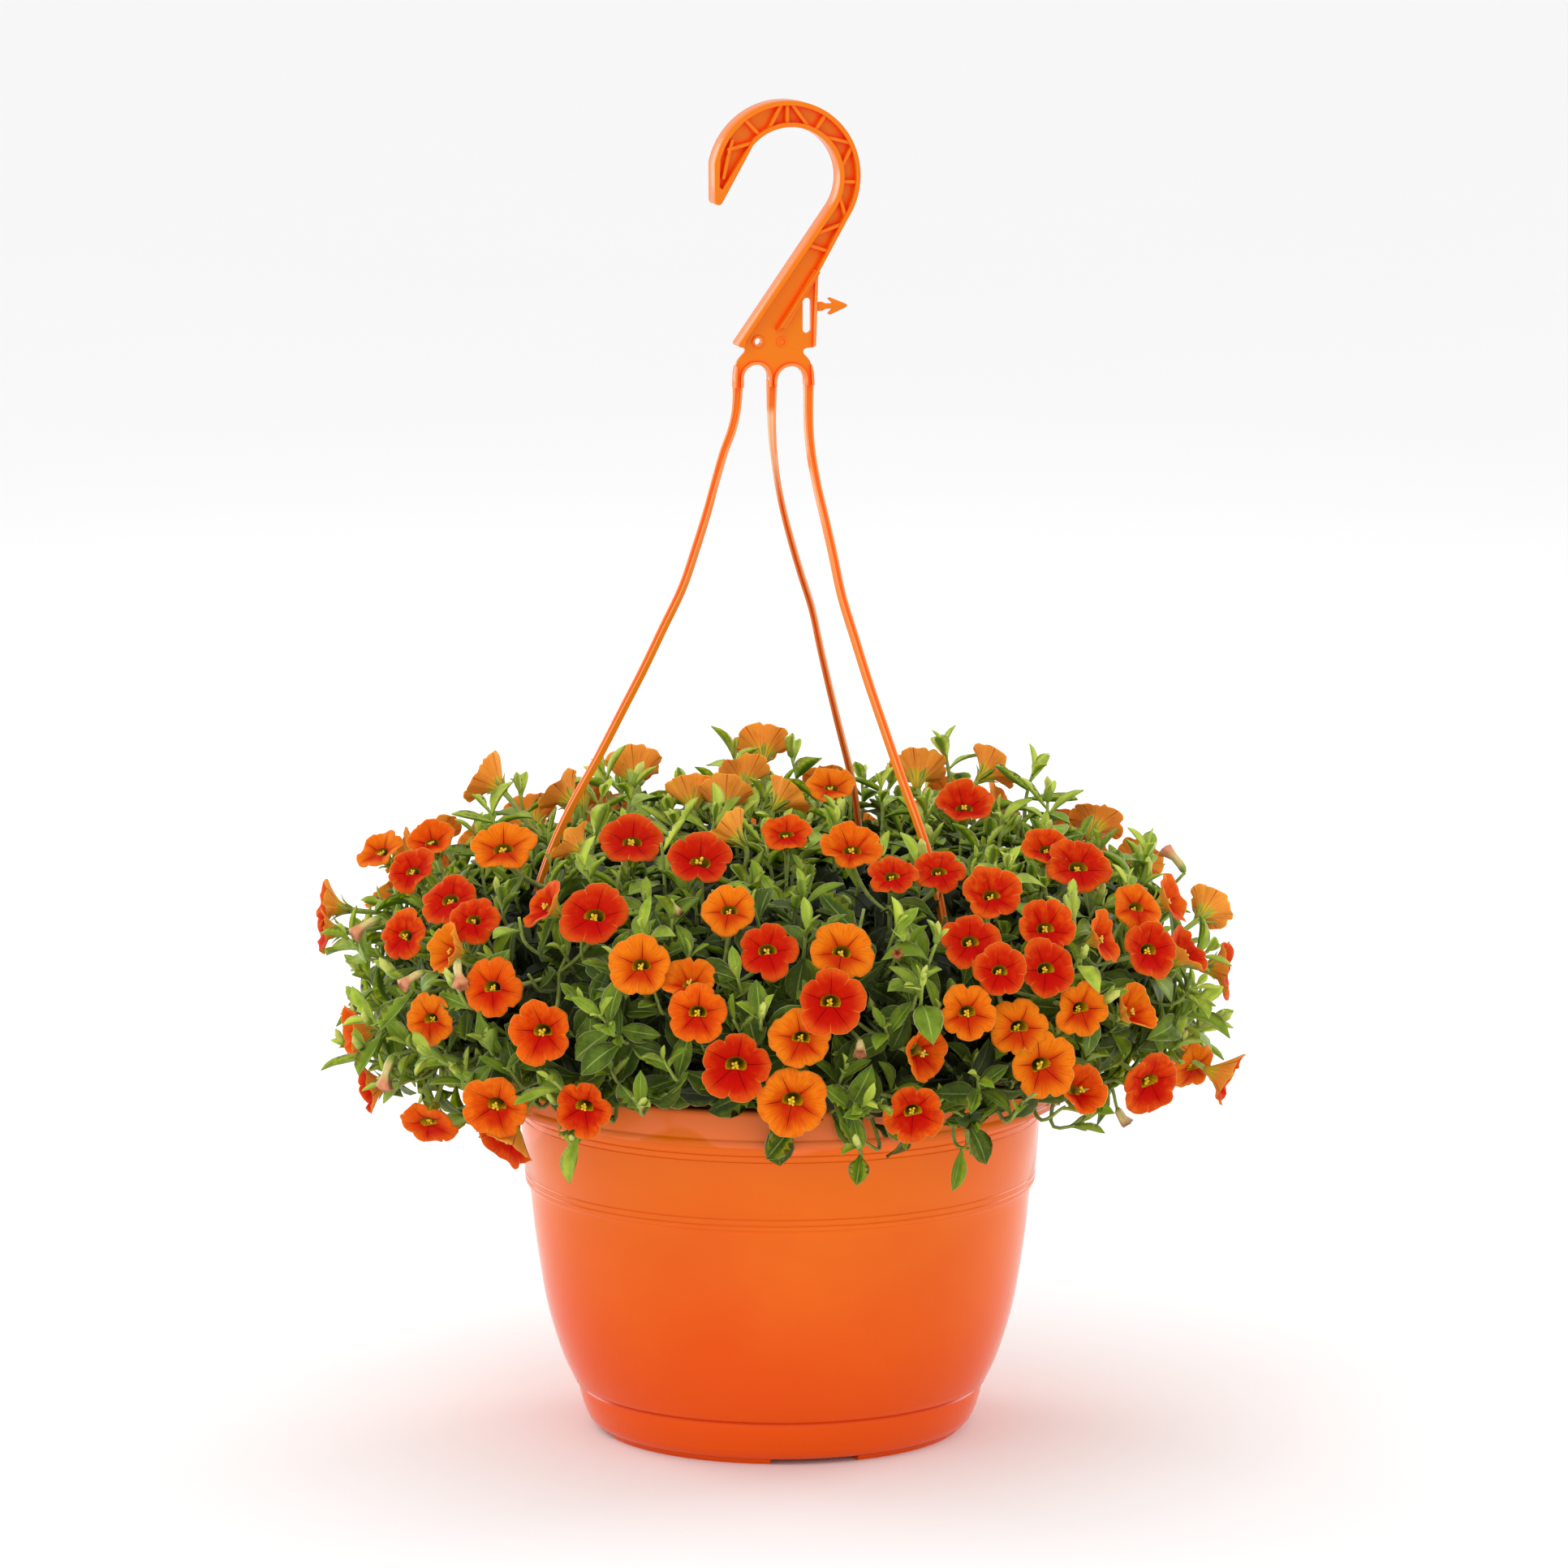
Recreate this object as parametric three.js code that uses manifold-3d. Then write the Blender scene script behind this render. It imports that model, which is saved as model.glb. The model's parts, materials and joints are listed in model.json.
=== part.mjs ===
// A calibrachoa basket: three bushy plants in bloom in a round hanging pot with a moulded hanger.
// Millimetres, +Z up, origin on the pot's axis at the surface its feet stand on, front towards -Y.
import * as THREE from "three";
import { mergeVertices } from "three/addons/utils/BufferGeometryUtils.js";
import Module from "manifold-3d";

const wasm = await Module();
wasm.setup();

// ---------------------------------------------------------------- driving dimensions
const GAP = 0.3; // between pieces that touch
const FINEST = 0.05; // joins leave no edge finer than this

const POT_SIDES = 28;
const POT_WALL = 1.6;
const RIM_RADIUS = 135;
const RIM_TOP = 178;
const RIM_BOTTOM = 161;
const RIM_PLATE = 2.5;
const RIM_SKIRT_WALL = 2.2;
const BODY_RADIUS_AT_RIM = 124.5;
const FOOT_HEIGHT = 2.4;
const FOOT_COUNT = 4;
const FOOT_GAP_ANGLE = 28;
const FOOT_TURN = 11;
const FOOT_INNER_RADIUS = 74;
const FOOT_OUTER_RADIUS = 86.3;
const FLOOR_TOP = 7;
const FLOOR_DISH = 1.2; // how far the underside rises towards its middle
const DRAIN_COUNT = 5;
const DRAIN_RADIUS = 5;
const DRAIN_RING_RADIUS = 56;
const SLOT_PLAY = 1; // how much longer and wider a rim slot is than the clip in it

// Outside of the pot below the rim: [radius, height].
const POT_SIDE = [
  [87.5, FOOT_HEIGHT],
  [91.2, 5.4],
  [95.6, 17.2],
  [95.8, 21.5],
  [97.8, 22.5],
  [104, 36.7],
  [110.8, 60],
  [115.8, 90],
  [118.8, 118],
  [120.9, 119.5],
  [121.6, 140],
  [BODY_RADIUS_AT_RIM, 166],
];

// The inside of the pot's wall, from the floor to the rim: [radius, height].
const POT_INSIDE = [
  [92, FLOOR_TOP],
  [94, 19],
  [108.6, 60],
  [116.9, 112],
  [120, 140],
  [BODY_RADIUS_AT_RIM - POT_WALL, 166],
];

const SOIL_GAP = 0.35; // between the soil and the pot's wall
const SOIL_EDGE_HEIGHT = 162;
const SOIL_MOUND_HEIGHT = 169;

const HANGER_YAW = 17; // the hanger's plate is turned this much about the pot's axis
const BEAM_DEPTH = 11;
const WEB_DEPTH = 2.4;
const RIB_DEPTH = 9;
const BEAM_FLANGE = 2.2;
const RIB_WIDTH = 1.5;
const HOOK_OUTER = { u: 1.8, z: 595.2, radius: 36 };
const HOOK_INNER = { u: 3.4, z: 594.5, radius: 24.2 };
const ARCH_LEFT = { u: -12.2, z: 501.4, radius: 6.2 };
const ARCH_RIGHT = { u: 4.8, z: 499.4, radius: 6.9 };
const PLATE_BOTTOM = 498;
const BEAD_DEPTH = 4.4;
const BEAD_WIDTH = 2;
const PEG_DEPTH = 2;
const PLATE_SLOT = { line: [12.5, 520.5, 12.5, 539], width: 4 };
const PLATE_HOLE = { u: -11.2, z: 518.4, radius: 1.7 };
const ARM_WIDTH = 4.3;
const ARM_DEPTH = 3.2;
// Where each arm's clip sits on the rim, its azimuth from the front towards +X, the place of its
// root along the plate, and the height by which it has swung over from the plate to its azimuth.
const ARMS = [
  { azimuth: -79.5, root: -20.8, swung: 455 },
  { azimuth: 40.5, root: 13.9, swung: 425 },
  { azimuth: 160.5, root: -4.2, swung: 375 },
];
// How far an arm stands from the axis at each height: [height, distance].
const ARM_CURVE = [
  [500, 21],
  [480, 22.5],
  [455, 29],
  [431, 36],
  [403, 46.5],
  [364, 65.5],
  [325, 86],
  [292, 104],
  [262, 115.5],
  [228, 123.5],
  [205, 128.5],
  [188, 128.5],
];
const CLIP_RADIUS = 128.5;
const CLIP_SHOULDER = 181;
const CLIP_TOP = 193;
const CLIP_BOTTOM = 167;
const CLIP_WIDTH = 14;
const CLIP_THICKNESS = 2.4;
const CLIP_BARB = 2.2;
const ARM_IN_CROWN = 345; // below this height an arm passes among flowers and leaves
const ARM_ROOM = 1.2; // how far flowers and leaves stay off an arm

// The crown of flowers: a round, flat-topped cushion that hangs over the rim.
const CROWN = { radius: 207, middle: 232, up: 70, down: 80, side: 3, upPower: 2.2, downPower: 5 };
// The dense inside of the crown, which leaves and flowers stand out of.
const CORE = { radius: 171, middle: 230, up: 36, down: 40, side: 3, upPower: 2.2, downPower: 5 };
const CORE_SIDES = 24;
const PLANT_COUNT = 3;
const PLANT_TURN = -21; // azimuth of the first boundary between two plants
const PLANT_ANGLE = 360 / PLANT_COUNT;
const TRUNK_RADIUS = 4;
const TRUNK_DISTANCE = 62;
const TRUNK_SIDES = 8;
const TRUNK_DEPTH = 30;
const ARM_TUNNEL = 5.2;

const THROAT_DEPTH = 4;
const NOTCH_DEPTH = 0.8; // how far the limb's notches lie behind its lobes
const TUBE_LENGTH = 13;
const TUBE_RADIUS = 1.9;
const STALK_RADIUS = 1.15;
const KNOB_RADIUS = 3.4;
const KNOB_DEPTH = 25;
const PEDUNCLE_RADIUS = 1.5;
const SEAT_REACH = 150; // how far out, and between which heights, trusses are carried in the core
const SEAT_LOW = 212;
const SEAT_HIGH = 246;
const LEAF_THICKNESS = 1.3;
const LEAF_ARCH = 0.07; // how far a leaf arches, as a share of its length
const LEAF_ROOM = 1.5; // between a leaf and what it must not touch
const LEAF_SPACE = 7; // between the midribs of leaves on different shoots
const LEAST_LEAVES = 3;
const LEAF_STAGGER = 1.7; // between the leaves of one tier, down the shoot
const CROWDED = 0.9; // flowers nearer than this share of their reach are on one truss
const LIFT_LOW = -4; // how far flowers stand off the crown's surface
const LIFT_HIGH = 5;
const SHOOT_RADIUS = 1.35;
const SHOOT_DEPTH = 40; // how far under the crown's surface a shoot leaves the core

// ---------------------------------------------------------------- solids
const rad = THREE.MathUtils.degToRad;

// A closed geometry as a manifold-3d solid, with its faces turned outwards.
function solid(geometry) {
  const plain = geometry.clone();
  plain.deleteAttribute("normal");
  plain.deleteAttribute("uv");
  const merged = mergeVertices(plain, 1e-4);
  const index = merged.index.array;
  const triVerts = [];
  for (let i = 0; i < index.length; i += 3) {
    const [a, b, c] = [index[i], index[i + 1], index[i + 2]];
    if (a !== b && b !== c && c !== a) triVerts.push(a, b, c);
  }
  const vertProperties = new Float32Array(merged.attributes.position.array);
  const make = (tris) =>
    new wasm.Manifold(
      new wasm.Mesh({ numProp: 3, vertProperties, triVerts: Uint32Array.from(tris) }),
    );
  const made = make(triVerts);
  return made.volume() < 0 ? make(triVerts.reverse()) : made;
}

// A solid as a named three.js mesh. A loose scrap that a cut leaves is dropped.
function mesh(name, body, material) {
  const largest = body.decompose().sort((a, b) => b.volume() - a.volume())[0];
  const made = largest.simplify(FINEST).getMesh();
  const geometry = new THREE.BufferGeometry();
  geometry.setAttribute("position", new THREE.BufferAttribute(made.vertProperties, 3));
  geometry.setIndex(new THREE.BufferAttribute(made.triVerts, 1));
  geometry.computeVertexNormals();
  const result = new THREE.Mesh(geometry, material);
  result.name = name;
  return result;
}

const join = (solids) => solids.reduce((all, next) => all.add(next));
const UP = new THREE.Vector3(0, 0, 1);

// A closed surface of triangles from a list of points and a list of corner triples.
function facets(points, corners) {
  const geometry = new THREE.BufferGeometry();
  const flat = points.flatMap((p) => [p.x, p.y, p.z]);
  geometry.setAttribute("position", new THREE.Float32BufferAttribute(flat, 3));
  geometry.setIndex(corners.flat());
  return solid(geometry);
}

// Rings of points, all with the same count, skinned from the first to the last and capped.
function loft(rings) {
  const count = rings[0].length;
  const corners = [];
  for (let r = 0; r + 1 < rings.length; r++)
    for (let i = 0; i < count; i++) {
      const [a, b] = [r * count + i, r * count + ((i + 1) % count)];
      corners.push([a, b, b + count], [a, b + count, a + count]);
    }
  const last = (rings.length - 1) * count;
  for (let i = 1; i + 1 < count; i++) {
    corners.push([0, i + 1, i]);
    corners.push([last, last + i, last + i + 1]);
  }
  return facets(rings.flat(), corners);
}

// A profile of [radius, height] points turned about Z.
function turned(profile, sides) {
  const points = profile.map(([r, z]) => new THREE.Vector2(r, z));
  return solid(new THREE.LatheGeometry(points, sides).rotateX(Math.PI / 2));
}

// An outline in X and Z, extruded both ways along Y to a full depth.
function slab(points, depth) {
  const shape = new THREE.Shape(points.map(([u, z]) => new THREE.Vector2(u, z)));
  const options = { depth, bevelEnabled: false, curveSegments: 1 };
  const geometry = new THREE.ExtrudeGeometry(shape, options);
  return solid(geometry.translate(0, 0, -depth / 2).rotateX(Math.PI / 2));
}

function arc({ u, z, radius }, from, to, steps) {
  return Array.from({ length: steps + 1 }, (_, i) => {
    const a = rad(from + ((to - from) * i) / steps);
    return [u + radius * Math.cos(a), z + radius * Math.sin(a)];
  });
}

// A box with a full width along X, depth along Y and a height range, before it is placed.
function block(width, depth, low, high) {
  const geometry = new THREE.BoxGeometry(width, depth, high - low);
  return geometry.translate(0, 0, (low + high) / 2);
}

// Turns what is made on the -Y side round to an azimuth, from the front towards +X.
const toAzimuth = (geometry, azimuth) => geometry.rotateZ(rad(azimuth));

// ---------------------------------------------------------------- numbers drawn by seed
// A small generator of numbers from 0 to 1 (mulberry32), so that each seed gives one plant.
function draws(seed) {
  let state = seed >>> 0;
  return () => {
    state = (state + 0x6d2b79f5) >>> 0;
    let t = state;
    t = Math.imul(t ^ (t >>> 15), t | 1);
    t ^= t + Math.imul(t ^ (t >>> 7), t | 61);
    return ((t ^ (t >>> 14)) >>> 0) / 4294967296;
  };
}

// ---------------------------------------------------------------- pot
function potProfile() {
  const inside = POT_INSIDE.map(([r, z]) => [r, z]);
  const skirtInside = RIM_RADIUS - RIM_SKIRT_WALL;
  const underPlate = RIM_TOP - RIM_PLATE;
  return [
    [0, FOOT_HEIGHT + FLOOR_DISH],
    [FOOT_INNER_RADIUS, FOOT_HEIGHT],
    ...POT_SIDE,
    [BODY_RADIUS_AT_RIM, underPlate],
    [skirtInside, underPlate],
    [skirtInside, RIM_BOTTOM],
    [RIM_RADIUS + 0.4, RIM_BOTTOM],
    [RIM_RADIUS, 164.5],
    [RIM_RADIUS - 0.8, RIM_TOP - 1.2],
    [RIM_RADIUS - 2.2, RIM_TOP],
    [BODY_RADIUS_AT_RIM - POT_WALL, RIM_TOP],
    ...inside.reverse(),
    [0, FLOOR_TOP],
  ];
}

function makePot() {
  let pot = turned(potProfile(), POT_SIDES);
  const footProfile = [
    [FOOT_INNER_RADIUS, 0],
    [FOOT_OUTER_RADIUS, 0],
    [FOOT_OUTER_RADIUS + 0.9, FOOT_HEIGHT + 0.4],
    [FOOT_INNER_RADIUS, FOOT_HEIGHT + 0.6],
    [FOOT_INNER_RADIUS, 0],
  ];
  let feet = turned(footProfile, POT_SIDES);
  const middle = (FOOT_INNER_RADIUS + FOOT_OUTER_RADIUS) / 2;
  const gapWidth = 2 * middle * Math.sin(rad(FOOT_GAP_ANGLE / 2));
  for (let i = 0; i < FOOT_COUNT; i++) {
    const gap = block(gapWidth, middle / 2, -5, 8).translate(0, -middle, 0);
    feet = feet.subtract(solid(toAzimuth(gap, FOOT_TURN + (360 * i) / FOOT_COUNT)));
  }
  pot = pot.add(feet);
  for (let i = 0; i < DRAIN_COUNT; i++) {
    const hole = new THREE.CylinderGeometry(DRAIN_RADIUS, DRAIN_RADIUS, 30, 8);
    hole.rotateX(Math.PI / 2).translate(0, -DRAIN_RING_RADIUS, 0);
    pot = pot.subtract(solid(toAzimuth(hole, (360 * (i + 0.5)) / DRAIN_COUNT)));
  }
  for (const { azimuth } of ARMS) {
    const [width, depth] = [CLIP_WIDTH + SLOT_PLAY, CLIP_THICKNESS + SLOT_PLAY];
    const slot = block(width, depth, RIM_TOP - 2 * RIM_PLATE, RIM_TOP + RIM_PLATE);
    slot.translate(0, -CLIP_RADIUS, 0);
    pot = pot.subtract(solid(toAzimuth(slot, azimuth)));
  }
  return pot;
}

// ---------------------------------------------------------------- soil, with a hole for each trunk
const trunkAzimuth = (i) => PLANT_TURN + PLANT_ANGLE * (i + 0.5);

function trunkPost(i, radius, low, high) {
  const post = new THREE.CylinderGeometry(radius, radius, high - low, TRUNK_SIDES);
  post.rotateX(Math.PI / 2).translate(0, -TRUNK_DISTANCE, (low + high) / 2);
  return solid(toAzimuth(post, trunkAzimuth(i)));
}

function makeSoil() {
  // Both turned solids have as many sides, so the gap between their flat facets is even.
  const wall = POT_INSIDE.slice(1, -1).map(([r, z]) => [r - SOIL_GAP, z]);
  const edge = THREE.MathUtils.lerp(POT_INSIDE.at(-2)[0], POT_INSIDE.at(-1)[0], 0.85);
  let soil = turned(
    [
      [0, FLOOR_TOP + GAP],
      [POT_INSIDE[0][0] - SOIL_GAP, FLOOR_TOP + GAP],
      ...wall,
      [edge - SOIL_GAP, SOIL_EDGE_HEIGHT],
      [70, SOIL_MOUND_HEIGHT - 1],
      [0, SOIL_MOUND_HEIGHT],
    ],
    POT_SIDES,
  );
  for (let i = 0; i < PLANT_COUNT; i++) {
    const low = SOIL_EDGE_HEIGHT - TRUNK_DEPTH - GAP;
    soil = soil.subtract(trunkPost(i, TRUNK_RADIUS + GAP, low, SOIL_MOUND_HEIGHT + 5));
  }
  return soil;
}

// ---------------------------------------------------------------- hanger
// Heights and places along the plate are [u, z]; the whole plate is yawed about the axis.
function hookOutline() {
  return [
    ...arc(HOOK_OUTER, 168, -34, 15),
    [18.1, 551.3],
    [-0.2, 525],
    [-20.8, 519.5],
    ...arc(HOOK_INNER, -37.5, 138, 13),
    [-29.3, 584.8],
    [-31.4, 583.3],
    [-33.3, 585],
  ];
}

// The recess between the beam's flanges, open at its foot.
function hookRecess() {
  const inside = { ...HOOK_OUTER, radius: HOOK_OUTER.radius - BEAM_FLANGE };
  const outside = { ...HOOK_INNER, radius: HOOK_INNER.radius + BEAM_FLANGE };
  return [
    ...arc(inside, 164, -34, 15),
    [16, 550.5],
    [-4, 522],
    [-14, 515],
    [-17.9, 519.8],
    ...arc(outside, -37.5, 132, 13),
    [-29.7, 590.5],
    [-31.1, 592],
  ];
}

function plateOutline() {
  return [
    [-20.8, 519.5],
    [-17.4, 516],
    [-21.2, 510.5],
    [-22.9, 501],
    [-22.9, PLATE_BOTTOM],
    [-18.4, PLATE_BOTTOM],
    ...arc(ARCH_LEFT, 180, 0, 8),
    [-6, PLATE_BOTTOM],
    [-2.1, PLATE_BOTTOM],
    ...arc(ARCH_RIGHT, 180, 0, 8),
    [11.7, PLATE_BOTTOM],
    [16.2, PLATE_BOTTOM],
    [15.8, 507],
    [11.8, 513.4],
    [17, 515.3],
    [18.1, 551.3],
    [10, 560],
  ];
}

// The raised bead over the two arches.
function archBead() {
  const over = (arch) => ({ ...arch, radius: arch.radius + BEAD_WIDTH });
  return [
    [-22.9, PLATE_BOTTOM],
    [-20.4, 506],
    ...arc(over(ARCH_LEFT), 140, 25, 7),
    ...arc(over(ARCH_RIGHT), 150, 30, 7),
    [16.2, PLATE_BOTTOM],
    [11.7, PLATE_BOTTOM],
    ...arc(ARCH_RIGHT, 0, 180, 8),
    [-2.1, PLATE_BOTTOM],
    [-6, PLATE_BOTTOM],
    ...arc(ARCH_LEFT, 0, 180, 8),
    [-18.4, PLATE_BOTTOM],
  ];
}

// The zigzag ribs in the beam's recess, from one flange to the other: [u, z, u, z].
const RIBS = [
  [2.2, 629.8, 2.2, 618],
  [-0.6, 629.6, -7.5, 616.5],
  [4.2, 629.8, 14, 616.5],
  [15, 615.5, 21.5, 625],
  [16.6, 614.5, 33, 610.5],
  [34, 609, 28, 598],
  [27, 592.5, 37, 592],
  [27.5, 586, 31.5, 573.5],
  [15, 568, 30.5, 573],
  [12, 563.5, 22, 560],
  [-19, 623.5, -9.5, 613.5],
  [-27, 609, -14, 612],
];

// The barbed peg that a plant label is pushed on.
const PEG = [
  [16, 532],
  [22.5, 532],
  [20.6, 530],
  [23.6, 530.6],
  [26, 532.6],
  [27, 530.5],
  [32.6, 533.9],
  [27, 537.8],
  [26, 535.6],
  [23.6, 537.4],
  [20.6, 538],
  [22.5, 536.4],
  [16, 536.4],
];

function bar([u0, z0, u1, z1], width, depth) {
  const length = Math.hypot(u1 - u0, z1 - z0);
  const geometry = new THREE.BoxGeometry(length, depth, width);
  geometry.rotateY(-Math.atan2(z1 - z0, u1 - u0));
  return solid(geometry.translate((u0 + u1) / 2, 0, (z0 + z1) / 2));
}

const smooth = (t) => {
  const s = Math.min(1, Math.max(0, t));
  return s * s * (3 - 2 * s);
};

// The point on an arm's centre line at a height, between the plate and its azimuth.
function armPoint(arm, z) {
  let i = 0;
  while (i + 2 < ARM_CURVE.length && ARM_CURVE[i + 1][0] > z) i++;
  const [[z0, d0], [z1, d1]] = [ARM_CURVE[i], ARM_CURVE[i + 1]];
  const distance = d0 + ((d1 - d0) * (z - z0)) / (z1 - z0);
  const share = smooth((ARM_CURVE[0][0] - z) / (ARM_CURVE[0][0] - arm.swung));
  const out = [Math.sin(rad(arm.azimuth)), -Math.cos(rad(arm.azimuth))];
  const root = [arm.root * Math.cos(rad(HANGER_YAW)), arm.root * Math.sin(rad(HANGER_YAW))];
  return new THREE.Vector3(
    root[0] * (1 - share) + out[0] * distance * share,
    root[1] * (1 - share) + out[1] * distance * share,
    z,
  );
}

// The heights at which an arm's section is set.
const ARM_HEIGHTS = [500, 490, 478, 466, 452, 438, 422, 403, 384, 364, 345, 325, 292, 262, 228, 205, 188];

function armPath(arm) {
  return ARM_HEIGHTS.map((z) => armPoint(arm, z));
}

// An arm: a flat strip whose wide side turns from the plate's face to the rim's tangent.
function makeArm(arm) {
  const path = armPath(arm);
  const rings = path.map((p, i) => {
    const along = new THREE.Vector3().subVectors(
      path[Math.min(i + 1, path.length - 1)],
      path[Math.max(i - 1, 0)],
    );
    const turn = rad(THREE.MathUtils.lerp(HANGER_YAW, arm.azimuth, i / (path.length - 1)));
    // A strip is the same turned half round, so an arm to the back takes the shorter way.
    const shorter = arm.azimuth > 90 ? rad(180) * (i / (path.length - 1)) : 0;
    const angle = turn - shorter;
    const wide = new THREE.Vector3(Math.cos(angle), Math.sin(angle), 0);
    const thick = new THREE.Vector3().crossVectors(along, wide).normalize();
    wide.crossVectors(thick, along).normalize();
    const corner = (w, t) =>
      p.clone().addScaledVector(wide, (w * ARM_WIDTH) / 2).addScaledVector(thick, (t * ARM_DEPTH) / 2);
    return [corner(-1, -1), corner(1, -1), corner(1, 1), corner(-1, 1)];
  });
  rings[0].forEach((p) => {
    p.z += 3;
  });
  return loft(rings);
}

// The clip at an arm's foot: a tab through the rim's slot, with a barb on each side under it.
function makeClip(arm) {
  const half = CLIP_WIDTH / 2;
  const under = RIM_TOP - RIM_PLATE - GAP;
  const outline = [
    [-half, under],
    [-half - CLIP_BARB, under],
    [-half + 1, CLIP_BOTTOM],
    [half - 1, CLIP_BOTTOM],
    [half + CLIP_BARB, under],
    [half, under],
    [half, CLIP_SHOULDER],
    [ARM_WIDTH / 2 + 1, CLIP_TOP],
    [-ARM_WIDTH / 2 - 1, CLIP_TOP],
    [-half, CLIP_SHOULDER],
  ];
  const tab = slab(outline, CLIP_THICKNESS).translate([0, -CLIP_RADIUS, 0]);
  return tab.rotate([0, 0, arm.azimuth]);
}

function makeHanger() {
  const beam = slab(hookOutline(), BEAM_DEPTH).subtract(slab(hookRecess(), BEAM_DEPTH + 4));
  const parts = [
    beam,
    slab(hookOutline(), WEB_DEPTH),
    slab(plateOutline(), WEB_DEPTH),
    slab(archBead(), BEAD_DEPTH),
    slab(PEG, PEG_DEPTH),
    ...RIBS.map((rib) => bar(rib, RIB_WIDTH, RIB_DEPTH)),
  ];
  let plate = join(parts);
  plate = plate.subtract(bar(PLATE_SLOT.line, PLATE_SLOT.width, 2 * BEAM_DEPTH));
  const pin = new THREE.CylinderGeometry(PLATE_HOLE.radius, PLATE_HOLE.radius, 2 * BEAM_DEPTH, 10);
  plate = plate.subtract(solid(pin.translate(PLATE_HOLE.u, 0, PLATE_HOLE.z)));
  plate = plate.rotate([0, 0, HANGER_YAW]);
  return join([plate, ...ARMS.map(makeArm), ...ARMS.map(makeClip)]);
}

// ---------------------------------------------------------------- crown
// Below 1 inside a cushion, 1 on its surface.
function cushion(shape, p) {
  const r = Math.hypot(p.x, p.y);
  const above = p.z > shape.middle;
  const t = Math.abs(p.z - shape.middle) / (above ? shape.up : shape.down);
  return (r / shape.radius) ** shape.side + t ** (above ? shape.upPower : shape.downPower);
}

// The outward direction of the crown's surface near a point.
function outward(p) {
  const step = 0.5;
  const axes = [new THREE.Vector3(1, 0, 0), new THREE.Vector3(0, 1, 0), new THREE.Vector3(0, 0, 1)];
  const slope = axes.map(
    (a) =>
      cushion(CROWN, p.clone().addScaledVector(a, step)) -
      cushion(CROWN, p.clone().addScaledVector(a, -step)),
  );
  return new THREE.Vector3(...slope).normalize();
}

// The crown's front elevation is drawn from this far away, this high above the level, about a
// point of the axis at this height, which is also the elevation's height for that point.
const VIEW = { distance: 4500, elevation: 9.8, height: 308, drawn: 301 };

// The place on the crown that shows at a place across and up the front elevation. A flower
// drawn above the crown stands over the part of it that comes nearest.
function onCrown(across, up) {
  const tilt = rad(VIEW.elevation);
  const target = new THREE.Vector3(0, 0, VIEW.height);
  const ahead = new THREE.Vector3(0, Math.cos(tilt), -Math.sin(tilt));
  const upward = new THREE.Vector3(0, Math.sin(tilt), Math.cos(tilt));
  const eye = target.clone().addScaledVector(ahead, -VIEW.distance);
  const drawn = target.clone().addScaledVector(upward, up - VIEW.drawn);
  drawn.x += across;
  const sight = drawn.clone().sub(eye).normalize();
  let best = null;
  let least = Infinity;
  for (let t = VIEW.distance - 260; t < VIEW.distance + 260; t += 1) {
    const p = eye.clone().addScaledVector(sight, t);
    const value = cushion(CROWN, p);
    if (value < least) {
      least = value;
      best = p;
    }
    if (value < 1) break;
  }
  return { place: best, toViewer: sight.clone().negate() };
}

const FACE = 0;
const SIDE = 1;
const BACK = 2;

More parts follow.
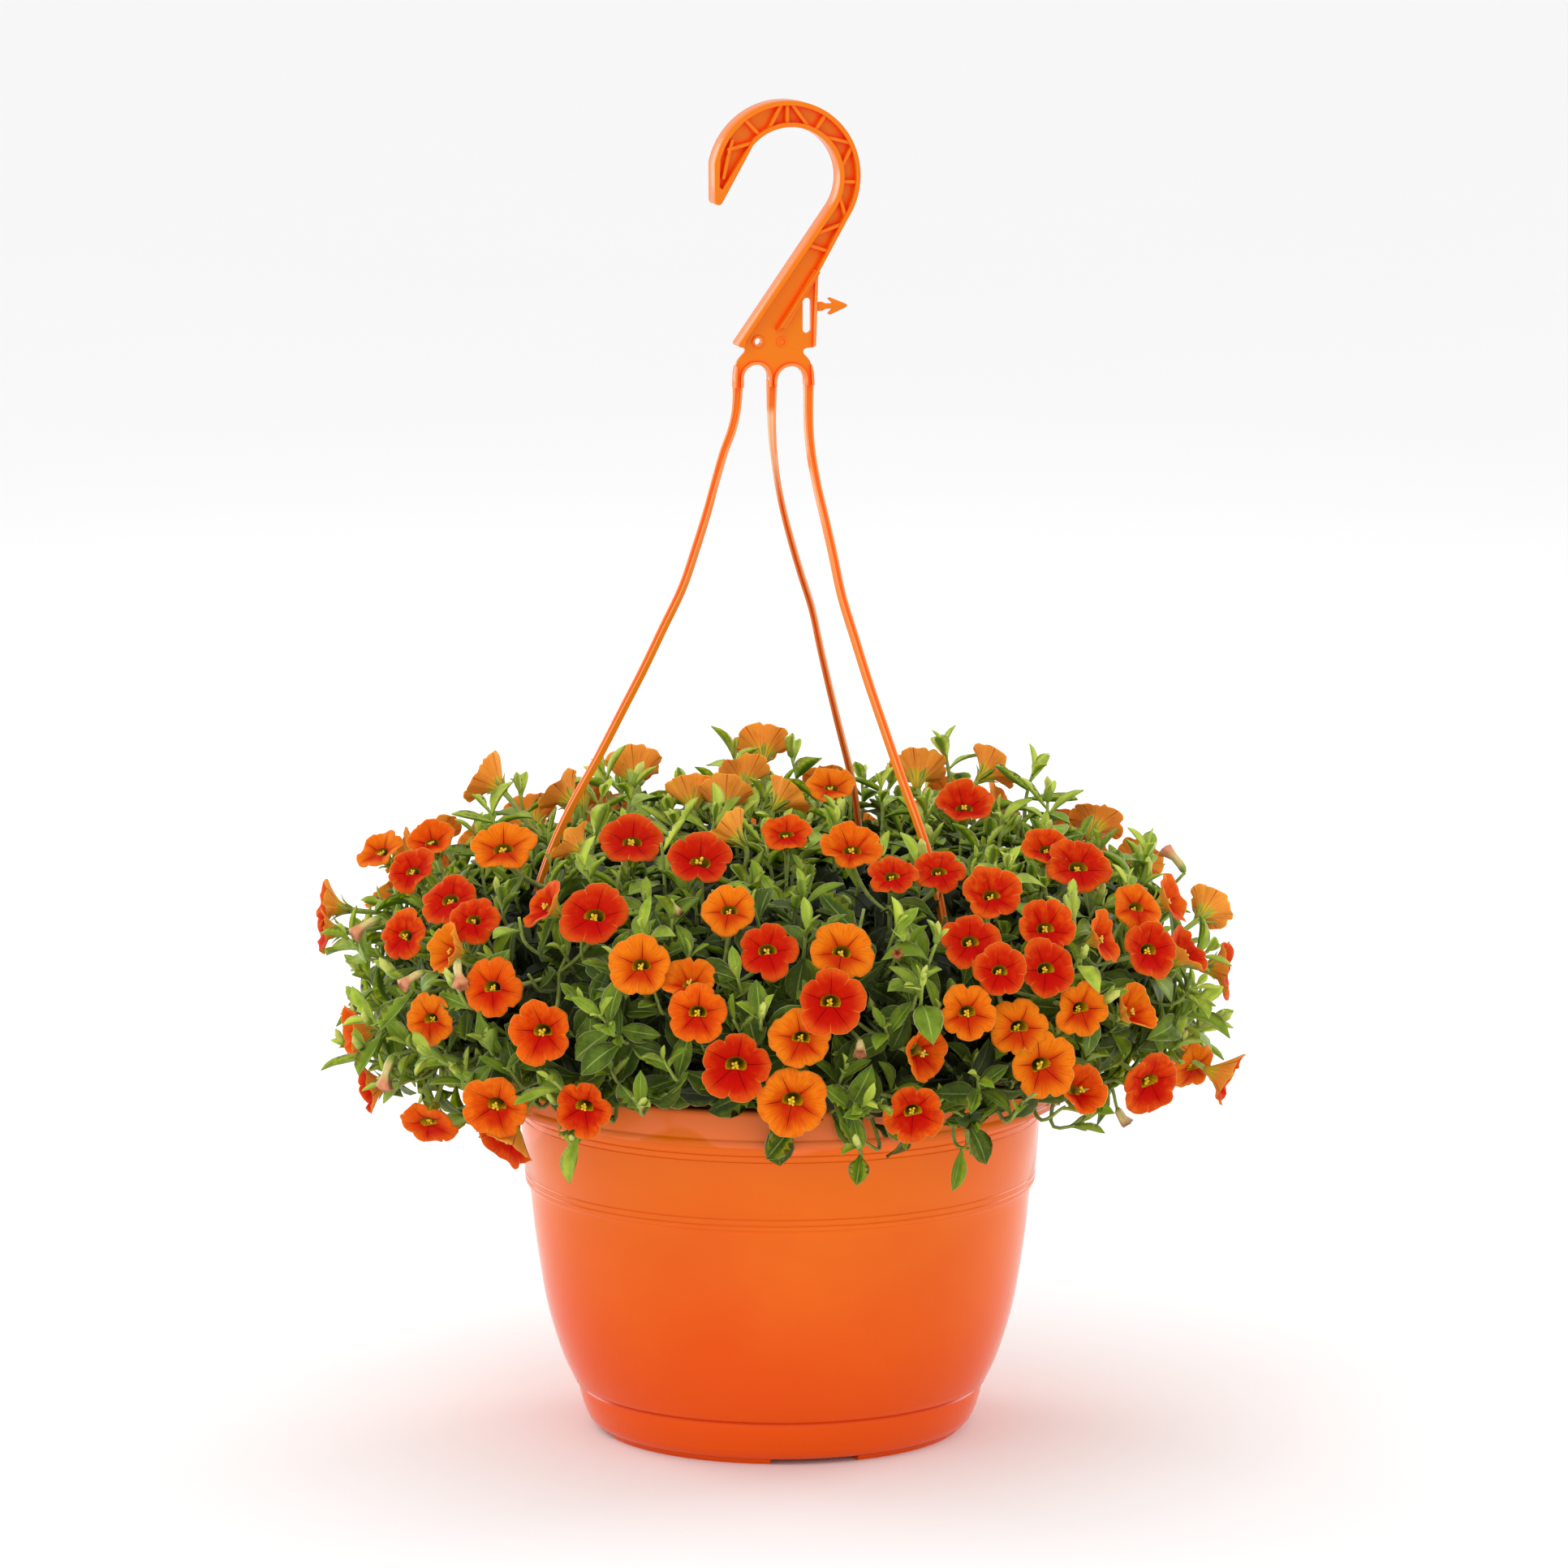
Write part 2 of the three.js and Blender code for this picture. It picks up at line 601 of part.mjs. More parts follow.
// Flowers of the front, off its elevation: across, up and width in mm, and which way they turn.
const FRONT_FLOWERS = [
  [-139, 304, 28, SIDE],
  [-105, 298, 28, SIDE],
  [-100, 275, 24, SIDE],
  [-69, 311, 27, BACK],
  [-8, 321, 28, BACK],
  [-17, 307, 25, BACK],
  [-41, 299, 27, BACK],
  [-26, 298, 28, BACK],
  [5, 297, 27, SIDE],
  [24, 301, 25, FACE],
  [65, 309, 29, BACK],
  [87, 292, 28, FACE],
  [102, 310, 28, SIDE],

  [-189, 270, 25, FACE],
  [-165, 275, 24, FACE],
  [-174, 261, 24, FACE],
  [-131, 272, 32, FACE],
  [-70, 276, 31, FACE],
  [-38, 267, 33, FACE],
  [-25, 280, 25, SIDE],
  [3, 278, 24, FACE],
  [34, 272, 29, FACE],
  [126, 271, 25, FACE],
  [141, 263, 31, FACE],
  [53, 258, 24, FACE],
  [75, 260, 25, FACE],
  [186, 247, 24, SIDE],
  [203, 244, 25, BACK],

  [-215, 244, 25, SIDE],
  [-217, 232, 24, SIDE],
  [-156, 247, 28, FACE],
  [-145, 237, 25, FACE],
  [-178, 230, 25, FACE],
  [-158, 223, 25, SIDE],
  [-113, 245, 26, SIDE],
  [-88, 240, 33, FACE],
  [-24, 242, 26, FACE],
  [100, 249, 28, FACE],
  [90, 227, 28, FACE],
  [126, 234, 28, FACE],
  [154, 229, 25, SIDE],
  [168, 243, 25, FACE],
  [175, 223, 28, FACE],
  [193, 223, 25, BACK],
  [211, 214, 28, SIDE],

  [-136, 205, 28, FACE],
  [-66, 216, 29, FACE],
  [-6, 223, 28, FACE],
  [29, 222, 29, FACE],
  [104, 213, 25, FACE],
  [126, 214, 28, FACE],
  [168, 195, 24, BACK],

  [-165, 190, 25, FACE],
  [-113, 184, 30, FACE],
  [-39, 193, 28, FACE],
  [-43, 210, 25, BACK],
  [24, 198, 31, FACE],
  [10, 181, 28, FACE],
  [89, 193, 27, FACE],
  [113, 186, 29, FACE],
  [142, 195, 27, FACE],
  [-202, 184, 27, SIDE],

  [-21, 168, 33, FACE],
  [70, 174, 28, SIDE],
  [124, 168, 32, FACE],
  [175, 160, 31, FACE],
  [195, 167, 25, FACE],
  [212, 162, 28, SIDE],
  [-195, 157, 25, BACK],
  [144, 158, 25, BACK],

  [-135, 148, 31, FACE],
  [-166, 140, 29, FACE],
  [-93, 148, 28, FACE],
  [6, 151, 32, FACE],
  [63, 146, 28, FACE],
  [-130, 130, 28, BACK],
];

// Which way a flower turns: out of the crown, and towards the viewer, aside or away.
function facing(place, toViewer, turn) {
  const out = outward(place);
  const aside = new THREE.Vector3(Math.sign(place.x || 1), 0, 0);
  const lift = new THREE.Vector3(0, 0, 1);
  if (turn === FACE) return out.multiplyScalar(0.75).addScaledVector(toViewer, 0.55).normalize();
  if (turn === SIDE) return out.multiplyScalar(0.7).addScaledVector(aside, 0.7).normalize();
  const away = place.y > -60 ? 0.5 : 0;
  return out.multiplyScalar(0.8).addScaledVector(toViewer, -away).addScaledVector(lift, 0.5).normalize();
}

// Every flower: those of the front, and the same arrangement turned round for the back.
function allFlowers() {
  const random = draws(11);
  const flowers = FRONT_FLOWERS.map(([across, up, width, turn]) => {
    const { place, toViewer } = onCrown(across, up);
    const normal = facing(place, toViewer, turn);
    place.addScaledVector(toViewer, THREE.MathUtils.lerp(LIFT_LOW, LIFT_HIGH, random()));
    return { place, normal, radius: width / 2, spin: random() * 2 * Math.PI };
  });
  const half = new THREE.Matrix4().makeRotationZ(Math.PI);
  const back = flowers
    .filter(({ place }) => place.y < -60 && place.z < 283)
    .map(({ place, normal, radius, spin }) => ({
      place: place.clone().applyMatrix4(half),
      normal: normal.clone().applyMatrix4(half),
      radius,
      spin: spin + 1,
    }));
  return [...flowers, ...back];
}

// ---------------------------------------------------------------- flowers
const LOBES = 5;
// Round one lobe of the limb: how far round it, and how far out as a share of the radius.
const LOBE_OUTLINE = [
  [0, 0.88],
  [0.3, 1],
  [0.7, 1],
];

// Two directions square to a normal and to each other, the first of them level.
function square(normal) {
  const level = new THREE.Vector3(-normal.y, normal.x, 0);
  if (level.lengthSq() < 1e-6) level.set(1, 0, 0);
  level.normalize();
  return [level, new THREE.Vector3().crossVectors(normal, level)];
}

// A flower: a five-lobed limb, a throat, a slim tube and its stalk down to a shared root.
function makeFlower({ place, normal, radius, spin }, root) {
  const [e1, e2] = square(normal);
  const ringPoint = (centre, angle, r) =>
    centre
      .clone()
      .addScaledVector(e1, r * Math.cos(angle))
      .addScaledVector(e2, r * Math.sin(angle));
  const down = (distance) => place.clone().addScaledVector(normal, -distance);
  const points = [];
  for (let lobe = 0; lobe < LOBES; lobe++)
    for (const [share, out] of LOBE_OUTLINE) {
      const angle = spin + (2 * Math.PI * (lobe + share)) / LOBES;
      points.push(ringPoint(down(share === 0 ? NOTCH_DEPTH : 0), angle, radius * out));
    }
  const rim = points.length;
  const throat = points.push(down(THROAT_DEPTH)) - 1;
  const corners = [];
  for (let i = 0; i < rim; i++) corners.push([i, (i + 1) % rim, throat]);
  // The back: from the limb's edge to the neck, down the tube, and along the stalk.
  const stalkWay = root.clone().sub(down(TUBE_LENGTH)).normalize();
  const [s1, s2] = square(stalkWay);
  const neck = points.length;
  const spokes = 3;
  for (let i = 0; i < spokes; i++) {
    const angle = spin + (2 * Math.PI * (i + 0.5)) / spokes;
    points.push(ringPoint(down(TUBE_LENGTH), angle, TUBE_RADIUS));
  }
  const foot = points.length;
  for (let i = 0; i < spokes; i++) {
    // Each stalk point is the one that lies under its neck point, so the skin doesn't twist.
    const way = points[neck + i].clone().sub(down(TUBE_LENGTH));
    const angle = Math.atan2(way.dot(s2), way.dot(s1));
    const end = root.clone().addScaledVector(stalkWay, 0.4);
    end.addScaledVector(s1, STALK_RADIUS * Math.cos(angle));
    points.push(end.addScaledVector(s2, STALK_RADIUS * Math.sin(angle)));
  }
  const rimStep = rim / spokes;
  for (let i = 0; i < spokes; i++) {
    const next = (i + 1) % spokes;
    for (let k = 0; k < rimStep; k++) {
      const a = i * rimStep + k;
      corners.push([(a + 1) % rim, a, neck + i]);
    }
    corners.push([((i + 1) * rimStep) % rim, neck + i, neck + next]);
    corners.push([neck + i, foot + next, neck + next], [neck + i, foot + i, foot + next]);
  }
  corners.push([foot, foot + 2, foot + 1]);
  return facets(points, corners);
}

// The crown's surface in patches: rows of them round the axis, from the hem to the top.
const PATCH_ROWS = [
  { holds: (r, z) => z < 214 && r > 120, count: 16 },
  { holds: (r) => r > 165, count: 16 },
  { holds: (r) => r > 100, count: 11 },
  { holds: (r) => r > 30, count: 5 },
  { holds: () => true, count: 1 },
];

// The place inside the core that a truss is carried from.
function seatInCore(root) {
  const r = Math.hypot(root.x, root.y);
  const reach = Math.min(r, SEAT_REACH) / r;
  const height = THREE.MathUtils.clamp(root.z, SEAT_LOW, SEAT_HIGH);
  return new THREE.Vector3(root.x * reach, root.y * reach, height);
}

function patchOf({ x, y, z }) {
  const r = Math.hypot(x, y);
  const row = PATCH_ROWS.findIndex(({ holds }) => holds(r, z));
  const turn = Math.atan2(x, -y) / (2 * Math.PI) + 1;
  return `${row}_${Math.floor((turn % 1) * PATCH_ROWS[row].count)}`;
}

// Flowers in one patch share a root, and make one truss, with any that crowd them.
function groupTrusses(flowers) {
  const byPatch = new Map();
  flowers.forEach((flower, i) => {
    const crowded = flowers
      .slice(0, i)
      .find((o) => o.place.distanceTo(flower.place) < CROWDED * (o.radius + flower.radius));
    flower.patch = crowded ? crowded.patch : patchOf(flower.place);
    if (!byPatch.has(flower.patch)) byPatch.set(flower.patch, []);
    byPatch.get(flower.patch).push(flower);
  });
  return [...byPatch.values()].map((group) => {
    const root = new THREE.Vector3();
    group.forEach(({ place }) => root.add(place));
    root.divideScalar(group.length);
    const out = outward(root);
    // The root lies a set depth under the crown's surface, however curved the patch is.
    while (cushion(CROWN, root) < 1) root.addScaledVector(out, 1);
    while (cushion(CROWN, root) > 1) root.addScaledVector(out, -1);
    root.addScaledVector(out, -KNOB_DEPTH);
    const seat = seatInCore(root);
    return { flowers: group, root, seat, stand: root.clone().sub(seat).normalize() };
  });
}

function makeTruss({ flowers, root, stand }) {
  const knob = new THREE.OctahedronGeometry(KNOB_RADIUS, 0);
  knob.applyQuaternion(new THREE.Quaternion().setFromUnitVectors(UP, stand));
  knob.translate(root.x, root.y, root.z);
  return join([solid(knob), ...flowers.map((flower) => makeFlower(flower, root))]);
}

// ---------------------------------------------------------------- room among the flowers
const FLOWERS = allFlowers();
const TRUSSES = groupTrusses(FLOWERS);

// Everything slim that leaves and shoots stay clear of: [from, to, radius].
const SLIM = [
  ...TRUSSES.flatMap(({ flowers, root }) =>
    flowers.map(({ place, normal }) => {
      const neck = place.clone().addScaledVector(normal, -TUBE_LENGTH);
      return [neck, root, TUBE_RADIUS];
    }),
  ),
  ...TRUSSES.map(({ root }) => [root, root, KNOB_RADIUS]),
  ...ARMS.flatMap((arm) => {
    const path = armPath(arm).filter(({ z }) => z < ARM_IN_CROWN);
    return path.slice(1).map((p, i) => [path[i], p, ARM_WIDTH / 2 + ARM_ROOM]);
  }),
];

// How far a point is from a straight piece.
function distanceTo([from, to], p) {
  const along = to.clone().sub(from);
  const length = along.lengthSq();
  const t = length ? THREE.MathUtils.clamp(p.clone().sub(from).dot(along) / length, 0, 1) : 0;
  return p.distanceTo(from.clone().addScaledVector(along, t));
}

// Whether a point with some room round it is inside a flower's limb or funnel.
function inFlower({ place, normal, radius }, p, room) {
  const away = p.clone().sub(place);
  const depth = -away.dot(normal);
  if (depth < -room - 0.5 || depth > TUBE_LENGTH + 2) return false;
  const across = Math.sqrt(Math.max(0, away.lengthSq() - depth * depth));
  const share = 1 - Math.max(0, depth) / TUBE_LENGTH;
  return across < radius * Math.max(0, share) + TUBE_RADIUS * Math.min(1, 1 - share) + room;
}

// Whether a point with some room round it is in the pot's rim or wall, or in the soil.
function inPot(p, room) {
  const r = Math.hypot(p.x, p.y);
  return p.z < RIM_TOP + room && r < RIM_RADIUS + 0.5 + room;
}

// Whether a point is well within one plant's third of the crown.
function inPlant(plant, p, room) {
  const first = rad(PLANT_TURN + PLANT_ANGLE * plant);
  const last = rad(PLANT_TURN + PLANT_ANGLE * (plant + 1));
  const side = (angle) => p.x * Math.cos(angle) + p.y * Math.sin(angle);
  return side(first) > room && side(last) < -room;
}

const free = (plant, p, room) =>
  inPlant(plant, p, GAP + 0.3) &&
  !inPot(p, room) &&
  !SLIM.some((piece) => distanceTo(piece, p) < piece[2] + room) &&
  !FLOWERS.some((flower) => inFlower(flower, p, room));

// ---------------------------------------------------------------- leafy shoots
// Leaves down a shoot from its tip: how far below it, how many, their length and width, and
// how far they lean out from the shoot.
const LEAF_TIERS = [
  { below: 1.5, count: 3, length: 19, width: 6.5, lean: 38 },
  { below: 9, count: 2, length: 25, width: 9, lean: 62 },
  { below: 18, count: 2, length: 27, width: 10, lean: 78 },
];
const SHOOT_TRIES = 46;
const GOLDEN_TURN = 137.508;

// A leaf's outline, [share of its length, share of its half width], up one side from the base.
const LEAF_SIDE = [
  [0.58, 1],
  [0.98, 0.36],
];

// The points of a leaf that is looked at for room, and its outline.
function leafShape({ base, along, over, length, width }) {
  const side = new THREE.Vector3().crossVectors(along, over);
  const at = (share, aside, lift) =>
    base
      .clone()
      .addScaledVector(along, share * length)
      .addScaledVector(side, (aside * width) / 2)
      .addScaledVector(over, lift + LEAF_ARCH * length * share * (1 - share) * 4);
  const left = LEAF_SIDE.map(([share, out]) => at(share, -out, 0));
  const right = LEAF_SIDE.map(([share, out]) => at(share, out, 0)).reverse();
  return {
    outline: [at(0, 0, 0), ...left, ...right],
    under: at(0.5, 0, -LEAF_THICKNESS),
    middle: [0.25, 0.45, 0.65, 0.85].map((share) => at(share, 0, 0)),
  };
}

// A leaf: a flat, arched upper face and a keel below.
function makeLeaf({ outline, under }) {
  const count = outline.length;
  const corners = outline.map((_, i) => [i, (i + 1) % count, count]);
  const upper = [
    [0, 4, 1],
    [1, 4, 3],
    [1, 3, 2],
  ];
  return facets([...outline, under], [...corners, ...upper]);
}

// A straight round piece between two places.
function rod(from, to, radius, sides) {
  const length = from.distanceTo(to);
  const geometry = new THREE.CylinderGeometry(radius, radius, length, sides);
  const way = to.clone().sub(from).normalize();
  geometry.applyQuaternion(new THREE.Quaternion().setFromUnitVectors(new THREE.Vector3(0, 1, 0), way));
  const middle = from.clone().lerp(to, 0.5);
  return solid(geometry.translate(middle.x, middle.y, middle.z));
}

// A place on the crown's surface: its azimuth, and its share of the way from the top to the hem.
function crownPlace(azimuth, share) {
  const angle = rad(THREE.MathUtils.lerp(2, 118, share));
  const way = new THREE.Vector3(
    Math.sin(angle) * Math.sin(rad(azimuth)),
    -Math.sin(angle) * Math.cos(rad(azimuth)),
    Math.cos(angle) * 0.62,
  );
  const p = new THREE.Vector3(0, 0, CROWN.middle - 4);
  while (cushion(CROWN, p) < 1) p.addScaledVector(way, 0.5);
  return p;
}

// The shoots and leaves of all the plants, set where the flowers and the hanger leave room.
function growShoots() {
  const random = draws(29);
  const shoots = [];
  const grown = [];
  for (let i = 0; i < SHOOT_TRIES; i++) {
    const azimuth = (i * GOLDEN_TURN) % 360;
    const share = Math.sqrt((i + 0.5) / SHOOT_TRIES) * 0.55 + ((i + 0.5) / SHOOT_TRIES) * 0.45;
    const surface = crownPlace(azimuth, share);
    const out = outward(surface);
    const tip = surface.clone().addScaledVector(out, THREE.MathUtils.lerp(-6, 5, random()));
    const foot = seatInCore(surface.clone().addScaledVector(out, -SHOOT_DEPTH));
    const way = tip.clone().sub(foot).normalize();
    const plant = Math.floor(((azimuth - PLANT_TURN + 360) % 360) / PLANT_ANGLE);
    const length = tip.distanceTo(foot);
    const steps = Math.ceil(length / 2);
    const line = Array.from({ length: steps + 1 }, (_, k) => foot.clone().lerp(tip, k / steps));
    if (!line.every((p) => free(plant, p, SHOOT_RADIUS + GAP))) continue;
    const [e1, e2] = square(way);
    const leaves = [];
    const kept = [];
    let turn = random() * 360;
    for (const tier of LEAF_TIERS)
      for (let k = 0; k < tier.count; k++) {
        turn += tier.count === 3 ? 120 + 20 * random() : GOLDEN_TURN;
        const lean = rad(tier.lean + THREE.MathUtils.lerp(-10, 10, random()));
        const size = THREE.MathUtils.lerp(0.85, 1.12, random());
        const around = e1.clone().multiplyScalar(Math.cos(rad(turn)));
        around.addScaledVector(e2, Math.sin(rad(turn)));
        const along = way.clone().multiplyScalar(Math.cos(lean)).addScaledVector(around, Math.sin(lean));
        const over = way.clone().multiplyScalar(Math.sin(lean)).addScaledVector(around, -Math.cos(lean));
        const base = tip.clone().addScaledVector(way, -tier.below - k * LEAF_STAGGER);
        const shape = leafShape({
          base,
          along,
          over,
          length: tier.length * size,
          width: tier.width * size,
        });
        const edge = shape.outline.slice(1);
        const between = edge.slice(1).map((p, n) => p.clone().lerp(edge[n], 0.5));
        const looked = [...edge, ...between, shape.under, ...shape.middle];
        const crowded = grown.some((q) => shape.middle.some((p) => p.distanceTo(q) < LEAF_SPACE));
        if (crowded || !looked.every((p) => free(plant, p, LEAF_ROOM))) continue;
        leaves.push(shape);
        kept.push(...shape.middle.slice(1));
      }
    if (leaves.length < LEAST_LEAVES) continue;
    grown.push(...kept);
    shoots.push({ plant, tip, foot, leaves });
  }
  return shoots;
}

// ---------------------------------------------------------------- plants
function coreProfile() {
  const profile = [[0, CORE.middle - CORE.down]];
  for (const share of [0.86, 0.97]) {
    const drop = CORE.down * (1 - share ** CORE.side) ** (1 / CORE.downPower);
    profile.push([CORE.radius * share, CORE.middle - drop]);
  }
  profile.push([CORE.radius, CORE.middle]);
  for (const share of [0.94, 0.8, 0.55]) {
    const rise = CORE.up * (1 - share ** CORE.side) ** (1 / CORE.upPower);
    profile.push([CORE.radius * share, CORE.middle + rise]);
  }
  profile.push([0, CORE.middle + CORE.up]);
  return profile;
}

// One plant's third of a turn, a little inside its boundaries.
function plantWedge(plant) {
  const half = rad(PLANT_ANGLE / 2);
  const apex = GAP / 2 / Math.sin(half);
  const reach = 2 * CROWN.radius;
  const far = [reach * Math.sin(half), apex + reach * Math.cos(half)];
  const shape = new THREE.Shape([
    new THREE.Vector2(0, -apex),
    new THREE.Vector2(-far[0], -far[1]),
    new THREE.Vector2(far[0], -far[1]),
  ]);
  const depth = CROWN.middle + 2 * CROWN.up;
  const geometry = new THREE.ExtrudeGeometry(shape, { depth, bevelEnabled: false });
  return solid(toAzimuth(geometry, trunkAzimuth(plant)));
}

// The room that the hanger's arms need through the core.
function armTunnel(arm) {
  const rings = armPath(arm)
    .filter(({ z }) => z < ARM_IN_CROWN)
    .map((p) =>
      [0, 60, 120, 180, 240, 300].map((turn) => {
        const side = new THREE.Vector3(Math.cos(rad(turn)), Math.sin(rad(turn)), 0);
        return p.clone().addScaledVector(side, ARM_TUNNEL);
      }),
    );
  const foot = rings.at(-1).map((p) => p.clone().setZ(RIM_TOP));
  return loft([...rings, foot]);
}

function makePlants() {
  const shoots = growShoots();
  let core = turned(coreProfile(), CORE_SIDES);
  for (const arm of ARMS) core = core.subtract(armTunnel(arm));
  return Array.from({ length: PLANT_COUNT }, (_, plant) => {
    const own = shoots.filter((shoot) => shoot.plant === plant);
    const low = SOIL_EDGE_HEIGHT - TRUNK_DEPTH;
    const pieces = [
      core.intersect(plantWedge(plant)),
      trunkPost(plant, TRUNK_RADIUS, low, CORE.middle),
      ...own.map(({ foot, tip }) => rod(foot, tip, SHOOT_RADIUS, 3)),
      ...own.flatMap(({ leaves }) => leaves.map(makeLeaf)),
    ];
    for (const { root, seat, stand } of TRUSSES) {
      if (!inPlant(plant, root, 0)) continue;
      const top = root.clone().addScaledVector(stand, -KNOB_RADIUS - GAP);
      pieces.push(rod(seat, top, PEDUNCLE_RADIUS, 3));
    }
    return join(pieces).intersect(plantWedge(plant));
  });
}

// ---------------------------------------------------------------- assembly
const plastic = new THREE.MeshStandardMaterial({ color: 0xeb6420, roughness: 0.3, metalness: 0 });
const petals = new THREE.MeshStandardMaterial({ color: 0xf05a1e, roughness: 0.6, metalness: 0 });
const greens = new THREE.MeshStandardMaterial({ color: 0x4f7a34, roughness: 0.7, metalness: 0 });
const earth = new THREE.MeshStandardMaterial({ color: 0x3a2a1e, roughness: 0.95, metalness: 0 });

const basket = new THREE.Group();
basket.add(mesh("pot", makePot(), plastic));
basket.add(mesh("potting_soil", makeSoil(), earth));
basket.add(mesh("hanger", makeHanger(), plastic));
makePlants().forEach((plant, i) => basket.add(mesh(`plant_${i + 1}`, plant, greens)));
TRUSSES.forEach((truss, i) => {
  const name = `flowers_${String(i + 1).padStart(2, "0")}`;
  basket.add(mesh(name, makeTruss(truss), petals));
});

export default basket;
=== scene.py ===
"""A calibrachoa in bloom in its hanging pot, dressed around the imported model.

Metres, +Z up, the pot's axis on Z and its front towards -Y. Lengths are written in
millimetres times MM. Every seeded draw gives the same plant each time.
"""

import json
import logging
import math
from collections.abc import Iterable
from dataclasses import dataclass, field
from enum import Enum

import bmesh
import bpy
import numpy as np
from bpy.types import Collection, Material, Mesh, Node, NodeSocket, NodeTree, Object
from mathutils import Matrix, Vector

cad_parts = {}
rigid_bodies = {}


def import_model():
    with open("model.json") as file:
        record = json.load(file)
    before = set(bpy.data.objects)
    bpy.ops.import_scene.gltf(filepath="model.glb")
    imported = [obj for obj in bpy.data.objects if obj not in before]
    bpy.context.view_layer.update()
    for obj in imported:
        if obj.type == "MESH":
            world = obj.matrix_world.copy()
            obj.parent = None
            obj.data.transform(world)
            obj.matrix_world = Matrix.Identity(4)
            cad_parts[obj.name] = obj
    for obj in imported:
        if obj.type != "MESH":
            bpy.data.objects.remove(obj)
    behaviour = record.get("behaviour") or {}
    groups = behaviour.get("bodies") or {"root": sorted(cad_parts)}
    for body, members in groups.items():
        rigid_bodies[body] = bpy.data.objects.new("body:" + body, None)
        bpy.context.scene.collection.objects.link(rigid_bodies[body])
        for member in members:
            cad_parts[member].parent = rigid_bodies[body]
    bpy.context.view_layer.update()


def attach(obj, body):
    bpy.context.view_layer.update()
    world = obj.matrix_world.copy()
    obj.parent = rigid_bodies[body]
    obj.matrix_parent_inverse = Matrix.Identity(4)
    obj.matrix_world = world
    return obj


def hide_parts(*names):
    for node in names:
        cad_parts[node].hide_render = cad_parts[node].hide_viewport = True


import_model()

LOG = logging.getLogger("calibrachoa")
MM = 0.001
TAU = 2 * math.pi
BODY = "root"
MASK = 0xFFFFFFFF

Array = np.ndarray
Colour = tuple[float, float, float, float]
Line = list[tuple[float, float]]
Pairs = tuple[tuple[float, float], ...]
Fed = NodeSocket | Collection | Material | tuple | str | float


# ------------------------------------------------------------------ numbers and directions
class Draws:
    """Numbers from 0 to 1, the same ones for the same seed."""

    STEP = 0x6D2B79F5

    def __init__(self, seed: int) -> None:
        """Starts the row of numbers that a seed stands for."""
        self.state = seed & MASK

    def next(self) -> float:
        """Draws a number.

        Returns:
            The next number, from 0 to 1.
        """
        self.state = (self.state + self.STEP) & MASK
        t = self.state
        t = ((t ^ (t >> 15)) * (t | 1)) & MASK
        t ^= (t + (((t ^ (t >> 7)) * (t | 61)) & MASK)) & MASK
        return (t ^ (t >> 14)) / (MASK + 1)

    def between(self, low: float, high: float) -> float:
        """Returns the next number, spread from low to high."""
        return low + (high - low) * self.next()

    def about(self, spread: float) -> float:
        """Returns the next number, spread to both sides of 0."""
        return self.between(-spread, spread)


def unit(v: Array) -> Array:
    """Returns a vector, or each row of an array of them, at length 1."""
    return v / np.maximum(np.linalg.norm(v, axis=-1, keepdims=True), 1e-12)


def smooth_step(t: float) -> float:
    """Returns a share from 0 to 1 with soft ends."""
    s = min(1.0, max(0.0, t))
    return s * s * (3 - 2 * s)


def towards(azimuth: float) -> Array:
    """Returns the level direction at an azimuth, counted from the front."""
    return np.array([math.sin(azimuth), -math.cos(azimuth), 0.0])


def circle(count: int) -> Array:
    """Returns the angles of points evenly round a circle."""
    return np.arange(count) * TAU / count


def hoop(x: float, radius: Array | float, angles: Array) -> Array:
    """Returns a ring of points about the X axis."""
    return np.stack([np.full(len(angles), x), radius * np.cos(angles), radius * np.sin(angles)], 1)


def turned(profile: Array, angles: Array) -> Array:
    """Turns a profile about the Z axis.

    Args:
        profile: the radius and height of each point.
        angles: the angles of the points of each ring.

    Returns:
        An array of rings by points by 3.
    """
    radius, height = profile[:, :1], np.repeat(profile[:, 1:], len(angles), axis=1)
    return np.stack([radius * np.cos(angles), radius * np.sin(angles), height], axis=2)


def level_pair(normal: Array) -> tuple[Array, Array]:
    """Finds two directions square to a normal and to each other, the first of them level.

    Args:
        normal: a direction of length 1.

    Returns:
        The level direction and the one that completes the set.
    """
    level = np.array([-normal[1], normal[0], 0.0])
    if level @ level < 1e-6:
        level = np.array([1.0, 0.0, 0.0])
    level = unit(level)
    return level, np.cross(normal, level)


def ray(pair: tuple[Array, Array], angle: float) -> Array:
    """Returns the direction at an angle between two that are square to each other."""
    return pair[0] * math.cos(angle) + pair[1] * math.sin(angle)


def turn_of(along: Array, over: Array) -> tuple[float, float, float, float]:
    """Finds the turn that takes X to a direction and Z as near as can be to another.

    Args:
        along: where X goes.
        over: where Z leans to.

    Returns:
        The quaternion's w, x, y and z.
    """
    x = unit(along)
    y = unit(np.cross(over, x))
    q = Matrix(np.array([x, y, np.cross(x, y)]).T.tolist()).to_quaternion()
    return (q.w, q.x, q.y, q.z)


def catmull(points: Array, count: int) -> Array:
    """Draws a smooth line through points.

    Args:
        points: the points, one a row.
        count: how many points the line gets.

    Returns:
        The line's points, one a row.
    """
    ends = np.vstack([2 * points[0] - points[1], points, 2 * points[-1] - points[-2]])
    at = np.linspace(0, len(points) - 1, count)
    i = np.minimum(at.astype(int), len(points) - 2)
    t = (at - i)[:, None]
    a, b, c, d = ends[i], ends[i + 1], ends[i + 2], ends[i + 3]
    square, cube = 2 * a - 5 * b + 4 * c - d, 3 * b - a - 3 * c + d
    return 0.5 * (2 * b + (c - a) * t + square * t**2 + cube * t**3)


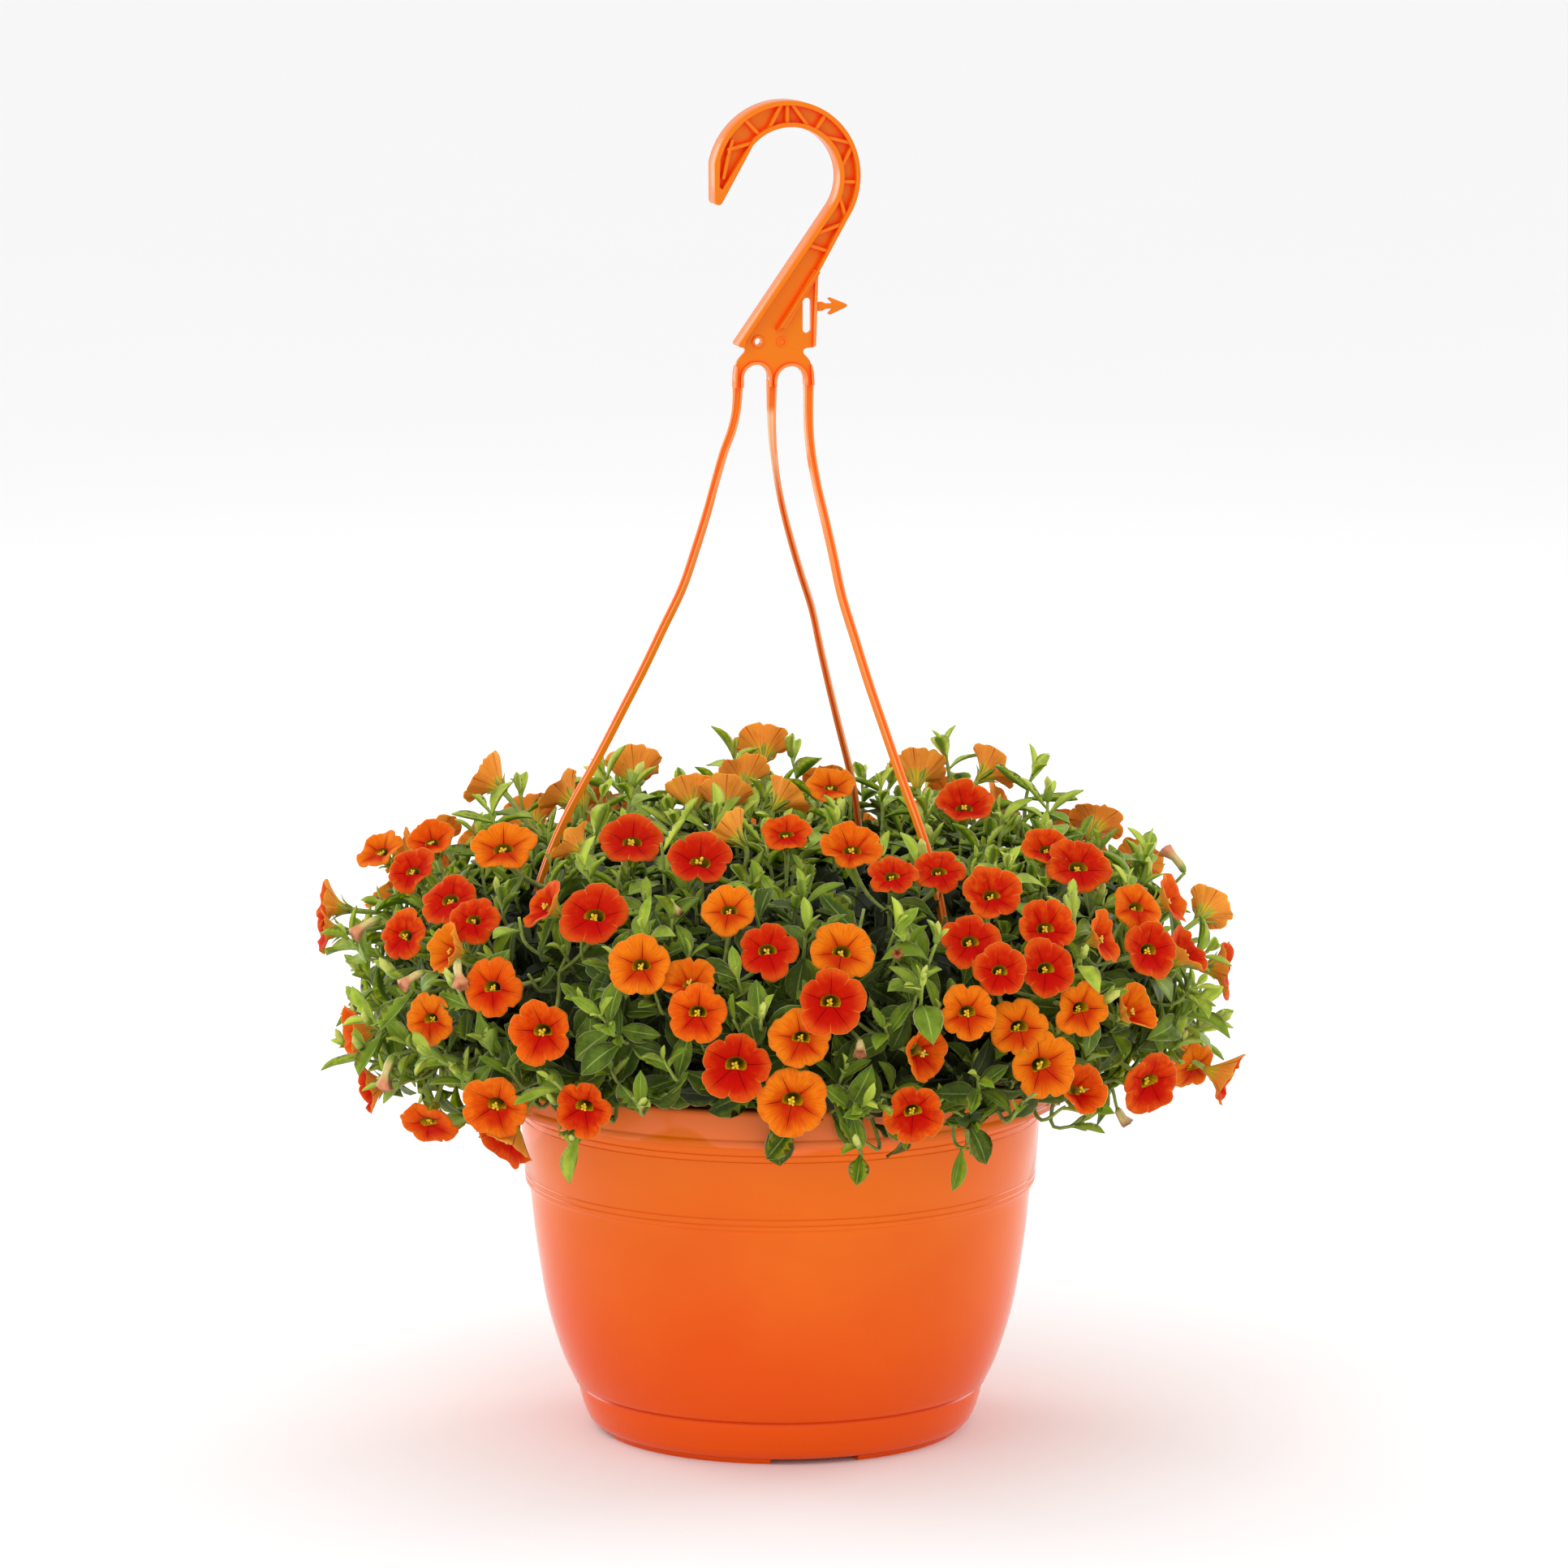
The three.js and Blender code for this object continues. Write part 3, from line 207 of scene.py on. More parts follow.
# ------------------------------------------------------------------ meshes
@dataclass
class Skin:
    """Grids of points gathered into one mesh, with values for each point."""

    points: list[Array] = field(default_factory=list)
    faces: list[Array] = field(default_factory=list)
    values: dict[str, list[Array]] = field(default_factory=dict)
    count: int = 0

    @staticmethod
    def capped(rows: Array) -> Array:
        """Returns a grid's rows as one list that ends in the middles of its first and last ring."""
        return np.vstack([rows.reshape(-1, rows.shape[2]), rows[0].mean(0), rows[-1].mean(0)])

    def grid(self, rows: Array, values: dict[str, Array] | None = None) -> None:
        """Adds rings of points, each closed on itself, skinned from first to last, with a fan at both ends.

        Args:
            rows: an array of rings by points by 3.
            values: an array for each named value, of rings by points by 1 or 3.
        """
        rings, sides = rows.shape[:2]
        here = np.arange(sides)
        first = np.repeat(np.arange(rings - 1) * sides, sides)
        a = first + np.tile(here, rings - 1)
        b = first + np.tile((here + 1) % sides, rings - 1)
        faces = [np.stack([a, b, b + sides, a + sides], 1)]
        for cap, ring in enumerate((0, rings - 1)):
            edge = ring * sides + np.stack([here, (here + 1) % sides], 1)
            centre = np.full((sides, 2), (rings * sides + cap, -1))
            faces.append(np.hstack([edge if cap else edge[:, ::-1], centre]))
        corners = np.vstack(faces)
        self.points.append(self.capped(rows))
        self.faces.append(np.where(corners >= 0, corners + self.count, -1))
        for name, value in (values or {}).items():
            self.values.setdefault(name, []).append(self.capped(value))
        self.count += rings * sides + 2

    def mesh(self, name: str) -> Mesh:
        """Makes the gathered mesh, shaded smooth.

        Args:
            name: the mesh's name.

        Returns:
            The mesh, with its values as attributes of its points.
        """
        points, faces = np.vstack(self.points), np.vstack(self.faces)
        corners = faces[faces >= 0]
        ends = np.cumsum((faces >= 0).sum(1))
        mesh = bpy.data.meshes.new(name)
        mesh.vertices.add(len(points))
        mesh.vertices.foreach_set("co", points.astype(np.float32).ravel())
        mesh.loops.add(len(corners))
        mesh.loops.foreach_set("vertex_index", corners.astype(np.int32))
        mesh.polygons.add(len(faces))
        mesh.polygons.foreach_set("loop_start", np.append(0, ends[:-1]).astype(np.int32))
        mesh.update(calc_edges=True)
        mesh.validate()
        for key, parts in self.values.items():
            value_layer(mesh, key, np.vstack(parts))
        mesh.shade_smooth()
        return mesh


def value_layer(mesh: Mesh, name: str, values: Array) -> None:
    """Stores one number, one vector or one turn for each point of a mesh.

    Args:
        mesh: the mesh.
        name: the attribute's name.
        values: an array of points by 1, 3 or 4, or of whole numbers.
    """
    width = values.shape[1] if values.ndim > 1 else 1
    whole = values.dtype.kind == "i"
    kind = "INT" if whole else {1: "FLOAT", 3: "FLOAT_VECTOR", 4: "QUATERNION"}[width]
    layer = mesh.attributes.new(name, kind, "POINT")
    plain = values.astype(np.int32 if whole else np.float32).ravel()
    layer.data.foreach_set("vector" if width == 3 else "value", plain)


def outward_faces(mesh: Mesh) -> None:
    """Turns a closed mesh's faces outwards.

    Args:
        mesh: the mesh, which is changed.
    """
    work = bmesh.new()
    work.from_mesh(mesh)
    bmesh.ops.recalc_face_normals(work, faces=work.faces)
    if work.calc_volume(signed=True) < 0:
        bmesh.ops.reverse_faces(work, faces=work.faces)
    work.to_mesh(mesh)
    work.free()


def ringed(name: str, rows: Array, values: dict[str, Array] | None = None) -> Mesh:
    """Makes one closed mesh of rings.

    Args:
        name: the mesh's name.
        rows: an array of rings by points by 3.
        values: an array for each named value.

    Returns:
        The mesh, its faces outwards.
    """
    skin = Skin()
    skin.grid(rows, values)
    mesh = skin.mesh(name)
    outward_faces(mesh)
    return mesh


def dress(mesh: Mesh, material: Material) -> Mesh:
    """Gives a mesh its one material.

    Args:
        mesh: the mesh, which is changed.
        material: the material.

    Returns:
        The same mesh.
    """
    mesh.materials.clear()
    mesh.materials.append(material)
    return mesh


def creased(mesh: Mesh, degrees: float) -> Mesh:
    """Shades a mesh smooth up to an angle between its faces.

    Args:
        mesh: the mesh, which is changed.
        degrees: the angle.

    Returns:
        The same mesh.
    """
    mesh.shade_smooth()
    mesh.set_sharp_from_angle(angle=math.radians(degrees))
    return mesh


def linked(mesh: Mesh) -> Object:
    """Puts a mesh in the scene.

    Args:
        mesh: the mesh, whose name the object takes.

    Returns:
        The object, whose modifiers work.
    """
    thing = bpy.data.objects.new(mesh.name, mesh)
    bpy.context.scene.collection.objects.link(thing)
    return thing


def place_piece(name: str, mesh: Mesh, slot: str, *nodes: str) -> None:
    """Makes a finished piece of a mesh, hangs it on its body and hides the CAD nodes that it replaces.

    Args:
        name: the piece's name.
        mesh: its mesh, already in place.
        slot: the record's material slot; not used.
        nodes: the CAD nodes that it replaces.
    """
    mesh.name = name
    piece = linked(mesh)
    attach(piece, BODY)
    if nodes:
        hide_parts(*nodes)
    LOG.info("%s: %d triangles", name, sum(len(face.vertices) - 2 for face in mesh.polygons))


def applied(thing: Object) -> Mesh:
    """Takes the mesh that an object's modifiers give, and removes the object.

    Args:
        thing: an object whose modifiers are set.

    Returns:
        The plain mesh.
    """
    bpy.context.view_layer.update()
    graph = bpy.context.evaluated_depsgraph_get()
    mesh = bpy.data.meshes.new_from_object(thing.evaluated_get(graph), depsgraph=graph)
    bpy.data.meshes.remove(thing.data)
    return mesh


def combined(first: Mesh, others: Iterable[Mesh], operation: str) -> Mesh:
    """Joins closed meshes to a first one, or cuts them from it.

    Args:
        first: the mesh that is added to or cut.
        others: the meshes added or taken away.
        operation: UNION, DIFFERENCE or INTERSECT.

    Returns:
        One closed mesh.
    """
    thing = linked(first)
    tools = [linked(mesh) for mesh in others]
    for tool in tools:
        step = thing.modifiers.new(operation, "BOOLEAN")
        step.operation = operation
        step.solver = "MANIFOLD"
        step.object = tool
    mesh = applied(thing)
    for tool in tools:
        bpy.data.meshes.remove(tool.data)
    return mesh


# ------------------------------------------------------------------ node trees
class Wiring:
    """A node tree under work, with short ways to add its nodes."""

    PREFIX = ""

    def __init__(self, tree: NodeTree) -> None:
        """Takes the tree that nodes are added to."""
        self.tree = tree

    def feed(self, socket: NodeSocket, value: Fed) -> None:
        """Feeds one input.

        Args:
            socket: the input.
            value: another node's socket, or a plain value.
        """
        if isinstance(value, NodeSocket):
            self.tree.links.new(value, socket)
        else:
            socket.default_value = value

    def node(self, kind: str, links: dict[str | int, Fed] | None = None, **settings: Fed) -> Node:
        """Adds a node.

        Args:
            kind: its type, with or without the start that the tree's own nodes share.
            links: a socket or a plain value for each of its inputs.
            settings: its own settings.

        Returns:
            The node.
        """
        full = kind if kind.startswith(("FunctionNode", "ShaderNode")) else self.PREFIX + kind
        node = self.tree.nodes.new(full)
        for key, value in settings.items():
            setattr(node, key, value)
        for key, value in (links or {}).items():
            self.feed(node.inputs[key], value)
        return node

    def first(self, kind: str, links: dict[str | int, Fed] | None = None, **settings: Fed) -> NodeSocket:
        """Returns the first result of a new node."""
        return self.node(kind, links, **settings).outputs[0]

    def maths(self, operation: str, *values: Fed) -> NodeSocket:
        """Returns the result of one operation on one to three values."""
        return self.first("ShaderNodeMath", dict(enumerate(values)), operation=operation)

    def times(self, one: Fed, other: Fed) -> NodeSocket:
        """Returns the product of two values."""
        return self.maths("MULTIPLY", one, other)


class Tree(Wiring):
    """A Geometry Nodes tree that takes a geometry and named inputs and gives a geometry."""

    PREFIX = "GeometryNode"

    def __init__(self, name: str, **inputs: str) -> None:
        """Makes the tree with its sockets.

        Args:
            name: the tree's name.
            inputs: the socket type of each named input.
        """
        super().__init__(bpy.data.node_groups.new(name, "GeometryNodeTree"))
        face = self.tree.interface
        kinds = {"Geometry": "Geometry", **inputs, "Material": "Material"}
        self.ids = {
            label: face.new_socket(label, in_out="INPUT", socket_type=f"NodeSocket{kind}").identifier
            for label, kind in kinds.items()
        }
        face.new_socket("Geometry", in_out="OUTPUT", socket_type="NodeSocketGeometry")
        self.source = self.tree.nodes.new("NodeGroupInput").outputs
        self.result = self.tree.nodes.new("NodeGroupOutput")

    def named(self, name: str, kind: str) -> NodeSocket:
        """Returns the socket of a named attribute of a kind."""
        node = self.node("InputNamedAttribute", {"Name": name}, data_type=kind)
        return next(socket for socket in node.outputs if socket.enabled)

    def chance(self, low: Fed, high: Fed) -> NodeSocket:
        """Adds a random number that the tree's seed fixes.

        Args:
            low: the least it can be.
            high: the most it can be.

        Returns:
            The number's socket.
        """
        node = self.node("FunctionNodeRandomValue", data_type="FLOAT")
        sockets = [socket for socket in node.inputs if socket.enabled]
        for socket, value in zip(sockets, (low, high)):
            self.feed(socket, value)
        self.feed(next(socket for socket in sockets if socket.name == "Seed"), self.source["Seed"])
        return next(socket for socket in node.outputs if socket.enabled)

    def picked(self, points: NodeSocket, turn: NodeSocket, size: NodeSocket, **more: Fed) -> NodeSocket:
        """Sets one of the collection's kinds on each point.

        Args:
            points: the points.
            turn: each one's turn.
            size: each one's size.
            more: further inputs, named with underscores for spaces.

        Returns:
            The instances.
        """
        kinds = {"Collection": self.source["Kinds"], "Separate Children": True, "Reset Children": True}
        links = {"Points": points, "Instance": self.first("CollectionInfo", kinds), "Pick Instance": True}
        links |= {"Rotation": turn, "Scale": size, **{key.replace("_", " "): value for key, value in more.items()}}
        return self.first("InstanceOnPoints", links)

    def spun(self, turn: NodeSocket, axis: str, angle: NodeSocket) -> NodeSocket:
        """Returns a turn followed by another about one of its own axes."""
        links = {"Rotation": turn, "Rotate By": self.first("ShaderNodeCombineXYZ", {axis: angle})}
        return self.first("FunctionNodeRotateRotation", links, rotation_space="LOCAL")

    def finish(self, geometry: NodeSocket) -> "Tree":
        """Ends the tree in Realize Instances and Set Material.

        Args:
            geometry: what the tree has made.

        Returns:
            The tree.
        """
        real = self.first("RealizeInstances", {"Geometry": geometry})
        dressed = self.first("SetMaterial", {"Geometry": real, "Material": self.source["Material"]})
        self.feed(self.result.inputs[0], dressed)
        return self

    def grow(self, mesh: Mesh, **values: Fed) -> Mesh:
        """Runs the tree on a mesh.

        Args:
            mesh: what the tree starts from.
            values: a value for each named input.

        Returns:
            The plain mesh that it gives.
        """
        thing = linked(mesh)
        step = thing.modifiers.new(self.tree.name, "NODES")
        step.node_group = self.tree
        for label, value in values.items():
            step[self.ids[label]] = value
        return applied(thing)


def site_tree() -> Tree:
    """Builds a tree that sets a kind of thing on each site, by the site's own turn, size and kind.

    Returns:
        The tree.
    """
    made = Tree("things_on_sites", Kinds="Collection", Size="Float", Variation="Float", Seed="Int")
    source = made.source
    low, high = (made.maths(sign, 1.0, source["Variation"]) for sign in ("SUBTRACT", "ADD"))
    size = made.times(made.times(made.named("size", "FLOAT"), made.chance(low, high)), source["Size"])
    turn, kind = made.named("turn", "QUATERNION"), made.named("kind", "INT")
    return made.finish(made.picked(source["Geometry"], turn, size, Instance_Index=kind))


def cover_tree() -> Tree:
    """Builds a tree that strews things over a surface, leaning off it by up to an angle.

    Returns:
        The tree.
    """
    made = Tree(
        "things_over_surface", Kinds="Collection", Spacing="Float", Smallest="Float", Largest="Float",
        Lean="Float", Tone="Float", Seed="Int",
    )
    source = made.source
    spread = made.node("DistributePointsOnFaces", {
        "Mesh": source["Geometry"], "Distance Min": source["Spacing"], "Density Max": 1e6, "Seed": source["Seed"],
    }, distribute_method="POISSON").outputs
    turn = made.spun(spread["Rotation"], "Z", made.chance(0.0, TAU))
    turn = made.spun(turn, "Y", made.chance(made.times(source["Lean"], -1.0), 0.0))
    size = made.chance(source["Smallest"], source["Largest"])
    toned = made.first("StoreNamedAttribute", {
        "Geometry": made.picked(spread["Points"], turn, size), "Name": "tone", "Value": source["Tone"],
    }, data_type="FLOAT", domain="INSTANCE")
    return made.finish(toned)


def stem_tree() -> Tree:
    """Builds a tree that gives each line of points a round skin, as thick as the points say.

    Returns:
        The tree.
    """
    made = Tree("stems_along_lines", Sides="Int", Thickness="Float")
    line = made.first("MeshToCurve", {"Mesh": made.source["Geometry"]})
    thick = made.times(made.named("thick", "FLOAT"), made.source["Thickness"])
    sized = made.first("SetCurveRadius", {"Curve": line, "Radius": thick})
    ring = made.first("CurvePrimitiveCircle", {"Resolution": made.source["Sides"], "Radius": 1.0})
    skin = made.node("CurveToMesh", {"Curve": sized, "Profile Curve": ring, "Fill Caps": True})
    if "Scale" in skin.inputs:
        made.feed(skin.inputs["Scale"], made.first("InputRadius"))
    return made.finish(made.first("SetShadeSmooth", {"Geometry": skin.outputs[0], "Shade Smooth": True}))


@dataclass
class Sites:
    """Places for repeated things: where, which way, how large, which kind, and a tone for age and painted light and
    shade.
    """

    places: list[Array] = field(default_factory=list)
    turns: list[tuple[float, float, float, float]] = field(default_factory=list)
    sizes: list[float] = field(default_factory=list)
    kinds: list[int] = field(default_factory=list)
    tones: list[float] = field(default_factory=list)

    def add(self, place: Array, along: Array, over: Array, size: float, kind: int, tone: float) -> None:
        """Adds one site.

        Args:
            place: where it is.
            along: where its X points.
            over: where its Z leans to.
            size: its size.
            kind: its number in the kinds' collection.
            tone: how old it is, darkened as painted shade deep in the crown and lightened as painted light on top,
                from 0 to 1.
        """
        self.places.append(place)
        self.turns.append(turn_of(along, over))
        self.sizes.append(size)
        self.kinds.append(kind)
        self.tones.append(tone)

    def mesh(self) -> Mesh:
        """Gathers the sites for a tree.

        Returns:
            A mesh of loose points that holds them.
        """
        mesh = bpy.data.meshes.new("sites")
        mesh.from_pydata([place.tolist() for place in self.places], [], [])
        rows = {"turn": self.turns, "size": self.sizes, "kind": self.kinds, "tone": self.tones}
        for name, values in rows.items():
            value_layer(mesh, name, np.array(values))
        return mesh


@dataclass
class Lines:
    """Lines of points with a thickness at each."""

    points: list[Array] = field(default_factory=list)
    thick: list[Array] = field(default_factory=list)
    tones: list[Array] = field(default_factory=list)

    def add(self, line: Array, thick: tuple[float, float], tone: tuple[float, float]) -> None:
        """Adds a line.

        Args:
            line: its points, one a row.
            thick: its radius at its start and its end.
            tone: how old it is at its start and its end, darkened as painted shade inside the crown, from 0 to 1.
        """
        self.points.append(line)
        self.thick.append(np.linspace(*thick, len(line)))
        self.tones.append(np.linspace(*tone, len(line)) ** 0.7)

    def mesh(self) -> Mesh:
        """Gathers the lines for a tree.

        Returns:
            A mesh of edges that holds them.
        """
        mesh = bpy.data.meshes.new("lines")
        points = np.vstack(self.points)
        starts = set(np.cumsum([len(line) for line in self.points]).tolist())
        edges = [(i - 1, i) for i in range(1, len(points)) if i not in starts]
        mesh.from_pydata(points.tolist(), edges, [])
        value_layer(mesh, "thick", np.concatenate(self.thick))
        value_layer(mesh, "tone", np.concatenate(self.tones))
        return mesh


def kinds_of(name: str, meshes: Iterable[Mesh]) -> Collection:
    """Puts meshes in a collection that a tree picks from.

    Args:
        name: the collection's name.
        meshes: the kinds, in the order of their numbers.

    Returns:
        The collection, which isn't in the scene.
    """
    collection = bpy.data.collections.new(name)
    for i, mesh in enumerate(meshes):
        collection.objects.link(bpy.data.objects.new(f"{name}_{i:02d}", mesh))
    return collection


# ------------------------------------------------------------------ materials
def paint(*screen: int) -> Colour:
    """Finds a colour as light.

    Args:
        screen: its red, green and blue from 0 to 255, as a screen shows them.

    Returns:
        The colour, with full cover.
    """
    shares = [value / 255 for value in screen]
    light = [s / 12.92 if s <= 0.04045 else ((s + 0.055) / 1.055) ** 2.4 for s in shares]
    return (*light, 1.0)


class Paint(Wiring):
    """A material under work, with short ways to mix its colours."""

    PREFIX = "ShaderNode"

    def __init__(self, name: str) -> None:
        """Starts a material of a name, with one shader."""
        self.material = bpy.data.materials.new(name)
        self.material.use_nodes = True
        super().__init__(self.material.node_tree)
        self.shader = self.tree.nodes["Principled BSDF"]

    def set(self, **sockets: Fed) -> None:
        """Sets the shader's sockets, named with underscores for spaces."""
        for key, value in sockets.items():
            self.feed(self.shader.inputs[key.replace("_", " ")], value)

    def steps(self, value: Fed, low: float, high: float, start: float = 0.0, end: float = 1.0) -> NodeSocket:
        """Returns a value that goes smoothly from start to end as another goes from low to high."""
        links = {"Value": value, "From Min": low, "From Max": high, "To Min": start, "To Max": end}
        return self.first("MapRange", links, interpolation_type="SMOOTHSTEP")

    def blend(self, share: Fed, one: Fed, other: Fed) -> NodeSocket:
        """Returns a colour between two."""
        return self.node("Mix", {0: share, 6: one, 7: other}, data_type="RGBA").outputs[2]

    def layered(self, colour: Fed, *layers: tuple[Fed, Fed]) -> Fed:
        """Lays colours over a first one.

        Args:
            colour: the lowest colour.
            layers: the share and the colour of each layer, from below.

        Returns:
            The colour that shows.
        """
        for share, layer in layers:
            colour = self.blend(share, colour, layer)
        return colour

    def value(self, name: str, output: str = "Fac") -> NodeSocket:
        """Returns an attribute of the mesh's points."""
        return self.node("Attribute", attribute_name=name).outputs[output]

    def parts(self, vector: NodeSocket) -> list[NodeSocket]:
        """Returns a vector's three numbers."""
        return list(self.node("SeparateXYZ", {0: vector}).outputs)

    def place(self) -> NodeSocket:
        """Returns the place on the piece."""
        return self.node("TexCoord").outputs["Object"]

    def cloud(
        self, scale: float, detail: float = 2.0, rough: float = 0.5, where: NodeSocket | None = None,
    ) -> NodeSocket:
        """Adds cloudy noise.

        Args:
            scale: how many clouds there are to a metre.
            detail: how many finer layers it has.
            rough: how strong those are.
            where: the place that it is read at, or the place on the piece.

        Returns:
            The noise, from 0 to 1.
        """
        links = {"Vector": where or self.place(), "Scale": scale, "Detail": detail, "Roughness": rough}
        return self.first("TexNoise", links)

    def patchy(self, cloud: NodeSocket, by: float) -> NodeSocket:
        """Returns noise as a number on both sides of 0."""
        return self.steps(cloud, 0.3, 0.7, -by, by)

    def from_half(self, value: NodeSocket) -> NodeSocket:
        """Returns how far a value is from a half."""
        return self.maths("ABSOLUTE", self.maths("SUBTRACT", value, 0.5))

    def stripes(self, value: NodeSocket, count: float) -> NodeSocket:
        """Returns the distance from the nearest of some lines, as a share of their spacing."""
        return self.from_half(self.maths("FRACT", self.times(value, count)))

    def bump(self, height: Fed, distance: float, strength: float) -> None:
        """Raises the surface by a height from 0 to 1."""
        links = {"Height": height, "Distance": distance, "Strength": strength}
        self.feed(self.shader.inputs["Normal"], self.first("Bump", links))


@dataclass(frozen=True)
class MouldedPlastic:
    """Glossy coloured plastic out of a mould, white where bent, with painted light: deeper towards its low end and
    lighter above, redder in hollows as painted shade and glow, lighter on its rim band and rails as painted
    highlights.
    """

    name: str
    # upper and lower, blended by height from bottom to top, are painted light: lighter above and deeper below, as
    # light and reflections fall.
    upper: Colour
    lower: Colour
    # hollow: painted shade and glow in the nooks that the surface occludes.
    hollow: Colour
    # edge: a painted highlight on the band above top.
    edge: Colour
    bottom: float
    top: float
    roughness: float = 0.15
    reach: float = 3 * MM
    # rail: a painted highlight where the rail attribute is set.
    rail: Colour = paint(246, 158, 96)
    bent: Colour = paint(247, 200, 156)

    def material(self) -> Material:
        """Paints the plastic.

        Returns:
            The material.
        """
        job = Paint(self.name)
        cloud = job.cloud(9.0, 3.0)
        height = job.maths("ADD", job.parts(job.place())[2], job.patchy(cloud, 0.02))
        # Painted shade and glow: ambient occlusion within reach turns nooks towards the hollow colour.
        nook = {"Distance": self.reach}
        nook = job.node("AmbientOcclusion", nook, samples=8, only_local=True).outputs["AO"]
        # Painted light: lower to upper with height, the edge highlight above top, the hollow shade in nooks and the
        # rail highlight. Bent is the plastic's own whitening.
        colour = job.layered(
            self.lower,
            (job.steps(height, self.bottom, self.top), self.upper),
            (job.steps(height, self.top, self.top + 0.004, 0.0, 0.75), self.edge),
            (job.steps(nook, 0.45, 0.93, 0.85, 0.0), self.hollow),
            (job.value("rail"), self.rail),
            (job.value("bent"), self.bent),
        )
        rough = job.steps(job.cloud(35.0, 5.0, 0.65), 0.35, 0.75, self.roughness, self.roughness + 0.07)
        job.set(Base_Color=colour, Roughness=rough, Specular_IOR_Level=0.2)
        job.bump(job.maths("ADD", job.cloud(900.0), job.times(cloud, 6.0)), 0.00004, 0.2)
        return job.material


@dataclass(frozen=True)
class PetalFinish:
    """A bloom from its throat to its tube, by the place on its limb."""

    fresh: Colour = paint(190, 30, 2)
    open: Colour = paint(220, 84, 2)
    grown: Colour = paint(230, 122, 10)
    flush: Colour = paint(184, 6, 0)
    vein: Colour = paint(120, 6, 0)
    pale: Colour = paint(238, 128, 34)
    seam: Colour = paint(248, 166, 70)
    rim: Colour = paint(240, 140, 66)
    # back: the petals' own paler back, lightened further as painted light shining through.
    back: Colour = paint(252, 166, 66)
    line: Colour = paint(158, 62, 14)
    tube: Colour = paint(226, 196, 60)
    throat: Colour = paint(206, 160, 8)
    # The dark of the throat's veins, also used as painted shade inside it.
    vein_and_shade: Colour = paint(84, 62, 2)

    def material(self) -> Material:
        """Paints the petals.

        Returns:
            The material.
        """
        job = Paint("petal_velvet")
        across, up, way = job.parts(job.value("limb", "Vector"))
        low = job.value("low")
        turn = job.maths("MULTIPLY_ADD", job.maths("ARCTAN2", up, across), 5 / TAU, 5.0)
        lobe = job.maths("FRACT", turn)
        off = job.from_half(lobe)
        reach = job.maths("SQRT", job.maths("ADD", job.times(across, across), job.times(up, up)))
        arc = job.times(reach, TAU / 5)
        from_vein = job.times(off, arc)
        from_seam = job.times(job.maths("SUBTRACT", 0.5, off), arc)
        tone = job.maths("ADD", job.value("tone"), job.patchy(job.cloud(240.0, 3.0), 0.14))
        ray = job.first("CombineXYZ", {0: job.times(lobe, 15.0), 1: job.times(reach, 2.2), 2: tone})
        rays = job.cloud(1.0, 4.0, 0.6, ray)
        star = job.maths("ADD", reach, job.steps(off, 0.0, 0.3, -0.08, 0.06))
        star = job.steps(job.maths("MULTIPLY_ADD", low, -0.13, star), 0.26, 0.82, 1.0, 0.0)
        seam = job.times(job.steps(from_seam, 0.004, 0.02, 0.45, 0.0), job.steps(reach, 0.55, 0.9))
        vein = job.times(
            job.steps(from_vein, 0.004, 0.017, 1.0, 0.0), job.steps(reach, 0.5, 0.97, 0.95, 0.2)
        )
        face = job.layered(
            self.fresh,
            (job.steps(tone, 0.0, 0.45), self.open),
            (job.steps(tone, 0.45, 1.0), self.grown),
            (job.steps(reach, 0.6, 1.02, 0.0, 0.35), self.pale),
            (job.steps(rays, 0.42, 0.7, 0.0, 0.34), self.flush),
            (job.times(star, job.steps(tone, 0.0, 1.0, 1.0, 0.85)), self.flush),
            (seam, self.seam),
            (vein, self.vein),
            (job.steps(way, 1.96, 2.0, 0.0, 0.5), self.rim),
        )
        lines = job.times(job.steps(job.stripes(lobe, 3.0), 0.02, 0.13, 0.7, 0.0), job.steps(way, 2.5, 3.1))
        ridge = job.times(job.steps(from_vein, 0.006, 0.03, 0.9, 0.0), job.steps(way, 2.0, 2.9, 1.0, 0.2))
        lines = job.maths("MAXIMUM", lines, ridge)
        lines = job.maths("MAXIMUM", lines, job.steps(rays, 0.5, 0.8, 0.0, 0.5))
        # The back goes 0.85 of the way to the back colour: its own paler colour, plus painted light shining
        # through.
        back = job.layered(
            face, (0.85, self.back), (job.steps(way, 2.6, 3.1), self.tube), (lines, self.line)
        )
        # The throat: its dark stripes are its own veins; its upper side and its depth are darkened as painted
        # shade.
        deep = job.layered(
            self.throat,
            (job.steps(job.stripes(lobe, 4.0), 0.04, 0.14, 0.6, 0.0), self.vein_and_shade),
            (job.steps(low, -0.9, 0.7, 0.85, 0.0), self.vein_and_shade),
            (job.steps(way, 0.0, 0.7, 0.9, 0.0), self.vein_and_shade),
        )
        whole = job.layered(deep, (job.steps(way, 0.99, 1.03), face), (job.steps(way, 2.0, 2.03), back))
        job.set(Base_Color=whole, Roughness=0.64, Specular_IOR_Level=0.05)
        job.set(Subsurface_Weight=0.4, Subsurface_Scale=0.003, Subsurface_Radius=(1.0, 0.5, 0.1))
        job.bump(job.maths("SUBTRACT", rays, job.times(vein, 0.9)), 0.00035, 0.8)
        return job.material


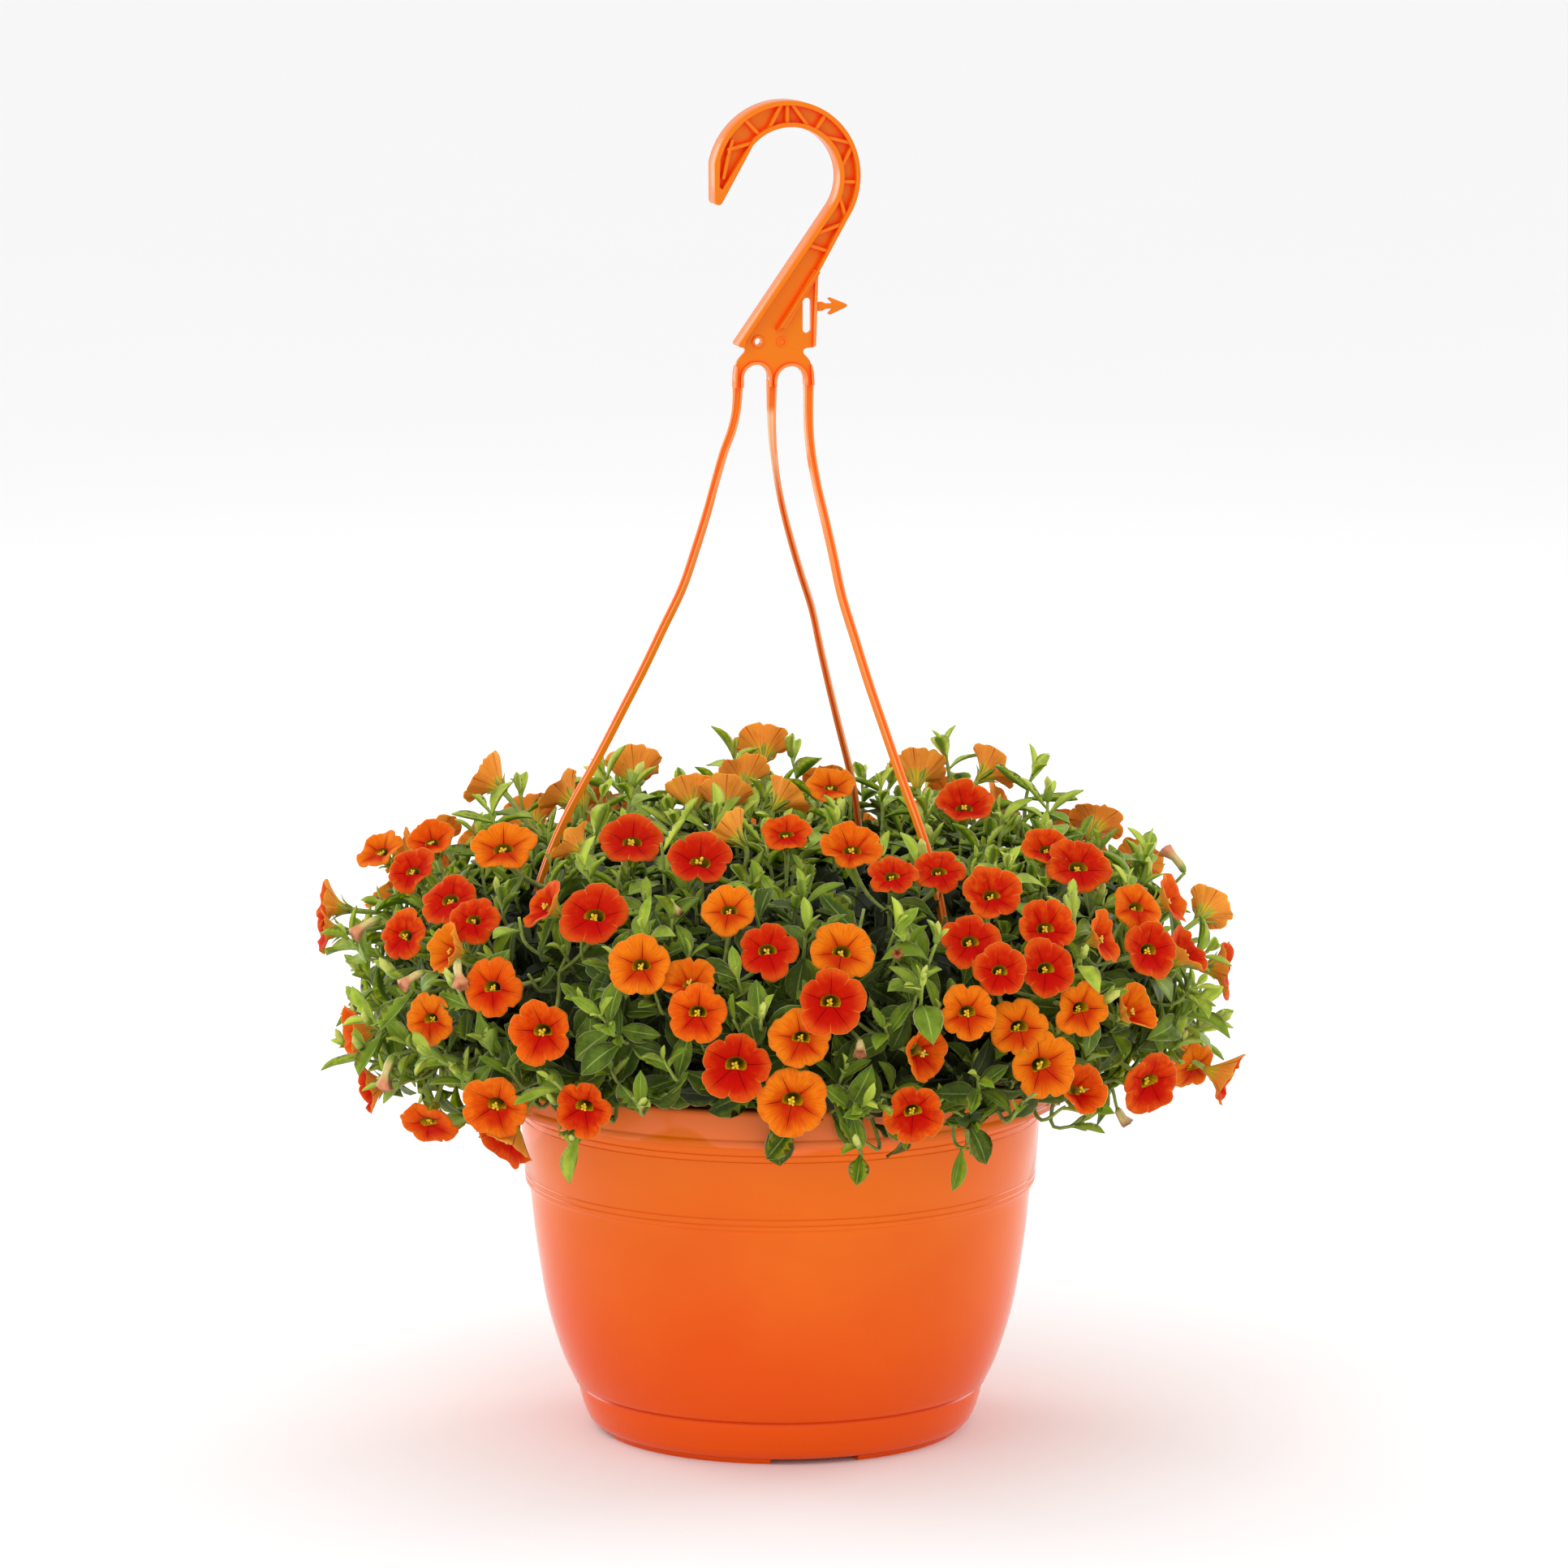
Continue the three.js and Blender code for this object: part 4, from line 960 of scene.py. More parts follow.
@dataclass(frozen=True)
class LeafFinish:
    """A leaf with its pale midrib and hairy margin, from young green to old, and darkest as painted shade deep
    inside the crown.
    """

    young: Colour = paint(190, 208, 78)
    grown: Colour = paint(116, 142, 32)
    old: Colour = paint(60, 80, 12)
    # deep: painted shade for leaves deep in the crown and for the core.
    deep: Colour = paint(22, 30, 4)
    rib: Colour = paint(172, 190, 92)
    margin: Colour = paint(214, 222, 164)
    under: Colour = paint(140, 158, 76)

    def material(self) -> Material:
        """Paints the leaves.

        Returns:
            The material.
        """
        job = Paint("leaf_green")
        along, across, side = job.parts(job.value("blade", "Vector"))
        tone = job.maths("ADD", job.value("tone"), job.patchy(job.cloud(120.0, 4.0), 0.07))
        light = job.steps(tone, 0.35, 0.95, 1.0, 0.1)
        off = job.maths("ABSOLUTE", across)
        slant = job.maths("SUBTRACT", job.times(along, 8.0), job.times(off, 1.6))
        veins = job.steps(job.from_half(job.maths("FRACT", slant)), 0.0, 0.12, 0.09, 0.0)
        rib = job.times(job.steps(off, 0.02, 0.09, 0.65, 0.0), light)
        # The tone goes from young to old leaves and, at its dark end, to painted shade deep in the crown.
        green = job.layered(
            self.young,
            (job.steps(tone, 0.0, 0.3), self.grown),
            (job.steps(tone, 0.3, 0.6), self.old),
            (job.steps(tone, 0.6, 0.9), self.deep),
            (job.times(veins, light), self.rib),
            (rib, self.rib),
            (job.times(job.steps(side, 0.35, 0.65, 0.6, 0.0), light), self.under),
            (job.times(job.steps(off, 0.9, 0.98, 0.0, 0.55), light), self.margin),
        )
        job.set(Base_Color=green, Roughness=0.48, Specular_IOR_Level=0.16)
        job.set(Subsurface_Weight=0.3, Subsurface_Scale=0.0012, Subsurface_Radius=(0.7, 1.0, 0.1))
        down = job.times(job.cloud(1400.0), 0.5)
        job.bump(job.maths("ADD", down, job.maths("SUBTRACT", rib, veins)), 0.0002, 0.5)
        return job.material


@dataclass(frozen=True)
class StemFinish:
    """A hairy green stem, darker where it is old and, as painted shade, where it runs deep inside the crown."""

    young: Colour = paint(164, 182, 72)
    old: Colour = paint(36, 44, 12)
    hair: Colour = paint(186, 200, 140)

    def material(self) -> Material:
        """Paints the stems.

        Returns:
            The material.
        """
        job = Paint("stem_green")
        hairs = job.steps(job.cloud(300.0, 3.0), 0.35, 0.7, 0.0, 0.3)
        green = job.layered(self.young, (job.value("tone"), self.old), (hairs, self.hair))
        job.set(Base_Color=green, Roughness=0.6, Specular_IOR_Level=0.15, Sheen_Weight=0.05, Sheen_Roughness=0.4)
        job.bump(job.cloud(1600.0), 0.0002, 0.5)
        return job.material


@dataclass(frozen=True)
class HeadFinish:
    """Buds, spent blooms and dry calyces, each in its own colours."""

    dust: Colour = paint(120, 110, 40)

    def material(self) -> Material:
        """Paints the heads.

        Returns:
            The material.
        """
        job = Paint("bud_and_spent")
        dusty = job.steps(job.cloud(500.0, 3.0), 0.3, 0.7, 0.0, 0.2)
        colour = job.blend(dusty, job.value("dye", "Vector"), self.dust)
        job.set(Base_Color=colour, Roughness=0.55, Specular_IOR_Level=0.25, Sheen_Weight=0.1)
        job.bump(job.cloud(1200.0), 0.0002, 0.6)
        return job.material


@dataclass(frozen=True)
class AntherFinish:
    """The glossy yellow heads in a bloom's throat."""

    colour: Colour = paint(246, 214, 20)
    shade: Colour = paint(186, 150, 6)

    def material(self) -> Material:
        """Paints the anthers.

        Returns:
            The material.
        """
        job = Paint("anther_yellow")
        colour = job.blend(job.cloud(900.0), self.shade, self.colour)
        job.set(Base_Color=colour, Roughness=0.24, Coat_Weight=0.4, Coat_Roughness=0.1)
        job.bump(job.cloud(1500.0), 0.0001, 0.5)
        return job.material


@dataclass(frozen=True)
class SoilFinish:
    """Moist dark substrate with fibres and pale grains."""

    wet: Colour = paint(34, 24, 18)
    dry: Colour = paint(78, 56, 38)
    pale: Colour = paint(196, 186, 168)

    def material(self) -> Material:
        """Paints the soil.

        Returns:
            The material.
        """
        job = Paint("moist_substrate")
        grain = job.cloud(420.0, 6.0, 0.7)
        specks = job.steps(job.cloud(700.0), 0.7, 0.76)
        colour = job.layered(self.wet, (job.steps(grain, 0.35, 0.7), self.dry), (specks, self.pale))
        job.set(Base_Color=colour, Roughness=0.9, Specular_IOR_Level=0.2)
        job.bump(grain, 0.0012, 1.0)
        return job.material


@dataclass(frozen=True)
class FloorFinish:
    """A plain pale matt floor."""

    light: Colour = (0.93, 0.93, 0.93, 1.0)
    cool: Colour = (0.92, 0.92, 0.922, 1.0)

    def material(self) -> Material:
        """Paints the floor.

        Returns:
            The material.
        """
        job = Paint("pale_floor")
        job.set(Base_Color=job.blend(job.cloud(2.0), self.light, self.cool), Roughness=0.9)
        return job.material


# ------------------------------------------------------------------ pot
@dataclass
class Pot:
    """The round hanging pot: grooved body, hollow rolled rim, feet and drain holes. Lines are in mm."""

    sides: int = 224
    rim_top: float = 178 * MM
    rim_plate: float = 2.5 * MM
    groove_depth: float = 0.35
    groove_half: float = 0.6
    grooves: tuple[float, ...] = (121.5, 124.5, 152, 155)
    feet: int = 4
    foot_gap: float = 28
    foot_turn: float = 11
    foot_inner: float = 74
    foot_outer: float = 86.3
    foot_top: float = 3.2
    drains: int = 5
    drain_radius: float = 5 * MM
    drain_ring: float = 56 * MM
    slot_width: float = 15 * MM
    slot_depth: float = 3.4 * MM
    slot_ring: float = 128.5 * MM
    crease: float = 40
    # Radius and height of the outside from under the foot to the step over it.
    foot_line: Pairs = (
        (86.0, 2.4), (88.2, 2.7), (89.8, 3.7), (91.2, 5.4), (93.6, 10.8), (95.3, 16.6), (95.8, 19.6),
        (95.7, 20.9), (95.3, 21.5), (95.7, 22.0), (96.8, 22.3),
    )
    # The bellied wall, which is drawn smooth, and the edge of the band over it.
    wall: Pairs = ((97.8, 22.9), (104, 36.7), (110.8, 60), (115.8, 90), (118.7, 116.5))
    band: Pairs = ((119.0, 117.7), (119.8, 118.6), (120.6, 119.0), (120.9, 119.8))
    # The upper body, which carries the grooves, and the neck under the rim.
    upper: Pairs = ((120.9, 119.8), (123.8, 160.0))
    neck: Pairs = ((124.3, 168.0), (124.5, 175.5))
    # The rolled rim from under its plate, round its lip, to the mouth.
    rim_line: Pairs = (
        (130.0, 175.5), (132.8, 175.4), (132.9, 172.0), (133.0, 164.0), (133.0, 161.4), (133.3, 161.0),
        (134.9, 160.8), (135.4, 161.1), (135.5, 161.8), (135.45, 163.6), (135.1, 164.3), (134.85, 164.7),
        (134.9, 165.3), (134.75, 170.0), (134.5, 175.4), (134.2, 176.9), (133.4, 177.7), (132.4, 178.0),
        (129.6, 178.05), (129.0, 177.9), (125.6, 177.9), (124.9, 178.1), (123.6, 178.0), (122.9, 177.4),
    )
    # The inside from the mouth to the floor.
    inside_line: Pairs = (
        (122.9, 166.0), (120, 140), (116.9, 112), (113.2, 86), (108.6, 60), (101.6, 38), (94, 19),
        (93.2, 10), (92, 7), (70, 7), (40, 7),
    )

    def upper_line(self) -> Line:
        """Draws the upper body with its grooves.

        Returns:
            The radius and height of each point.
        """
        (low, foot), (high, top) = self.upper
        half, deep = self.groove_half, self.groove_depth
        cut = ((-half, 0.0), (-half * 0.45, deep * 0.8), (0.0, deep), (half * 0.45, deep * 0.8), (half, 0.0))
        line = [
            (low + (high - low) * (z + dz - foot) / (top - foot) - dr, z + dz)
            for z in self.grooves for dz, dr in cut
        ]
        return [*line, (high, top)]

    def body(self) -> Mesh:
        """Turns the whole wall about the axis.

        Returns:
            The closed mesh of the body and its rim.
        """
        wall = catmull(np.array(self.wall), 22).tolist()
        floor = [(40.0, 3.4), (self.foot_inner, 2.5)]
        outside = [*floor, *self.foot_line, *wall, *self.band, *self.upper_line(), *self.neck]
        line = np.array([*outside, *self.rim_line, *self.inside_line])
        return ringed("pot_body", turned(line * MM, circle(self.sides)))

    def foot(self, middle: float) -> Mesh:
        """Makes one foot, a bowed pad.

        Args:
            middle: the azimuth of its middle.

        Returns:
            Its closed mesh.
        """
        half = math.radians((360 / self.feet - self.foot_gap) / 2)
        inner, outer, top = self.foot_inner, self.foot_outer, self.foot_top
        section = (inner, 0.3), (inner + 0.3, 0), (outer - 0.4, 0), (outer, 0.4), (outer + 0.9, top), (inner, top)
        azimuths = np.linspace(middle - half, middle + half, 24)[::-1]
        rows = [[(towards(a) * r + [0, 0, z]) * MM for r, z in section] for a in azimuths]
        return ringed("foot", np.array(rows))

    def upright(self, ring: Array, low: float, high: float) -> Mesh:
        """Returns the block over a ring of points, between two heights."""
        return ringed("block", np.stack([ring + [0, 0, low], ring + [0, 0, high]]))

    def drain(self, azimuth: float) -> Mesh:
        """Returns the round plug that a drain hole leaves out, at an azimuth."""
        ring = hoop(0.0, self.drain_radius, circle(28))[:, [1, 2, 0]]
        return self.upright(ring + towards(azimuth) * self.drain_ring, -5 * MM, 15 * MM)

    def slot(self, azimuth: float) -> Mesh:
        """Makes the block that a clip's slot in the rim leaves out.

        Args:
            azimuth: where the clip is.

        Returns:
            The closed mesh.
        """
        out, side = towards(azimuth), np.array([math.cos(azimuth), math.sin(azimuth), 0])
        ring = np.array([
            out * (self.slot_ring + b * self.slot_depth / 2) + side * a * self.slot_width / 2
            for a, b in ((-1, 1), (1, 1), (1, -1), (-1, -1))
        ])
        return self.upright(ring, self.rim_top - 2 * self.rim_plate, self.rim_top + self.rim_plate)

    def build(self, clips: Iterable[float], material: Material) -> None:
        """Makes the pot and places it.

        Args:
            clips: the azimuths of the hanger's clips, in radians.
            material: the pot's plastic.
        """
        feet = [self.foot(math.radians(self.foot_turn + 360 * (i + 0.5) / self.feet)) for i in range(self.feet)]
        holes = [self.drain(TAU * (i + 0.5) / self.drains) for i in range(self.drains)]
        body = combined(self.body(), feet, "UNION")
        body = combined(body, holes + [self.slot(azimuth) for azimuth in clips], "DIFFERENCE")
        place_piece("hanging_pot", dress(creased(body, self.crease), material), "pot_plastic", "pot")


# ------------------------------------------------------------------ hanger
@dataclass(frozen=True)
class Round:
    """A round stretch of an outline: its centre across and up, and its radius, in mm."""

    u: float
    z: float
    radius: float

    def arc(self, start: float = 0, end: float = 345, steps: int = 23) -> Line:
        """Returns points from one angle to another, in degrees."""
        angles = np.radians(np.linspace(start, end, steps + 1))
        return [(self.u + self.radius * math.cos(a), self.z + self.radius * math.sin(a)) for a in angles]

    def grown(self, by: float) -> "Round":
        """Returns the same centre with a larger radius."""
        return Round(self.u, self.z, self.radius + by)


@dataclass(frozen=True)
class Arm:
    """One arm: its clip's azimuth, its root along the plate, where it has swung out, its bow and its width."""

    azimuth: float
    root: float
    swung: float
    sway: float
    width: float


@dataclass
class Hanger:
    """The moulded hanger: ribbed hook, plate with a label peg, and three arms with clips, in mm and degrees."""

    yaw: float = 17
    crease: float = 34
    beam: float = 11
    web: float = 2.2
    flange: float = 2.2
    rib_width: float = 1.6
    rib_depth: float = 9.4
    bead: float = 5.2
    bead_width: float = 1.45
    plate_bottom: float = 498
    outer: Round = Round(1.8, 595.2, 36)
    inner: Round = Round(3.4, 594.5, 24.2)
    arches: tuple[Round, Round] = (Round(-12.2, 501.4, 6.2), Round(4.8, 499.4, 6.9))
    pin: Round = Round(-11.2, 518.4, 1.7)
    badge: Round = Round(0.3, 517.9, 2.4)
    joint: Round = Round(0.9, 526, 1.45)
    # The upright opening beside the beam: the centres of its two round ends.
    opening: tuple[Round, Round] = (Round(12.7, 536.1, 2), Round(12.7, 523.5, 2))
    arm_width: float = 4.3
    arm_depth: float = 3.2
    clip_radius: float = 128.5
    clip_shoulder: float = 181
    clip_top: float = 193
    clip_under: float = 175.2
    clip_bottom: float = 167
    clip_width: float = 14
    clip_thick: float = 2.4
    clip_barb: float = 2.2
    arms: tuple[Arm, ...] = (
        Arm(-79.5, -20.8, 461, 0, 3.3), Arm(40.5, 13.9, 425, -1.5, 3.5), Arm(160.5, -4.2, 375, -3.4, 2.9),
    )
    # The height and the distance from the axis of places down an arm.
    arm_curve: Pairs = (
        (500, 20.8), (488, 22), (476, 24.6), (466, 27.2), (455, 30.2), (431, 36.8), (403, 46.5), (364, 65.5),
        (325, 86), (292, 104), (262, 115.5), (228, 123.5), (205, 128.5), (188, 128.5),
    )
    # The heights that an arm's line is drawn through.
    arm_heights: tuple[float, ...] = (
        500, 492, 484, 476, 466, 452, 438, 422, 403, 384, 364, 345, 325, 292, 262, 228, 205, 188,
    )
    # The zigzag ribs between the beam's flanges: across and up at both ends.
    ribs: Pairs = (
        (2.2, 629.8, 2.2, 618), (-0.6, 629.6, -7.5, 616.5), (4.2, 629.8, 14, 616.5), (15, 615.5, 21.5, 625),
        (16.6, 614.5, 33, 610.5), (34, 609, 28, 598), (27, 592.5, 37, 592), (27.5, 586, 31.5, 573.5),
        (15, 568, 30.5, 573), (12, 563.5, 22, 560), (-19, 623.5, -9.5, 613.5), (-27, 609, -14, 612),
        (-24.4, 613.8, -26.3, 606.7), (-26.3, 606.7, -28.9, 595.5),
    )
    # The plate's left edge from the beam down, and its right edge from the bottom up.
    plate_left: Pairs = (
        (-20.8, 518.5), (-18.6, 516.2), (-17.6, 515.4), (-17.3, 514.4), (-17.7, 513.4), (-19.4, 511.6),
        (-20.9, 509.9), (-21.9, 507.6), (-22.6, 503.5), (-22.9, 498), (-18.4, 498),
    )
    plate_right: Pairs = (
        (11.7, 498), (16.2, 498), (15.9, 503), (15.3, 506), (14.3, 508.5), (12.8, 510.4), (11.4, 511.8),
        (11.1, 512.9), (11.5, 513.9), (12.6, 514.4), (15.9, 514.6), (16.8, 515.1), (17.1, 516.2),
        (18.1, 551.3), (10, 560),
    )
    # The label peg's outline over its middle line: along it and half its width.
    peg: Pairs = ((16, 2.2), (20.5, 2.1), (22, 1.3), (25.4, 1.2), (23, 3.5), (24.2, 4.1), (31.6, 1), (32.5, 0.4))
    peg_height: float = 533.8

    def band(self, inset: float) -> Line:
        """Draws the outline of the hook and its beam.

        Args:
            inset: how far it is drawn in.

        Returns:
            The outline, across and up.
        """
        outer, inner = self.outer.grown(-inset), self.inner.grown(inset)
        tip = ((-29.3, 584.8), (-30.2, 583.6), (-31.4, 583.3), (-32.6, 583.7), (-33.3, 585))
        foot = (
            (18.1 - inset, 551.3), (-0.2, 525), (-18.6 + inset, 516), (-21.3 + inset, 516.6),
            (-21.8 + inset, 517.8),
        )
        return [
            *outer.arc(168 - 1.5 * inset, -34, 56), *foot, *inner.arc(-37.5, 138 - 2.5 * inset, 44),
            *((u + 0.5 * inset, z + 2.8 * inset) for u, z in tip),
        ]

    def recess(self) -> Line:
        """Draws the outline of the recess between the beam's flanges, open at its foot.

        Returns:
            The outline, across and up.
        """
        foot = ((16, 550.5), (-4, 522), (-12, 513), (-19.6, 514), (-18.2, 519.8))
        outer, inner = self.outer.grown(-self.flange), self.inner.grown(self.flange)
        return [*outer.arc(164, -34, 56), *foot, *inner.arc(-37.5, 132, 44), (-29.7, 590.5), (-31.1, 592)]

    def plate(self) -> Line:
        """Draws the outline of the plate under the beam.

        Returns:
            The outline, across and up.
        """
        left, right = (arch.arc(180, 0, 20) for arch in self.arches)
        low = self.plate_bottom
        return [*self.plate_left, *left, (-6, low), (-2.1, low), *right, *self.plate_right]

    def rails(self) -> list[Line]:
        """Draws the raised rails: round both arches, and up the plate's two edges.

        Returns:
            Their outlines, across and up.
        """
        low, wide = self.plate_bottom - 1, self.bead_width
        made = []
        for arch in self.arches:
            u, r = arch.u, arch.radius
            outside = [(u - r - wide, low), *arch.grown(wide).arc(180, 0, 24), (u + r + wide, low)]
            made.append([*outside, (u + r, low), *arch.arc(0, 180, 24), (u - r, low)])
        return [
            *made,
            [(15.4, 515.3), (16.9, 515.3), (18.1, 551.3), (16.5, 551.3)],
            [(-22.9, low), (-22.6, 503.5), (-21.9, 507.4), (-21.2, 507), (-21.4, 503.5), (-21.6, low)],
            [(16.2, low), (14.9, low), (14.7, 503), (14.2, 506), (14.9, 506.8), (15.9, 503)],
        ]

    def slab(self, outline: Line, depth: float, bevel: float = 0.35) -> Mesh:
        """Makes a flat piece of an outline, with its long edges rounded.

        Args:
            outline: across and up.
            depth: the full depth.
            bevel: how much its edges are rounded.

        Returns:
            The closed mesh, square to Y.
        """
        points = [(u * MM, side * depth / 2 * MM, z * MM) for side in (-1, 1) for u, z in outline]
        n = len(points) // 2
        walls = [(i, (i + 1) % n, n + (i + 1) % n, n + i) for i in range(n)]
        mesh = bpy.data.meshes.new("slab")
        mesh.from_pydata(points, [], [tuple(range(n)), tuple(range(2 * n - 1, n - 1, -1)), *walls])
        thing = linked(mesh)
        outward_faces(mesh)
        if bevel:
            step = thing.modifiers.new("edges", "BEVEL")
            step.width = bevel * MM
            step.segments = 2
            step.limit_method = "ANGLE"
            step.angle_limit = math.radians(50)
        return applied(thing)

    def disc(self, edge: Round, depth: float, bevel: float) -> Mesh:
        """Returns a round slab."""
        return self.slab(edge.arc(), depth, bevel)

    def bar(self, ends: tuple[float, ...], width: float, depth: float) -> Mesh:
        """Makes a straight rib.

        Args:
            ends: across and up at both of its ends.
            width: its width.
            depth: its depth.

        Returns:
            The closed mesh.
        """
        start, end = np.array(ends[:2]), np.array(ends[2:])
        side = unit(np.array([start[1] - end[1], end[0] - start[0]])) * width / 2
        corners = start - side, end - side, end + side, start + side
        return self.slab([tuple(p) for p in corners], depth, 0.2)

    def peg_mesh(self) -> Mesh:
        """Returns the barbed peg that a label is pressed on."""
        upper = [(u, self.peg_height + half) for u, half in self.peg]
        return self.slab([(u, self.peg_height - half) for u, half in self.peg[::-1]] + upper, 2.0, 0.25)

    def arm_point(self, arm: Arm, z: float) -> Array:
        """Finds a point of an arm's middle line.

        Args:
            arm: the arm.
            z: the height.

        Returns:
            The point.
        """
        heights, reach = np.array(self.arm_curve[::-1]).T
        top, yaw = self.arm_curve[0][0], math.radians(self.yaw)
        share = smooth_step((top - z) / (top - arm.swung))
        root = np.array([math.cos(yaw), math.sin(yaw), 0.0]) * arm.root
        out = towards(math.radians(arm.azimuth)) * np.interp(z, heights, reach)
        bow = arm.sway * math.sin(math.pi * min(max((495 - z) / 195, 0), 1))
        return root * (1 - share) + out * share + [bow, 0, z]

    def arm_line(self, arm: Arm) -> Array:
        """Returns an arm's middle line from its root to its clip."""
        return catmull(np.array([self.arm_point(arm, z) for z in self.arm_heights]), 90)

    def arm_frame(self, arm: Arm) -> tuple[Array, Array, Array]:
        """Finds how an arm lies.

        Args:
            arm: the arm.

        Returns:
            Its middle line, and the ways across and through it at each point.
        """
        line = self.arm_line(arm)
        share = np.linspace(0, 1, len(line)) ** 0.75
        turn = np.radians(self.yaw + (arm.azimuth - self.yaw - 180 * (arm.azimuth > 90)) * share)
        along = np.gradient(line, axis=0)
        thick = unit(np.cross(along, np.stack([np.cos(turn), np.sin(turn), np.zeros(len(line))], 1)))
        return line, unit(np.cross(thick, along)), thick

    def half_width(self, arm: Arm, z: float) -> float:
        """Returns half of an arm's width at a height."""
        return (arm.width + (self.arm_width - arm.width) * (1 - smooth_step((500 - z) / 55))) / 2

    def arm_mesh(self, arm: Arm) -> Mesh:
        """Makes an arm, a strip with a raised rail along each edge.

        Args:
            arm: the arm.

        Returns:
            The closed mesh.
        """
        t = self.arm_depth / 2
        rows = []
        for i, (point, wide, thick) in enumerate(zip(*self.arm_frame(arm))):
            w = self.half_width(arm, point[2])
            half = [(-w, -t + 0.3), (-w + 0.3, -t), (-w + 0.75, -t), (-w + 1.25, -t + 0.9)]
            half += [(-a, b) for a, b in half[::-1]]
            section = np.array(half + [(-a, -b) for a, b in half])
            swell = 1 + 0.36 * max(0.0, 1 - i / 6)
            rows.append(point + section[:, :1] * wide + section[:, 1:] * thick * swell)
        return ringed("arm", np.array(rows) * MM)

    def clip_mesh(self, arm: Arm) -> Mesh:
        """Makes the clip at an arm's foot, with its two barbs under the rim.

        Args:
            arm: the arm.

        Returns:
            The closed mesh, in its place.
        """
        half, neck, shoulder = self.clip_width / 2, self.arm_width / 2 + 1, self.clip_shoulder
        right = [
            (half - 1, self.clip_bottom), (half + self.clip_barb, self.clip_under), (half, self.clip_under),
            (half, shoulder), (neck + 1.6, shoulder + 5), (neck, self.clip_top),
        ]
        loop = right + [(-u, z) for u, z in right[::-1]]
        # The outline starts at the left barb.
        mesh = self.slab(loop[-3:] + loop[:-3], self.clip_thick, 0.3)
        place = Matrix.Translation((0, -self.clip_radius * MM, 0))
        mesh.transform(Matrix.Rotation(math.radians(arm.azimuth), 4, "Z") @ place)
        return mesh

    def beside(self, arm: Arm, points: Array) -> tuple[Array, Array]:
        """Measures how points lie beside an arm.

        Args:
            arm: the arm.
            points: one a row.

        Returns:
            How far each is from its middle line in all, and across it.
        """
        line, wide, _ = self.arm_frame(arm)
        away = points[:, None] - line
        near = np.argmin(np.linalg.norm(away, axis=2), axis=1)
        away = away[np.arange(len(near)), near]
        return np.linalg.norm(away, axis=1), (away * wide[near]).sum(1)

    def mark(self, mesh: Mesh) -> None:
        """Stores how strong the painted highlight is on each point of the raised rails, and how white the plastic
        is where the arm behind was bent.

        Args:
            mesh: the whole hanger.
        """
        points = np.array([v.co for v in mesh.vertices]) / MM
        z, turn = points[:, 2], math.radians(self.yaw)
        distance, across = self.beside(self.arms[2], points)
        left = (distance < 3.2) & (across < 0.9)
        value_layer(mesh, "bent", left * np.clip((487 - z) / 4, 0, 0.85) * np.clip((z - 440) / 20, 0, 1))
        # Painted highlights: the crests of the plate's beads and of the arms' rails, stored as the rail attribute.
        through = np.abs(points[:, 1] * math.cos(turn) - points[:, 0] * math.sin(turn))
        light = 0.4 * ((np.abs(through - self.bead / 2) < 0.12) & (z > self.plate_bottom))
        for arm in self.arms:
            distance, across = self.beside(arm, points)
            inset = np.array([self.half_width(arm, height) for height in z]) - np.abs(across)
            light = np.maximum(light, 0.75 * ((z < 500) & (np.abs(inset - 0.55) < 0.36) & (distance < 4)))
        value_layer(mesh, "rail", light)

    def build(self, material: Material) -> None:
        """Makes the hanger and places it.

        Args:
            material: the hanger's plastic.
        """
        deep, upper, lower = self.beam, *self.opening
        beam = combined(self.slab(self.band(0), deep, 0.5), [self.slab(self.recess(), deep + 4, 0)], "DIFFERENCE")
        hollow = self.disc(self.badge.grown(-0.7), 7, 0)
        bars = [self.bar(rib, self.rib_width, self.rib_depth) for rib in self.ribs]
        zigzag = combined(bars[0], bars[1:], "UNION")
        plate = combined(beam, [
            self.slab(self.band(1), self.web, 0), self.slab(self.plate(), self.web), self.peg_mesh(),
            combined(self.disc(self.badge, 3.2, 0.1), [hollow], "DIFFERENCE"),
            *(self.slab(rail, self.bead, 0.3) for rail in self.rails()), self.disc(self.pin.grown(1.2), 3.8, 0.2),
            self.bar((17.2, 551, 0.9, 526), 2.9, 9), self.disc(self.joint, 8.9, 0.3),
            combined(zigzag, [self.slab(self.band(0.2), deep, 0)], "INTERSECT"),
        ], "UNION")
        opening = self.slab([*upper.arc(0, 180, 10), *lower.arc(180, 360, 10)], 2 * deep, 0)
        plate = combined(plate, [self.disc(self.pin, 2 * deep, 0), opening], "DIFFERENCE")
        plate.transform(Matrix.Rotation(math.radians(self.yaw), 4, "Z"))
        limbs = [make(arm) for make in (self.arm_mesh, self.clip_mesh) for arm in self.arms]
        whole = combined(plate, limbs, "UNION")
        self.mark(whole)
        place_piece("moulded_hanger", dress(creased(whole, self.crease), material), "hanger_plastic", "hanger")


# ------------------------------------------------------------------ the crown and its blooms
class Turn(Enum):
    """Which way a bloom of the front view turns."""

    FACE = "towards the viewer"
    SIDE = "aside"
    BACK = "away"


F, S, B = Turn.FACE, Turn.SIDE, Turn.BACK


